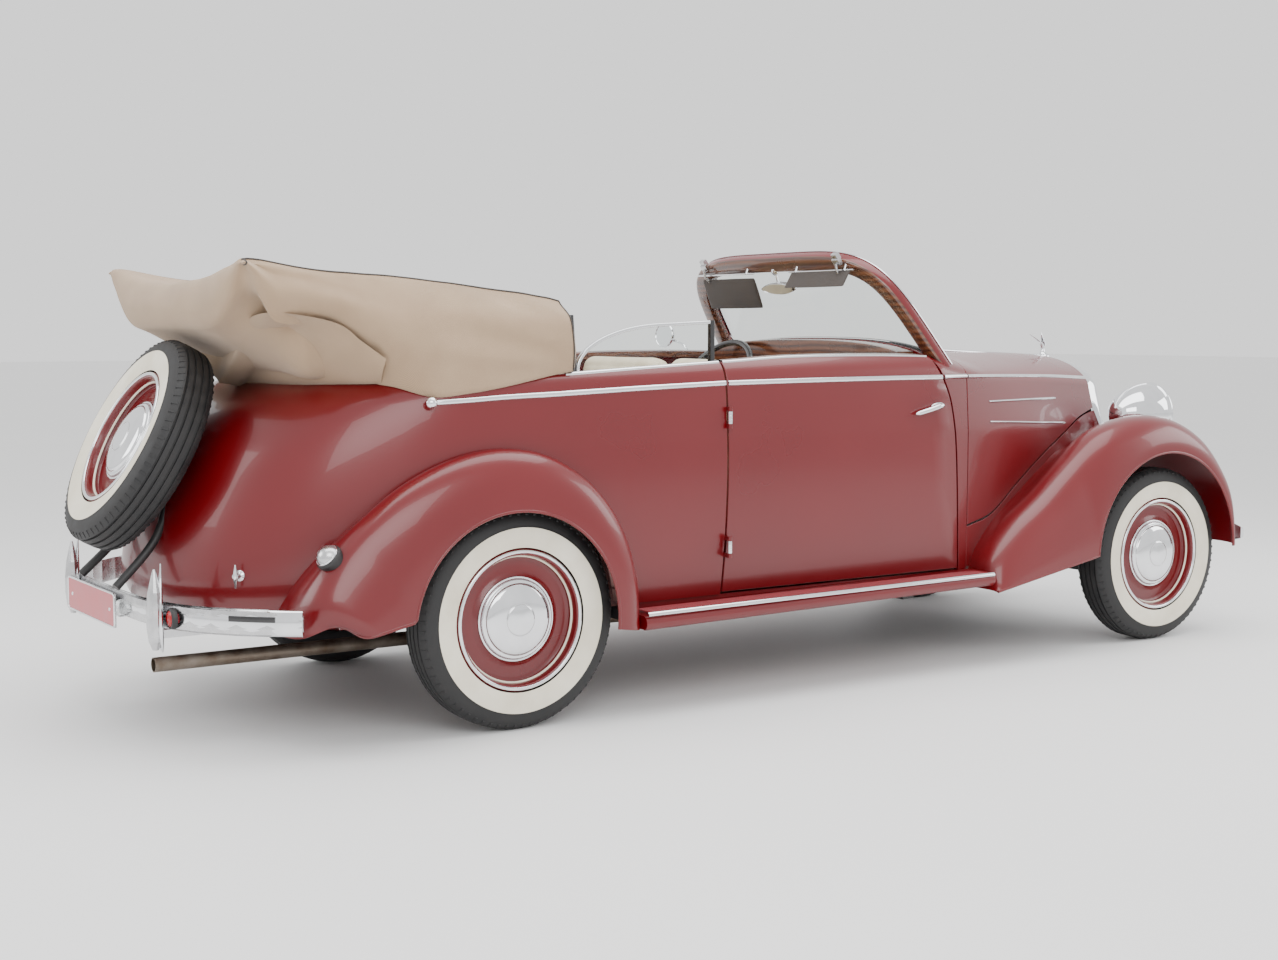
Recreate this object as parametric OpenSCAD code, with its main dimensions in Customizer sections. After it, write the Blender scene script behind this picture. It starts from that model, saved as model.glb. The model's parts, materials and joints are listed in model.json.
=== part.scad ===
// Four-seat open tourer car with two rear-hinged doors, separate wings,
// running boards and a spare wheel on the tail. Lengths run from the rear
// axle forwards (+X), +Y is the left side, +Z is up and the ground is Z = 0.
// The finished model is moved along X so that its middle is at the origin.

/* [Main sizes] */
// Distance between the two axles
wheelbase = 2845; // [2600:5:3500]
// Half width of the body at the belt line
body_half = 672; // [560:1:810]
// Height of the belt strip at the doors
belt_z = 1032; // [980:1:1100]
// Underside of the body
sill_z = 340; // [320:1:380]

/* [Wheels] */
// Outer radius of the tyres
tyre_r = 335; // [300:1:400]
// Width of the tyres
tyre_w = 140; // [115:1:165]
// Radius of the rim that the tyre sits on
rim_r = 204; // [180:1:220]
// How far the wheel plane lies inside the body side
track_inset = 22; // [10:1:40]
// Radius of the stub axles
stub_r = 20; // [15:0.5:26]
// Radial clearance of the wheel bearings
bearing_gap = 0.05; // [0.02:0.01:0.1]
// Wheel and kingpin are this far apart
kingpin_offset = 92; // [80:1:110]
// Radius of the kingpins
kingpin_r = 15; // [12:0.5:18]

/* [Doors and panels] */
// Rear shut line of the doors
door_rear_x = 792; // [740:1:850]
// Front shut line of the doors at the sill
door_front_x = 1838; // [1800:1:1850]
// How far the front shut line leans back at the belt
door_lean = 112; // [60:1:130]
// Thickness of the doors with their trim
door_t = 62; // [50:1:75]
// Gap around the doors
door_gap = 8; // [6:0.5:10]
// Thickness of the body shell with its trim
shell_t = 24; // [18:1:30]
// Thickness of the wings with their turned edge
wing_t = 14; // [10:1:18]
// How far the wings stand out from the wheel plane
wing_reach = 135; // [115:1:160]
// Thickness of the bonnet with its frame
bonnet_t = 12; // [8:1:16]
// Thickness of the floor
floor_t = 16; // [10:1:22]

/* [Windscreen] */
// Thickness of the glass
glass_t = 6; // [4:0.5:8]
// Height of the windscreen opening
screen_h = 345; // [280:1:400]
// Rake of the windscreen from the vertical
screen_rake = 36; // [28:1:42]

/* [Spare wheel and bumpers] */
// Lean of the spare wheel from the vertical
spare_lean = 27.5; // [22:0.5:30]
// Height of the spare wheel's centre
spare_z = 858; // [830:1:880]
// Height of the middle of the bumpers
bumper_z = 395; // [380:1:410]
// Height of the bumper blades
blade_h = 76; // [60:1:90]
// Thickness of the bumper blades
blade_t = 14; // [10:1:20]

/* [Hidden] */

cherry = [0.50, 0.03, 0.06];
chrome = [0.80, 0.81, 0.83];
black = [0.07, 0.07, 0.08];
wood = [0.25, 0.12, 0.07];
cream = [0.86, 0.80, 0.66];
tan_cloth = [0.76, 0.62, 0.46];

seam = 0.3;                              // gap between pieces that lie on each other
sunk = 6;                                // depth that a welded flange goes into its panel
axle_z = tyre_r;
wheel_y = body_half - track_inset;       // wheel plane
wing_y = wheel_y + wing_reach;           // outer face of the wings
king_y = wheel_y - kingpin_offset;
radiator_x = wheelbase + 105;
bonnet_rear_x = door_front_x + 62;
bonnet_front_x = radiator_x - 40;
bonnet_edge_z = 700;                     // lower edge of the bonnet sides
apron_z = 452;                           // lower edge of the engine bay sides
frame_top = sill_z - floor_t;
cap_rise = 76;                           // capping above the belt strip
hinge_x = door_rear_x - door_gap / 2;
hinge_out = 22;                          // hinge axis outside the belt line
front_bumper_x = wheelbase + 530;
spare_x = -918;
spare_reach = sin(spare_lean) * (tyre_r - 20) + cos(spare_lean) * tyre_w / 2;
rear_end_x = spare_x - spare_reach;
mid_x = (front_bumper_x + rear_end_x) / 2;

// ---- curves -------------------------------------------------------------
function mix(a, b, t) = a + (b - a) * t;
function clip(t) = max(0, min(1, t));
function ease(t) = (1 - cos(180 * clip(t))) / 2;
function pow0(a, n) = pow(max(a, 0), n);

// A smooth curve through the rows [x, value] of a table
function row_at(tab, x, i = 0) =
    (i >= len(tab) - 2 || x < tab[i + 1][0]) ? i : row_at(tab, x, i + 1);
function slope_at(tab, i) =
    let (a = max(i - 1, 0), b = min(i + 1, len(tab) - 1))
    (tab[b][1] - tab[a][1]) / (tab[b][0] - tab[a][0]);
function table(tab, x) =
    let (i = row_at(tab, x), w = tab[i + 1][0] - tab[i][0], t = clip((x - tab[i][0]) / w),
         m0 = slope_at(tab, i) * w, m1 = slope_at(tab, i + 1) * w, a = tab[i][1], b = tab[i + 1][1])
    a + m0 * t + (3 * (b - a) - 2 * m0 - m1) * t * t + (2 * (a - b) + m0 + m1) * t * t * t;

// A smooth path through points, with s from 0 to 1
function path_at(pts, s) =
    let (n = len(pts) - 1, i = min(floor(s * n), n - 1), t = s * n - i,
         p0 = pts[max(i - 1, 0)], p1 = pts[i], p2 = pts[i + 1], p3 = pts[min(i + 2, n)],
         m1 = (p2 - p0) / 2, m2 = (p3 - p1) / 2)
    p1 + m1 * t + (3 * (p2 - p1) - 2 * m1 - m2) * t * t + (2 * (p1 - p2) + m1 + m2) * t * t * t;

// Grids of points: rows of equal length. The outward side is row step x column step
function unit(v) = v / max(norm(v), 1e-9);
function normal_at(g, i, j) =
    let (r = len(g) - 1, c = len(g[0]) - 1,
         a = g[min(i + 1, r)][j] - g[max(i - 1, 0)][j],
         b = g[i][min(j + 1, c)] - g[i][max(j - 1, 0)])
    unit(cross(a, b));
function inset(g, t) =
    [for (i = [0:len(g) - 1]) [for (j = [0:len(g[0]) - 1]) g[i][j] - t * normal_at(g, i, j)]];
function shifted(g, v) = [for (row = g) [for (p = row) p + v]];

module shell(outer, inner) {
    r = len(outer);
    c = len(outer[0]);
    n = r * c;
    pts = concat([for (row = outer) each row], [for (row = inner) each row]);
    skin = [for (i = [0:r - 2]) for (j = [0:c - 2]) let (a = i * c + j)
        each [[a, a + c + 1, a + c], [a, a + 1, a + c + 1]]];
    back = [for (f = skin) [f[0] + n, f[2] + n, f[1] + n]];
    rim = concat([for (j = [0:c - 2]) [j, j + 1]],
        [for (i = [0:r - 2]) [i * c + c - 1, (i + 1) * c + c - 1]],
        [for (j = [c - 1:-1:1]) [(r - 1) * c + j, (r - 1) * c + j - 1]],
        [for (i = [r - 1:-1:1]) [i * c, (i - 1) * c]]);
    sides = [for (e = rim) each [[e[0], e[0] + n, e[1] + n], [e[0], e[1] + n, e[1]]]];
    polyhedron(pts, concat(skin, back, sides));
}

// A closed bar through rings that run anticlockwise about its own direction
module loft(rings) {
    c = len(rings[0]);
    r = len(rings);
    skin = [for (i = [0:r - 2]) for (j = [0:c - 1])
        let (a = i * c + j, b = i * c + (j + 1) % c)
        each [[a, b + c, b], [a, a + c, b + c]]];
    start = [for (j = [1:c - 2]) [0, j, j + 1]];
    stop = [for (j = [1:c - 2]) (r - 1) * c * [1, 1, 1] + [0, j + 1, j]];
    polyhedron([for (ring = rings) each ring], concat(skin, start, stop));
}

module placed() translate([-mid_x, 0, 0]) children();
module both() {
    children();
    mirror([0, 1, 0]) children();
}
// Points an axis drawn along Z out to the left
module along_y() rotate([-90, 0, 0]) children();
module rod_y(r, from, to) translate([0, from, 0]) along_y() cylinder(r = r, h = to - from, $fn = 48);

// ---- body surface -------------------------------------------------------
BELT = [[-900, 975], [-274, 990], [190, 1010], [475, 1021], [802, belt_z - 1], [1770, belt_z + 4],
    [wheelbase - 340, belt_z - 6], [radiator_x, belt_z - 22]];
CAP = [[-900, 62], [-274, 60], [190, 58], [465, 62], [802, 68], [1104, cap_rise + 3], [1664, cap_rise - 2],
    [1900, 55]];
// Half width against height above or below the belt
SIDE = [[-700, -26], [-520, -2], [-300, 12], [-120, 9], [0, 0], [35, -10], [60, -26], [82, -52]];
TAIL = [[330, -880], [430, -928], [520, -925], [640, -898], [740, -862], [850, -808], [930, -742],
    [990, -672], [1040, -575], [1080, -480]];
side_x = -60;                            // the tail starts to curve in behind this
tail_n = 2.5;

function belt_at(x) = table(BELT, x);
function cap_at(x) = belt_at(x) + table(CAP, x);
function half_at(x, z) = body_half + table(SIDE, z - belt_at(x));
// A point of the rear body at height z; u runs from the door to the tail's middle
function rear_point(u, z) =
    let (split = 0.5, t = clip((u - split) / (1 - split)), x0 = mix(door_rear_x - door_gap, side_x, clip(u / split)),
         xt = table(TAIL, z), s = pow0(sin(90 * t), 2 / tail_n), c = pow0(cos(90 * t), 2 / tail_n),
         x = u < split ? x0 : mix(side_x, xt, s))
    [x, -half_at(max(x, side_x), z) * (u < split ? 1 : c), z];
arch_r = tyre_r + 62;                    // cut in the body behind the rear wheel
function rear_low(x) =
    abs(x) < arch_r ? axle_z + sqrt(arch_r * arch_r - x * x) : sill_z;
// Half width of the rear body at x, back to its tail
function rear_half(x, z) =
    let (k = clip((side_x - x) / (side_x - table(TAIL, z))))
    half_at(max(x, side_x), z) * pow0(1 - pow0(k, tail_n), 1 / tail_n);

// ---- bonnet and scuttle surface -----------------------------------------
CROWN = [[1700, 1170], [1900, 1143], [2150, 1124], [wheelbase - 440, 1113], [wheelbase - 100, 1105],
    [radiator_x, 1090]];
nose_half = 252;                         // half width of the radiator at the belt
function nose_t(x) = clip((x - 1740) / (radiator_x - 1740));
function nose_w(x) = mix(body_half - 2, nose_half, pow0(nose_t(x), 1.06));
function nose_flare(x, z) = min(belt_at(x) - z, 200) * mix(0.03, 0.30, nose_t(x));
function nose_half_at(x, z) = min(nose_w(x) + max(nose_flare(x, z), 0), half_at(x, z) + 1);
// Roundness of the section: full shoulders at the windscreen, a low ridge at the radiator
function nose_n(x) = mix(2.6, 1.75, ease((x - 1760) / 340));
// v from 0 at the lower edge to 0.5 at the belt and 1 on the middle line
function nose_point(x, v, low) =
    let (zb = belt_at(x) - 45 * nose_t(x), t = clip(2 * v - 1),
         w = nose_half_at(x, zb), n = nose_n(x), top = table(CROWN, x))
    v <= 0.5 ? let (z = mix(low, zb, 2 * v)) [x, -nose_half_at(x, z), z]
    : [x, -w * pow0(cos(90 * t), 2 / n), mix(zb, top, pow0(sin(90 * t), 2 / n))];

// Front shut line of the doors: set back from its foot by shares of the lean
SHUT = [[sill_z, 0], [760, 0.18], [947, 0.48], [1047, 1.0], [1115, 1.3]];
function shut_x(z) = door_front_x - door_lean * table(SHUT, z);
SIDE_ROWS = 9;                           // rows of facets below the belt on door and scuttle
function skin_half(x, z) = x < 1740 ? half_at(x, z) : nose_half_at(x, z);
// Lower edge of the bonnet sides
EDGE = [[bonnet_rear_x, 500], [2070, 532], [2250, 627], [wheelbase - 420, 714], [wheelbase - 275, 777],
    [wheelbase - 95, bonnet_edge_z + 150], [bonnet_front_x, bonnet_edge_z + 185]];
function edge_at(x) = table(EDGE, x);
// Lower edge of the engine bay's sides: down to the sill behind the front wheel's reach
function apron_low(x) = mix(sill_z + door_gap, apron_z, ease((x - 2180) / 190));

// ---- wings ---------------------------------------------------------------
// Crest paths from the foot at the running board, about the wheel's centre
FRONT_CREST = [[-937, -60], [-915, 52], [-795, 162], [-630, 268], [-475, 381], [-335, 481], [-185, 527],
    [-45, 538], [95, 513], [225, 443], [320, 337], [377, 225], [393, 25]];
REAR_CREST = [[408, -62], [398, 105], [345, 265], [240, 400], [95, 490], [-65, 517], [-225, 491],
    [-380, 422], [-500, 330], [-590, 245], [-655, 165], [-695, 85], [-716, 5]];
FRONT_INNER = [[0, 1], [0.2, 0.97], [0.42, 0.82], [0.58, 0.76], [0.8, 0.76], [1, 0.88]];
REAR_INNER = [[0, 0.985], [0.4, 0.97], [1, 0.985]];
FRONT_CREST_Y = [[0, 95], [0.3, 125], [0.6, 130], [1, 150]];
REAR_CREST_Y = [[0, 70], [0.4, 85], [0.7, 110], [1, 190]];
front_arch = tyre_r + 50;
rear_arch = tyre_r + 12;
front_arch_at = [-30, 15];
rear_arch_at = [-40, -10];
wing_n = 2.5;
function arc2(at, r, a) = at + r * [cos(a), sin(a)];
// Lip of the wing: the lower edge, then the wheel arch, or the other way round
function front_lip(s) = s < 1 / 3
    ? let (a = FRONT_CREST[0] + [4, -3], b = arc2(front_arch_at, front_arch, 178)) a + (b - a) * 3 * s
    : arc2(front_arch_at, front_arch, mix(178, 0, (s - 1 / 3) * 1.5));
function rear_lip(s) = s < 0.7
    ? arc2(rear_arch_at, rear_arch, mix(-6, 172, s / 0.7))
    : let (a = arc2(rear_arch_at, rear_arch, 172), b = REAR_CREST[12] + [90, -18]) mix(a, b, (s - 0.7) / 0.3);

// One point of a wing: t from 0 at the body to 1 at the lip
function wing_point(front, s, t) =
    let (crest_t = 0.34, at = [front ? wheelbase : 0, axle_z],
         p = path_at(front ? FRONT_CREST : REAR_CREST, s), lip = front ? front_lip(s) : rear_lip(s),
         v = p * table(front ? FRONT_INNER : REAR_INNER, s),
         yc = wing_y - table(front ? FRONT_CREST_Y : REAR_CREST_Y, s),
         body = front ? apron_half(v.x + at.x, v.y + at.y) : rear_half(v.x, v.y + at.y),
         yb = min(body, yc - 4) - sunk,
         k = ease(t / crest_t), a = 90 * clip((t - crest_t) / (1 - crest_t)),
         q = t < crest_t ? mix(v, p, k) : mix(p, lip, 1 - pow0(cos(a), 2 / wing_n)),
         y = t < crest_t ? mix(yb, yc, t / crest_t) : mix(yc, wing_y, pow0(sin(a), 2 / wing_n)))
    [at.x + q.x, -y, at.y + q.y];
inner_swing = king_y - 136;              // the steered tyre's inner edge stays outside this
function apron_half(x, z) =
    min(nose_half_at(x, z), x > wheelbase - 445 && z < 640 ? inner_swing : body_half)
    + (bonnet_t + 1) * clip((x - bonnet_front_x + 60) / 60);

// ---- wheels ---------------------------------------------------------------
module tyre() {
    crown = tyre_r;
    h = tyre_w / 2;
    case_t = 14;
    side = [[rim_r, 0.67], [rim_r + 13, 0.69], [rim_r + 15, 0.86], [rim_r + 40, 0.98], [rim_r + 68, 1.0], [crown - 32, 0.94],
        [crown - 14, 0.80], [crown - 5, 0.62], [crown - 1, 0.35], [crown, 0.12]];
    bore = [[crown - case_t, 0], [crown - case_t - 8, 0.55], [crown - 40, 0.74], [rim_r + 68, 0.80],
        [rim_r + 30, 0.76], [rim_r + 10, 0.60], [rim_r, 0.50]];
    n = len(side) - 1;
    right = concat(side, [for (i = [n:-1:0]) [side[i][0], -side[i][1]]]);
    hollow = concat([for (i = [6:-1:0]) [bore[i][0], -bore[i][1]]], [for (i = [1:6]) bore[i]]);
    along_y() rotate_extrude($fn = 72) polygon([for (p = concat(right, hollow)) [p[0], p[1] * h]]);
}
cap_r = 119;
hub_out = 34;                            // hub face outside the wheel plane
module wheel() {
    fit = rim_r - seam;
    h = tyre_w / 2;
    hub_r = stub_r + 26;
    rim = [[fit, -0.70 * h], [fit + 12, -0.74 * h], [fit + 12, -0.80 * h], [fit - 8, -0.84 * h], [fit - 9, -0.5 * h],
        [fit - 26, -0.3 * h], [fit - 26, 0.02 * h], [hub_r + 60, 0.10 * h], [hub_r + 30, 0.30 * h], [hub_r, 0.30 * h],
        [hub_r, -0.5 * h], [stub_r, -0.5 * h], [stub_r, hub_out], [cap_r - 6, hub_out], [cap_r + 4, 0.40 * h],
        [cap_r + 22, 0.22 * h], [fit - 18, 0.24 * h], [fit - 9, 0.42 * h], [fit - 6, 0.84 * h], [fit + 12, 0.80 * h],
        [fit + 12, 0.74 * h], [fit, 0.70 * h]];
    dome = [for (i = [0:8]) [cap_r * cos(90 * i / 8), hub_out + 26 * sin(90 * i / 8)]];
    along_y() {
        rotate_extrude($fn = 72) polygon(rim);
        rotate_extrude($fn = 72) polygon(concat([[0, hub_out - 6], [cap_r - 8, hub_out - 6]], dome));
    }
}
module at_wheel(x, left) placed() mirror([0, left ? 0 : 1, 0]) translate([x, wheel_y, axle_z]) children();
module tyre_front_left() color(black) at_wheel(wheelbase, true) tyre();
module tyre_front_right() color(black) at_wheel(wheelbase, false) tyre();
module tyre_rear_left() color(black) at_wheel(0, true) tyre();
module tyre_rear_right() color(black) at_wheel(0, false) tyre();
module wheel_front_left() color(cherry) at_wheel(wheelbase, true) wheel();
module wheel_front_right() color(cherry) at_wheel(wheelbase, false) wheel();
module wheel_rear_left() color(cherry) at_wheel(0, true) wheel();
module wheel_rear_right() color(cherry) at_wheel(0, false) wheel();

// Spare wheel: its outer face looks back and up
module at_spare() placed() translate([spare_x, 0, spare_z]) rotate([0, spare_lean, 0]) rotate([0, 0, 90]) children();
module spare_tyre() color(black) at_spare() tyre();
module spare_wheel() color(cherry) at_spare() wheel();
module spare_carrier() color(black) at_spare() {
    rod_y(stub_r - bearing_gap, -60, 14);
    rod_y(52, -104, -0.5 * tyre_w / 2 - seam);
}

// ---- running gear ---------------------------------------------------------
leaf_w = 60;
spring_block = 110;                      // clamp that holds both springs to the frame
leaf_low = axle_z - 92;
leaf_high = axle_z + 92;
module stub(from) rod_y(stub_r - bearing_gap, from, hub_out - 8);
module knuckle() {
    post = 70;
    difference() {
        union() {
            translate([0, -kingpin_offset, -post]) cylinder(r = kingpin_r + 15, h = 2 * post, $fn = 48);
            rod_y(34, -kingpin_offset, -0.5 * tyre_w / 2 - 3);
            stub(-kingpin_offset);
            translate([-150, -kingpin_offset - 14, -46]) cube([150, 28, 22]);
        }
        translate([0, -kingpin_offset, -post - 1]) cylinder(r = kingpin_r + bearing_gap, h = 2 * post + 2, $fn = 48);
    }
}
module knuckle_left() color(black) at_wheel(wheelbase, true) knuckle();
module knuckle_right() color(black) at_wheel(wheelbase, false) knuckle();
module front_springs() color(black) placed() translate([wheelbase, 0, 0]) {
    for (z = [leaf_low, leaf_high]) translate([-leaf_w / 2, -king_y, z - 12]) cube([leaf_w, 2 * king_y, 24]);
    both() translate([0, king_y, leaf_low - 12]) cylinder(r = kingpin_r, h = leaf_high - leaf_low + 24, $fn = 48);
    both() for (z = [leaf_low, leaf_high]) translate([0, king_y, z - 14]) cylinder(r = leaf_w / 2, h = 28, $fn = 48);
    translate([-spring_block / 2, -120, leaf_low + 12]) cube([spring_block, 240, leaf_high - leaf_low - 24]);
}
module rear_axle() color(black) placed() translate([0, 0, axle_z]) {
    rod_y(42, -wheel_y + 78, wheel_y - 78);
    both() translate([0, wheel_y, 0]) stub(-90);
    sphere(r = 120, $fn = 48);
    both() translate([-20, 300, 0]) cylinder(r = 58, h = hump_z - axle_z - seam, $fn = 48);
}

// Side rails with a rise over the rear axle, joined by cross members
rail_y = 330;
frame_rear_x = -700;
frame_front_x = wheelbase + 250;
rail_w = 60;
rail_h = 78;
kick = 150;
hump_z = frame_top - rail_h + kick + 42; // underside of the frame above the rear axle
module chassis_frame() color(black) placed() {
    low = frame_top - rail_h;
    top = frame_top;
    hump = [[frame_rear_x, low + kick], [-230, low + kick], [-120, hump_z], [120, hump_z], [300, low],
        [wheelbase - 420, low], [wheelbase - 300, low + 96], [frame_front_x, low + 96], [frame_front_x, top + 70],
        [wheelbase - 330, top + 70], [wheelbase - 450, top], [330, top], [160, top + kick + 20], [-160, top + kick + 20],
        [-260, top + kick - 20], [frame_rear_x, top + kick - 20]];
    both() translate([0, rail_y + rail_w / 2, 0]) rotate([90, 0, 0]) linear_extrude(height = rail_w) polygon(hump);
    for (x = [420, 1250, 1900]) translate([x, -rail_y, low + 12]) cube([80, 2 * rail_y, 50]);
    translate([-640, -rail_y, low + kick + 10]) cube([60, 2 * rail_y, 40]);
    for (x = [-640, -200]) translate([wheelbase + x, -rail_y, top - 18]) cube([40, 2 * rail_y, 50]);
    translate([wheelbase + spring_block / 2 + seam, -rail_y, top + 10]) cube([40, 2 * rail_y, 50]);
    // Outriggers under the sills
    both() for (x = [560, 1640]) translate([x - 25, rail_y, low + 2]) cube([50, 610 - rail_y, 40]);
}
module engine_block() color([0.3, 0.3, 0.32]) placed()
    translate([wheelbase - 700, -210, frame_top + 32 + seam]) cube([620, 420, 500]);
module exhaust_pipe() color([0.35, 0.30, 0.26]) placed() translate([0, -235, 0]) {
    pipe_r = 22;
    z = 226;
    rotate([0, -90, 0]) translate([z, 0, 0]) difference() {
        union() {
            translate([0, 0, -2000]) cylinder(r = pipe_r, h = 2965, $fn = 32);
            translate([0, 0, -1220]) cylinder(r = 54, h = 520, $fn = 48);
        }
        translate([0, 0, -1999]) cylinder(r = pipe_r - 2, h = 2966, $fn = 32);
    }
    for (x = [430, 1260]) translate([x, -60, z - 3]) cube([20, 60, frame_top - rail_h + 12 - seam - z + 3]);
}

// ---- body -----------------------------------------------------------------
module floor_pan() color(cherry) placed() {
    x0 = 330;
    x1 = bonnet_rear_x + 120;
    half = body_half - 94 - seam;
    translate([x0, -half, frame_top + seam]) cube([x1 - x0, 2 * half, floor_t - seam]);
    // Seat pan and luggage floor above the rise of the frame
    rear_z = frame_top + kick + 20 + seam;
    rear_w = wheel_y - tyre_w / 2 - 32;
    plan = [for (i = [0:10]) let (x = mix(x0 + floor_t, -760, i / 10))
        [x, min(rear_w, rear_half(x, rear_z) - shell_t - 20)]];
    translate([0, 0, rear_z]) linear_extrude(height = floor_t)
        polygon(concat(plan, [for (i = [10:-1:0]) [plan[i].x, -plan[i].y]]));
    translate([x0, -rear_w, frame_top + seam]) cube([floor_t, 2 * rear_w, rear_z - frame_top]);
    // Bulkhead behind the engine
    translate([x1 - floor_t, -half + 70, frame_top + seam]) cube([floor_t, 2 * (half - 70), 560]);
    // Wheel houses, open at the axle
    both() translate([0, rear_w + floor_t, axle_z]) rotate([90, 0, 0]) linear_extrude(height = floor_t)
        difference() {
            circle(r = house_r, $fn = 72);
            circle(r = 62, $fn = 48);
            translate([-house_r - 1, -2 * house_r]) square([2 * house_r + 2, 2 * house_r]);
        }
    both() translate([0, house_half, axle_z]) rotate([90, 0, 0])
        linear_extrude(height = house_half - rear_w) difference() {
            circle(r = house_r, $fn = 72);
            circle(r = house_r - 12, $fn = 72);
            translate([-house_r - 1, -2 * house_r]) square([2 * house_r + 2, 2 * house_r]);
        }
}
house_r = tyre_r + 42;                   // wheel house inside the cut in the body
house_half = body_half - shell_t - 14;   // outer edge of the wheel house, clear of the body side

TAIL_U = 22;
deck_x = -190;
module rear_body() {
    side_rows = 7;
    top_rows = 4;
    us = [for (i = [0:TAIL_U]) i / TAIL_U];
    function low(u) = let (x = rear_point(u, 500).x) x < -arch_r ? 352 + 20 * clip((-x - arch_r) / 400) : rear_low(x);
    function column_z(u, k) =
        let (x = rear_point(u, belt_at(0)).x, zb = belt_at(x), zc = cap_at(x))
        k <= side_rows ? mix(low(u), zb, k / side_rows) : mix(zb, zc, sin(90 * (k - side_rows) / top_rows));
    function deck(u, t) =
        let (a = rear_point(u, column_z(u, side_rows + top_rows)), w = -a.y,
             b = u < 0.5 ? [a.x, -(w - 48), a.z - 2]
                 : [max(a.x + 300 * pow0(sin(180 * (u - 0.5)), 0.7), deck_x), -(body_half - 84) * min(1, (1 - u) * 9), a.z + 8])
        mix(a, b, t);
    half = [for (k = [0:side_rows + top_rows + 2]) [for (u = us)
        k <= side_rows + top_rows ? rear_point(u, column_z(u, k)) : deck(u, (k - side_rows - top_rows) / 2)]];
    full = [for (row = half) concat(row, [for (j = [TAIL_U - 1:-1:0]) [row[j].x, -row[j].y, row[j].z]])];
    color(cherry) placed() shell(full, inset(full, shell_t));
}

scuttle_front_x = bonnet_rear_x - 5;
scuttle_top_x = 1704;                                    // rear edge of its top, under the windscreen
rim_overhang = 3.5;                                      // how far its inner rim reaches behind that edge
module scuttle() {
    n = 2 * SIDE_ROWS;
    xs = scuttle_front_x;
    vs = [for (i = [0:n]) i / n];
    function rear_x(z) = z > 1132 ? scuttle_top_x : shut_x(z) + door_gap;
    function point(v, t) =
        let (z = nose_point(shut_x(900), v, sill_z).z, x = mix(xs, rear_x(z), t), q = nose_point(x, v, sill_z),
             w = skin_half(x, q.z))
        [x, v <= 0.5 ? -w : q.y, q.z];
    half = [for (v = vs) [for (t = [0, 0.34, 0.67, 1]) point(v, t)]];
    full = concat(half, [for (i = [n - 1:-1:0]) [for (p = half[i]) [p.x, -p.y, p.z]]]);
    // The inner face keeps the same gap to the door where it lies lower on the shut line
    inner = [for (row = inset(full, shell_t)) [for (i = [0:3]) let (p = row[i])
        i < 3 || p.z > 1132 ? p : [max(p.x, shut_x(p.z) + door_gap), p.y, p.z]]];
    color(cherry) placed() shell(full, inner);
}

module engine_bay_sides() {
    x0 = scuttle_front_x + seam;
    x1 = wheelbase + 330;
    function top_at(x) = x < bonnet_front_x ? edge_at(x) - 7
        : mix(edge_at(bonnet_front_x) - 60, apron_z + 40, clip((x - bonnet_front_x) / (x1 - bonnet_front_x)));
    xs = [for (i = [0:16]) mix(x1, x0, i / 16)];
    outer = [for (k = [0:6]) [for (x = xs) let (z = mix(apron_low(x), top_at(x), k / 6)) [x, -apron_half(x, z), z]]];
    color(cherry) placed() both() shell(outer, shifted(outer, [0, bonnet_t, 0]));
}

bonnet_pin_r = 7;
module bonnet_half() {
    n = 16;
    strip = bonnet_pin_r + 2.4;                           // half width of the hinge strip
    xs = [for (i = [0:14]) mix(bonnet_front_x, bonnet_rear_x, i / 14)];
    outer = [for (k = [0:n]) [for (x = xs) let (p = nose_point(x, k / n, edge_at(x))) [p.x, min(p.y, -strip), p.z]]];
    shell(outer, inset(outer, bonnet_t));
}
module bonnet_right() color(cherry) placed() bonnet_half();
module bonnet_left() color(cherry) placed() mirror([0, 1, 0]) bonnet_half();
bonnet_pin_rear = table(CROWN, bonnet_rear_x) - 2;
bonnet_pin_front = table(CROWN, bonnet_front_x) - 2;
bonnet_slope = atan2(bonnet_pin_rear - bonnet_pin_front, bonnet_front_x - bonnet_rear_x);
module bonnet_hinge() color(chrome) placed() {
    span = norm([bonnet_front_x - bonnet_rear_x, bonnet_pin_rear - bonnet_pin_front]);
    translate([bonnet_rear_x, 0, bonnet_pin_rear]) rotate([0, 90 + bonnet_slope, 0])
        translate([0, 0, scuttle_front_x - bonnet_rear_x + seam])
            cylinder(r = bonnet_pin_r, h = span + 8.1, $fn = 32);
}

module radiator_grille() {
    n = 22;
    low = apron_z;
    depth = 74;
    half = [for (i = [0:n]) let (p = nose_point(radiator_x, i / n, low)) [p.y, p.z]];
    outline = concat(half, [for (i = [n - 1:-1:0]) [-half[i].x, half[i].y]]);
    middle = [0, 780];
    function inner(k) = [for (p = outline) middle + [(p.x - middle.x) * k, (p.y - middle.y) * k]];
    color(chrome) placed() translate([bonnet_front_x + 4, 0, 0]) rotate([90, 0, 90]) {
        linear_extrude(height = depth) difference() {
            polygon(outline);
            polygon(inner(0.88));
        }
        translate([0, 0, 8]) linear_extrude(height = 46) polygon(inner(0.882));
    }
    // Feet on the front cross member
    color(chrome) placed() both() translate([bonnet_front_x + 6, 90, frame_top + 60 + seam])
        cube([24, 60, low - frame_top - 60 + 6]);
}

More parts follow.
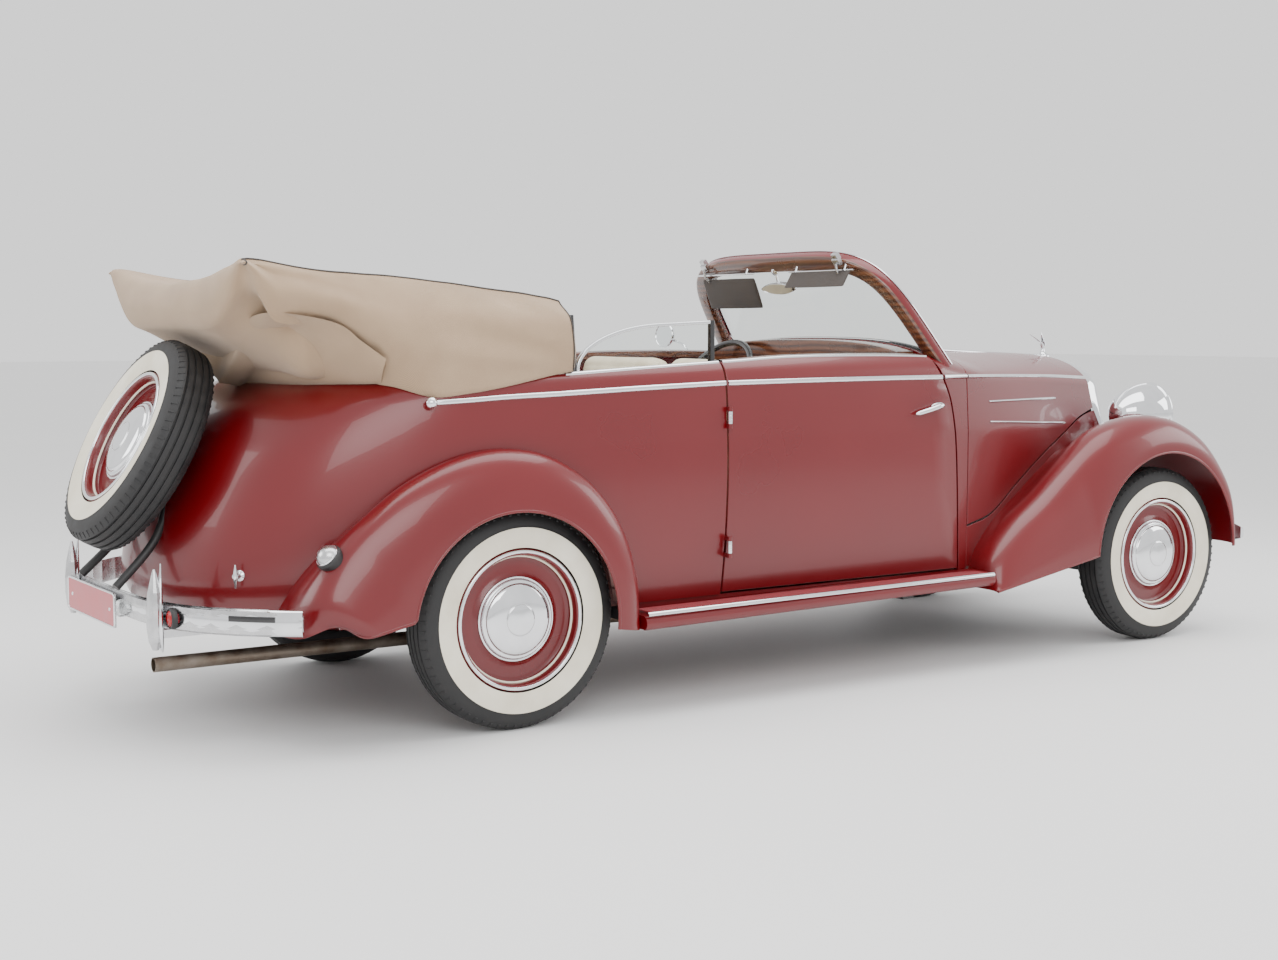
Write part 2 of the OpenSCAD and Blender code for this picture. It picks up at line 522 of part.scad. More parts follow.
module door() {
    n = SIDE_ROWS + 4;
    xs = [for (i = [0:12]) i / 12];
    function z_at(k, x) = k <= SIDE_ROWS ? mix(k == 0 ? sill_z + door_gap : sill_z, belt_at(x), k / SIDE_ROWS)
        : mix(belt_at(x), cap_at(x), sin(90 * (k - SIDE_ROWS) / 4));
    function point(k, t) =
        let (z0 = z_at(k, shut_x(900)), x = mix(shut_x(z0), door_rear_x, t), z = z_at(k, x)) [x, -skin_half(x, z), z];
    outer = [for (k = [0:n]) [for (t = xs) point(k, t)]];
    shell(outer, shifted(outer, [0, door_t, 0]));
    for (z = hinge_z) {
        difference() {
            union() {
                translate([hinge_x, -hinge_y, z]) cylinder(r = barrel_r, h = leaf_h, $fn = 32);
                translate([hinge_x + 0.6, -hinge_y, z]) cube([door_gap / 2 - 0.6 - seam, 84, leaf_h]);
            }
            translate([hinge_x, -hinge_y, z - 1]) cylinder(r = pin_r + bearing_gap, h = leaf_h + 2, $fn = 32);
        }
    }
}
hinge_y = body_half + hinge_out;
hinge_z = [480, 900];
barrel_r = 8;
pin_r = 4;
leaf_h = 40;
module door_right() color(cherry) placed() door();
module door_left() color(cherry) placed() mirror([0, 1, 0]) door();

// Sills, hinge pins and the hinge leaves on the body
module door_pillars() color(cherry) placed() both() mirror([0, 1, 0]) {
    translate([430, -body_half + 34, sill_z - 30]) cube([door_front_x + 20 - 430, 60, 30]);
    for (z = hinge_z) {
        translate([hinge_x, -hinge_y, z - 15]) cylinder(r = pin_r, h = leaf_h + 30, $fn = 32);
        for (dz = [-15, leaf_h + 0.5]) {
            translate([hinge_x, -hinge_y, z + dz]) cylinder(r = barrel_r, h = 14.5, $fn = 32);
            translate([hinge_x - door_gap / 2 + seam, -hinge_y, z + dz]) cube([door_gap / 2 - 0.6 - seam, 84, 14.5]);
        }
    }
}

module front_wing() {
    outer = [for (j = [0:13]) [for (i = [0:26]) wing_point(true, i / 26, j / 13)]];
    shell(outer, inset(outer, wing_t));
}
module rear_wing() {
    outer = [for (i = [0:26]) [for (j = [0:12]) wing_point(false, i / 26, j / 12)]];
    shell(outer, inset(outer, wing_t));
}
module front_wing_right() color(cherry) placed() front_wing();
module front_wing_left() color(cherry) placed() mirror([0, 1, 0]) front_wing();
module rear_wing_right() color(cherry) placed() rear_wing();
module rear_wing_left() color(cherry) placed() mirror([0, 1, 0]) rear_wing();

board_rear_x = REAR_CREST[0].x + 3;
board_front_x = wheelbase + FRONT_CREST[0].x - 3;
module running_boards() color(cherry) placed() both() {
    r = 20;
    y0 = body_half - 24;
    y1 = wing_y - 8;
    h = 46;
    rise = 22;
    section = concat([[y0, 0], [y1 - r, 0]], [for (a = [-75:15:90]) [y1 - r, r] + r * [cos(a), sin(a) * 1.15]],
        [[y0, h]]);
    translate([board_rear_x, 0, 274]) rotate([0, -atan2(rise, board_front_x - board_rear_x), 0])
        rotate([90, 0, 90]) linear_extrude(height = board_front_x - board_rear_x) polygon(section);
}

// ---- windscreen -------------------------------------------------------------
screen_x = 1774;
screen_z = 1098;
header_w = 78;
// Half outline of a rounded arch that narrows upwards, from its foot to the middle
function arch_outline(foot, top, w0, w1, n, steps) =
    [for (i = [0:steps]) let (a = 90 * i / steps, h = (top - foot) * pow0(sin(a), 2 / n))
        [-mix(w0, w1, h / (top - foot)) * pow0(cos(a), 2 / n), foot + h]];
function screen_point(p, back) =
    [screen_x - p.y * sin(screen_rake) - back * cos(screen_rake), p.x, screen_z + p.y * cos(screen_rake) - back * sin(screen_rake)];
screen_steps = 16;
screen_inner = arch_outline(-6, screen_h + 50, 518, 468, 6, screen_steps);
screen_outer = arch_outline(-30, screen_h + 50 + header_w, 648, 574, 5, screen_steps);
module windscreen_frame() {
    function face(back) = let (h = [for (i = [0:screen_steps])
        [screen_point(screen_outer[i], back + 8 * (1 - i / screen_steps)), screen_point(screen_inner[i], back)]])
        concat(h, [for (i = [screen_steps - 1:-1:0]) [for (p = h[i]) [p.x, -p.y, p.z]]]);
    color(cherry) placed() shell(face(-14), face(32));
}
module windscreen_glass() color([0.75, 0.82, 0.82, 0.4]) placed() {
    low = [for (y = [-500:100:500]) let (z = nose_z(1745, y) + 8) [y, (z - screen_z) / cos(screen_rake)]];
    half = [for (p = screen_inner) if (p.y > 14) [p.x + 1 + seam, p.y - seam]];
    outline = concat(half, [for (i = [len(half) - 2:-1:0]) [-half[i].x, half[i].y]], [for (i = [10:-1:0]) low[i]]);
    translate([screen_x, 0, screen_z]) rotate([0, -screen_rake, 0]) rotate([90, 0, 90])
        linear_extrude(height = glass_t) polygon(outline);
}
// Height of the bonnet and scuttle top at a place in plan
function nose_z(x, y) =
    let (zb = belt_at(x) - 45 * nose_t(x), k = clip(abs(y) / nose_half_at(x, zb)))
    zb + (table(CROWN, x) - zb) * pow0(1 - pow0(k, nose_n(x)), 1 / nose_n(x));

module quarter_windows() color([0.75, 0.82, 0.82, 0.4]) placed() both() {
    front = door_rear_x - door_gap - 18;
    back = front - 505;
    rise = 128;
    foot = [for (i = [0:6]) let (x = mix(front, back, i / 6)) [x, cap_at(x) - 0.5]];
    crown = [for (i = [0:10]) let (a = 90 * i / 10, x = back + 300 * (1 - cos(a)))
        [x, cap_at(x) - 0.5 + rise * pow0(sin(a), 0.9)]];
    translate([0, body_half - 60, 0]) rotate([90, 0, 0]) linear_extrude(height = glass_t)
        polygon(concat(foot, [for (i = [1:10]) crown[i]], [[front, cap_at(front) + rise]]));
}

// ---- lamps and bumpers --------------------------------------------------------
lamp_at = [wheelbase + 218, 450, 868];
module headlamps() color(chrome) placed() both() translate(lamp_at) {
    r = 115;
    len = 190;
    bowl = [for (i = [0:12]) [r * sin(90 * i / 12), -len * cos(90 * i / 12)]];
    rotate([0, 90, 0]) rotate_extrude($fn = 64)
        polygon(concat(bowl, [[r + 5, 0], [r + 5, 18], [r - 6, 22], [0.6 * r, 34], [0, 38]]));
    translate([-80, 0, -122]) cylinder(r = 19, h = 60, $fn = 32);
}

// A blade of height h through points [x, y]
module blade(path, z, h, t) {
    n = len(path) - 1;
    function out(i) = let (d = path[min(i + 1, n)] - path[max(i - 1, 0)]) unit([d.y, -d.x]);
    loft([for (i = [0:n]) let (o = out(i), p = path[i], k = i == 0 || i == n ? 0.6 : 1)
        [for (c = [[0, -0.5], [0, 0.5], [0.75, 0.42], [1, 0.2], [1, -0.2], [0.75, -0.42]])
            [p.x + o.x * c.x * t, p.y + o.y * c.x * t, z + c.y * h * k]]]);
}
module overrider() {
    // Pointed at the top, rounded below
    hs = [-95, -70, -30, 20, 70, 105, 135];
    ws = [10, 22, 28, 28, 22, 13, 4];
    loft([for (i = [0:6]) [for (a = [0:30:330]) [-12 - 22 + 24 * cos(a) * ws[i] / 28, ws[i] * sin(a), hs[i]]]]);
}
bumper_half = wing_y - 38;
rear_bumper_x = -1004;
function rear_blade_x(y) = rear_bumper_x + 296 * pow(abs(y) / bumper_half, 3.6);
function front_blade_x(y) = front_bumper_x - blade_t - 82 * pow(abs(y) / bumper_half, 2.4);
overrider_y = 400;
plate = [470, 100];
plate_y = 135;
// Iron that leaves the frame at a, passes below the panels and meets the blade at b
module bumper_iron(a, b) {
    bar = b > a ? 12 : -12;
    low = bumper_z - 73;
    high = bumper_z + 18;
    both() translate([0, rail_y + 20, 0]) rotate([90, 0, 0]) linear_extrude(height = 40)
        polygon([[a, high], [a, low], [b, low], [b, high], [b - bar, high], [b - bar, low + 24],
            [a + bar, low + 24], [a + bar, high]]);
}
module number_plate() {
    z = bumper_z - 22;
    x = rear_bumper_x - 28;
    difference() {
        translate([x, plate_y - plate.x / 2, z - plate.y / 2]) cube([4, plate.x, plate.y]);
        for (dy = [-190, 190]) translate([x - 1, plate_y + dy, z]) rotate([0, 90, 0]) cylinder(r = 3.5, h = 6, $fn = 32);
    }
    for (dy = [-150, 150]) translate([x + 3, plate_y + dy, z + 12]) rotate([0, 90, 0])
        cylinder(r = 7, h = rear_blade_x(plate_y + dy) - blade_t - seam - 0.3 - x - 3, $fn = 32);
}
module rear_bumper() color(chrome) placed() {
    blade([for (i = [0:24]) let (y = mix(bumper_half, -bumper_half, i / 24)) [rear_blade_x(y), y]],
        bumper_z, blade_h, blade_t);
    both() translate([rear_blade_x(overrider_y) - blade_t + 9, overrider_y, bumper_z]) overrider();
    number_plate();
    bumper_iron(frame_rear_x - seam, rear_blade_x(rail_y + 20) + seam);
}
module front_bumper() color(chrome) placed() {
    reach = bumper_half + 10;
    blade([for (i = [0:24]) let (y = mix(-reach, reach, i / 24)) [front_blade_x(y), y]], bumper_z, blade_h, blade_t);
    bumper_iron(frame_front_x + seam, front_blade_x(rail_y + 20) - seam);
}

// ---- cabin ----------------------------------------------------------------------
wheel_at = [1459, 342, 983];
column_tilt = 35;
module dashboard() color(wood) placed() {
    x = scuttle_top_x - rim_overhang - seam;
    depth = 84;
    half = 556;
    top = [for (k = [-10:10]) let (y = half * k / 10) [y, nose_z(x, y) - 4]];
    translate([x - depth, 0, 0]) rotate([90, 0, 90]) linear_extrude(height = depth) polygon(concat(
        [for (i = [20:-1:0]) top[i]], [[-half, 900], [half, 900]]));
    // Steering column
    translate(wheel_at) rotate([0, 90 + column_tilt, 0]) translate([0, 0, 16]) {
        cylinder(r = 21, h = 330, $fn = 32);
        translate([0, 0, -24]) cylinder(r = 9, h = 48, $fn = 32);
    }
    translate([x - 70, wheel_at.y - 14, 850]) cube([40, 28, 60]);
}
module steering_wheel() color(black) placed() translate(wheel_at) rotate([0, 90 + column_tilt, 0]) {
    rotate_extrude($fn = 72) translate([205, 0]) circle(r = 12, $fn = 24);
    difference() {
        union() {
            translate([0, 0, -14]) cylinder(r = 30, h = 28, $fn = 48);
            for (a = [0, 120, 240]) rotate([0, 0, a + 90]) translate([20, -9, -5]) cube([176, 18, 10]);
        }
        translate([0, 0, -9]) cylinder(r = 9 + bearing_gap, h = 40, $fn = 32);
    }
}

seat_z = sill_z + 0.5;
// Side outline of a seat: cushion with a leaning back, extruded to its width
module seat(x, z, cushion, back, w, lean) {
    translate([x, w / 2, z]) rotate([90, 0, 0]) linear_extrude(height = w) polygon([[0, 0], [cushion, 0],
        [cushion + 10, 150], [cushion - 20, 215], [120, 190], [130 - lean, back - 20], [100 - lean, back],
        [20 - lean, back - 10], [-30, 200]]);
}
module front_seats() color(cream) placed() for (y = [-290, 290]) translate([0, y, 0]) {
    seat(930, seat_z + 40, 520, 740, 500, 110);
    for (dy = [-180, 140]) translate([940, dy, seat_z]) cube([470, 40, 42]);
}
module rear_seat() color(cream) placed()
    seat(20, frame_top + kick + 20 + floor_t + 1, 490, 560, 2 * (wheel_y - tyre_w / 2 - 40), 100);

module soft_top() color(tan_cloth) placed() {
    LOW = [[-800, 1192], [-710, 1146], [-560, 1062], [-250, 1064], [192, 1082]];
    HIGH = [[-800, 1398], [-750, 1402], [-600, 1376], [-320, 1362], [0, 1324], [150, 1300], [192, 1262]];
    WIDE = [[-800, 585], [-700, 612], [-300, 622], [192, 612]];
    loft([for (i = [0:18]) let (x = mix(-800, 192, i / 18), z0 = table(LOW, x), z1 = table(HIGH, x), w = table(WIDE, x),
            r = min(60, (z1 - z0) / 3))
        [for (c = [[1, -1], [1, 1], [-1, 1], [-1, -1]]) for (a = [0:30:90])
            let (s = c.x * c.y < 0 ? a : 90 - a)
            [x, c.x * (w - r + r * sin(s > 90 ? 90 : s)), (c.y > 0 ? z1 - r : z0 + r) + c.y * r * cos(s)]]]);
}

tyre_front_left();
tyre_front_right();
tyre_rear_left();
tyre_rear_right();
wheel_front_left();
wheel_front_right();
wheel_rear_left();
wheel_rear_right();
spare_tyre();
spare_wheel();
spare_carrier();
knuckle_left();
knuckle_right();
front_springs();
rear_axle();
chassis_frame();
engine_block();
exhaust_pipe();
floor_pan();
rear_body();
scuttle();
engine_bay_sides();
bonnet_left();
bonnet_right();
bonnet_hinge();
radiator_grille();
door_left();
door_right();
door_pillars();
front_wing_left();
front_wing_right();
rear_wing_left();
rear_wing_right();
running_boards();
windscreen_frame();
windscreen_glass();
quarter_windows();
headlamps();
front_bumper();
rear_bumper();
dashboard();
steering_wheel();
front_seats();
rear_seat();
soft_top();
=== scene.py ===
import json
import logging
import math
from dataclasses import dataclass
from enum import Enum
from typing import Callable, Optional, Sequence

import bmesh
import bpy
from mathutils import Matrix, Vector, noise
from mathutils.bvhtree import BVHTree


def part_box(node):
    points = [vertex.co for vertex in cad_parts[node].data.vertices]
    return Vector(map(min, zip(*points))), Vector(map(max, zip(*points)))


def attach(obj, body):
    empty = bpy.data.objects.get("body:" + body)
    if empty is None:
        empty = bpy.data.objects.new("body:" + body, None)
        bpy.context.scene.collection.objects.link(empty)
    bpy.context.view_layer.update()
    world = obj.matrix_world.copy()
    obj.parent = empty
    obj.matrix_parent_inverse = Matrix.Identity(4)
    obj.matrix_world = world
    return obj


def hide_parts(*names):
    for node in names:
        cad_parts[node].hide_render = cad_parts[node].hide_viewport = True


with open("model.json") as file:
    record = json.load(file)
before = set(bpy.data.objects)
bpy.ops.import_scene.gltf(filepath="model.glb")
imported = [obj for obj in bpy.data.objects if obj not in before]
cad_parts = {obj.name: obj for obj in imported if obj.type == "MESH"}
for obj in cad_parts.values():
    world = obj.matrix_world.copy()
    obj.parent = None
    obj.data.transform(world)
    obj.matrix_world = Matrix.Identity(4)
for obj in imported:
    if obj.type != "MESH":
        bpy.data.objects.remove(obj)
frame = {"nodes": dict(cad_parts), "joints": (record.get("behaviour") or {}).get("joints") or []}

log = logging.getLogger("open_tourer")
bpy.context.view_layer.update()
MM = 0.001
Point = tuple[float, float, float]
Grid = list[list[Point]]
Table = Sequence[tuple[float, float]]


# ---- curves -----------------------------------------------------------------
def mix(a: float, b: float, t: float) -> float:
    """Value between a and b at share t."""
    return a + (b - a) * t


def clip(t: float) -> float:
    """Keeps t from 0 to 1."""
    return max(0.0, min(1.0, t))


def ease(t: float) -> float:
    """Smooth step from 0 to 1."""
    return (1 - math.cos(math.pi * clip(t))) / 2


def power(a: float, n: float) -> float:
    """Power of a number that is never below zero."""
    return max(a, 0.0) ** n


def smooth_table(rows: Table, x: float) -> float:
    """Reads a smooth curve through rows of (x, value).

    Args:
        rows: Points of the curve in rising x.
        x: Place to read, held inside the table.

    Returns:
        The curve's value at x.
    """
    last = len(rows) - 1

    def slope(i: int) -> float:
        """Rise of the curve at a row."""
        a, b = max(i - 1, 0), min(i + 1, last)
        return (rows[b][1] - rows[a][1]) / (rows[b][0] - rows[a][0])

    i = 0
    while i < last - 1 and x >= rows[i + 1][0]:
        i += 1
    width = rows[i + 1][0] - rows[i][0]
    t = clip((x - rows[i][0]) / width)
    m0, m1 = slope(i) * width, slope(i + 1) * width
    a, b = rows[i][1], rows[i + 1][1]
    return a + m0 * t + (3 * (b - a) - 2 * m0 - m1) * t * t + (2 * (a - b) + m0 + m1) * t ** 3


def smooth_path(points: Sequence[tuple], s: float) -> tuple:
    """Point at share s of a smooth path through points of any dimension.

    Args:
        points: Points of any dimension.
        s: Share of the path.

    Returns:
        The point.
    """
    n = len(points) - 1
    i = min(int(s * n), n - 1)
    t = s * n - i
    p0, p1, p2, p3 = points[max(i - 1, 0)], points[i], points[i + 1], points[min(i + 2, n)]
    out = []
    for a, b, c, d in zip(p0, p1, p2, p3):
        m1, m2 = (c - a) / 2, (d - b) / 2
        out.append(b + m1 * t + (3 * (c - b) - 2 * m1 - m2) * t * t + (2 * (b - c) + m1 + m2) * t ** 3)
    return tuple(out)


def steps(a: float, b: float, n: int) -> list[float]:
    """n + 1 even values from a to b."""
    return [mix(a, b, i / n) for i in range(n + 1)]


def curve(points: Sequence[tuple], n: int) -> list[tuple]:
    """n + 1 points of the smooth path through the given ones."""
    return [smooth_path(points, s) for s in steps(0, 1, n)]


def slab_faces(n: int) -> list[tuple]:
    """Faces of a slab whose front outline of n points comes before its rear one."""
    return [tuple(range(n)), tuple(reversed(range(n, 2 * n))),
            *[(i, n + i, n + (i + 1) % n, (i + 1) % n) for i in range(n)]]


# ---- body shape ---------------------------------------------------------------
class Side(Enum):
    """Side of the car, with the sign of its Y."""

    LEFT = 1
    RIGHT = -1


@dataclass(frozen=True)
class CarShape:
    """Sizes and curves of the car in millimetres, with X from the rear axle."""

    wheelbase: float = 2845
    body_half: float = 672
    sill_z: float = 340
    tyre_r: float = 335
    tyre_w: float = 140
    rim_r: float = 204
    wheel_y: float = 650
    wing_y: float = 785
    door_rear_x: float = 792
    door_front_x: float = 1838
    door_lean: float = 112
    door_t: float = 62
    door_gap: float = 8
    shell_t: float = 24
    wing_t: float = 14
    bonnet_t: float = 12
    bonnet_rear_x: float = 1900
    bonnet_front_x: float = 2910
    radiator_x: float = 2950
    apron_z: float = 452
    side_x: float = -60
    tail_n: float = 2.5
    arch_r: float = 397
    nose_half: float = 252
    inner_swing: float = 422
    sunk: float = 6
    wing_n: float = 2.5
    bonnet_pin_r: float = 7
    scuttle_front_x: float = 1895
    screen_x: float = 1774
    screen_z: float = 1098
    screen_h: float = 345
    screen_rake: float = 36
    bumper_z: float = 395
    hub_out: float = 34
    hub_cap_r: float = 119

    BELT = ((-900, 975), (-274, 990), (190, 1010), (475, 1021), (802, 1031), (1770, 1036), (2505, 1026),
            (2950, 1010))
    CAP = ((-900, 62), (-274, 60), (190, 58), (465, 62), (802, 68), (1104, 79), (1664, 74), (1900, 55))
    SIDE = ((-700, -26), (-520, -2), (-300, 12), (-120, 9), (0, 0), (35, -10), (60, -26), (82, -52))
    TAIL = ((330, -880), (430, -928), (520, -925), (640, -898), (740, -862), (850, -808), (930, -742),
            (990, -672), (1040, -575), (1080, -480))
    CROWN = ((1700, 1170), (1900, 1143), (2150, 1124), (2405, 1113), (2745, 1105), (2950, 1090))
    SHUT = ((340, 0), (760, 0.18), (947, 0.48), (1047, 1.0), (1115, 1.3))
    EDGE = ((1900, 500), (2070, 532), (2250, 627), (2425, 714), (2570, 777), (2750, 850), (2910, 885))
    FRONT_CREST = ((-937, -60), (-915, 52), (-795, 162), (-630, 268), (-475, 381), (-335, 481), (-185, 527),
                   (-45, 538), (95, 513), (225, 443), (320, 337), (377, 225), (393, 25))
    REAR_CREST = ((408, -62), (398, 105), (345, 265), (240, 400), (95, 490), (-65, 517), (-225, 491),
                  (-380, 422), (-500, 330), (-590, 245), (-655, 165), (-695, 85), (-716, 5))
    FRONT_INNER = ((0, 1), (0.2, 0.97), (0.42, 0.82), (0.58, 0.76), (0.8, 0.76), (1, 0.88))
    REAR_INNER = ((0, 0.985), (0.4, 0.97), (1, 0.985))
    FRONT_CREST_Y = ((0, 95), (0.3, 125), (0.6, 130), (1, 150))
    REAR_CREST_Y = ((0, 70), (0.4, 85), (0.7, 110), (1, 190))

    def belt(self, x: float) -> float:
        """Height of the belt line."""
        return smooth_table(self.BELT, x)

    def cap(self, x: float) -> float:
        """Height of the capping above the belt."""
        return self.belt(x) + smooth_table(self.CAP, x)

    def half(self, x: float, z: float) -> float:
        """Half width of the cabin's side at a height."""
        return self.body_half + smooth_table(self.SIDE, z - self.belt(x))

    def rear_point(self, u: float, z: float) -> Point:
        """Point of the rear body's right side; u runs from the door to the tail's middle.

        Args:
            u: Share of the way from the door to the tail's middle.
            z: Height above the ground.

        Returns:
            The point, in millimetres.
        """
        t = clip((u - 0.5) / 0.5)
        x0 = mix(self.door_rear_x - self.door_gap, self.side_x, clip(u / 0.5))
        s = power(math.sin(math.pi / 2 * t), 2 / self.tail_n)
        c = power(math.cos(math.pi / 2 * t), 2 / self.tail_n)
        x = x0 if u < 0.5 else mix(self.side_x, smooth_table(self.TAIL, z), s)
        return x, -self.half(max(x, self.side_x), z) * (1 if u < 0.5 else c), z

    def rear_half(self, x: float, z: float) -> float:
        """Half width of the rear body back to its tail."""
        k = clip((self.side_x - x) / (self.side_x - smooth_table(self.TAIL, z)))
        return self.half(max(x, self.side_x), z) * power(1 - power(k, self.tail_n), 1 / self.tail_n)

    def nose_t(self, x: float) -> float:
        """Share of the way from the windscreen to the radiator."""
        return clip((x - 1740) / (self.radiator_x - 1740))

    def nose_half_at(self, x: float, z: float) -> float:
        """Half width of the bonnet and the scuttle's sides."""
        width = mix(self.body_half - 2, self.nose_half, power(self.nose_t(x), 1.06))
        flare = min(self.belt(x) - z, 200) * mix(0.03, 0.30, self.nose_t(x))
        return min(width + max(flare, 0), self.half(x, z) + 1)

    def nose_n(self, x: float) -> float:
        """Roundness of the bonnet's section."""
        return mix(2.6, 1.75, ease((x - 1760) / 340))

    def nose_point(self, x: float, v: float, low: float) -> Point:
        """Right side of the bonnet: v from 0 low to 0.5 at the belt and 1 in the middle.

        Args:
            x: Place along the car.
            v: Share of the way up.
            low: Height of the lower edge.

        Returns:
            The point, in millimetres.
        """
        zb = self.belt(x) - 45 * self.nose_t(x)
        t = clip(2 * v - 1)
        if v <= 0.5:
            z = mix(low, zb, 2 * v)
            return x, -self.nose_half_at(x, z), z
        n, top = self.nose_n(x), smooth_table(self.CROWN, x)
        return (x, -self.nose_half_at(x, zb) * power(math.cos(math.pi / 2 * t), 2 / n),
                mix(zb, top, power(math.sin(math.pi / 2 * t), 2 / n)))

    def nose_z(self, x: float, y: float) -> float:
        """Height of the bonnet or the scuttle over a point.

        Args:
            x: Place along the car.
            y: Place across the car.

        Returns:
            The height.
        """
        zb = self.belt(x) - 45 * self.nose_t(x)
        k = clip(abs(y) / self.nose_half_at(x, zb))
        n = self.nose_n(x)
        return zb + (smooth_table(self.CROWN, x) - zb) * power(1 - power(k, n), 1 / n)

    def shut_x(self, z: float) -> float:
        """Front shut line of the doors."""
        return self.door_front_x - self.door_lean * smooth_table(self.SHUT, z)

    def skin_half(self, x: float, z: float) -> float:
        """Half width of the door and the scuttle."""
        return self.half(x, z) if x < 1740 else self.nose_half_at(x, z)

    def edge(self, x: float) -> float:
        """Lower edge of the bonnet's sides."""
        return smooth_table(self.EDGE, x)

    def apron_low(self, x: float) -> float:
        """Lower edge of the engine bay's sides."""
        return mix(self.sill_z + self.door_gap, self.apron_z, ease((x - 2180) / 190))

    def apron_half(self, x: float, z: float) -> float:
        """Half width of the engine bay's sides."""
        limit = self.inner_swing if x > self.wheelbase - 445 and z < 640 else self.body_half
        return (min(self.nose_half_at(x, z), limit)
                + (self.bonnet_t + 1) * clip((x - self.bonnet_front_x + 60) / 60))

    def lip(self, front: bool, s: float) -> tuple[float, float]:
        """Lower edge and wheel arch of a wing, about the wheel's centre.

        Args:
            front: True at the front.
            s: Share of the path.

        Returns:
            The place (x, z) from the centre.
        """
        at, r = ((-30, 15), self.tyre_r + 50) if front else ((-40, -10), self.tyre_r + 12)

        def arc(angle: float) -> tuple[float, float]:
            """Point of the wheel arch at an angle in degrees."""
            a = math.radians(angle)
            return at[0] + r * math.cos(a), at[1] + r * math.sin(a)

        if front:
            if s >= 1 / 3:
                return arc(mix(178, 0, (s - 1 / 3) * 1.5))
            a, b, t = (self.FRONT_CREST[0][0] + 4, self.FRONT_CREST[0][1] - 3), arc(178), 3 * s
        else:
            if s < 0.7:
                return arc(mix(-6, 172, s / 0.7))
            a, b, t = arc(172), (self.REAR_CREST[12][0] + 90, self.REAR_CREST[12][1] - 18), (s - 0.7) / 0.3
        return mix(a[0], b[0], t), mix(a[1], b[1], t)

    def wing_point(self, front: bool, s: float, t: float) -> Point:
        """Point of a right wing: s along it and t from the body to the lip.

        Args:
            front: True at the front.
            s: Share of the path.
            t: Share of the way from the body to the lip.

        Returns:
            The point, in millimetres.
        """
        crest_t = 0.34
        x0, z0 = (self.wheelbase if front else 0), self.tyre_r
        p = smooth_path(self.FRONT_CREST if front else self.REAR_CREST, s)
        lip = self.lip(front, s)
        k0 = smooth_table(self.FRONT_INNER if front else self.REAR_INNER, s)
        v = (p[0] * k0, p[1] * k0)
        yc = self.wing_y - smooth_table(self.FRONT_CREST_Y if front else self.REAR_CREST_Y, s)
        body = self.apron_half(v[0] + x0, v[1] + z0) if front else self.rear_half(v[0], v[1] + z0)
        yb = min(body, yc - 4) - self.sunk
        k, a = ease(t / crest_t), math.pi / 2 * clip((t - crest_t) / (1 - crest_t))
        if t < crest_t:
            q = (mix(v[0], p[0], k), mix(v[1], p[1], k))
            y = mix(yb, yc, t / crest_t)
        else:
            m = 1 - power(math.cos(a), 2 / self.wing_n)
            q = (mix(p[0], lip[0], m), mix(p[1], lip[1], m))
            y = mix(yc, self.wing_y, power(math.sin(a), 2 / self.wing_n))
        return x0 + q[0], -y, z0 + q[1]


CAR = CarShape()
ORIGIN_X = next(j for j in frame["joints"] if j["name"] == "wheel_rear_left_turn")["pos_m"][0]


def to_row(p: Sequence[float]) -> Vector:
    """Car millimetres to the row frame in metres."""
    return Vector((ORIGIN_X + p[0] * MM, p[1] * MM, p[2] * MM))


def mirrored(p: Sequence[float], side: Side) -> Point:
    """A right-hand point on the wanted side."""
    return p[0], (p[1] if side is Side.RIGHT else -p[1]), p[2]


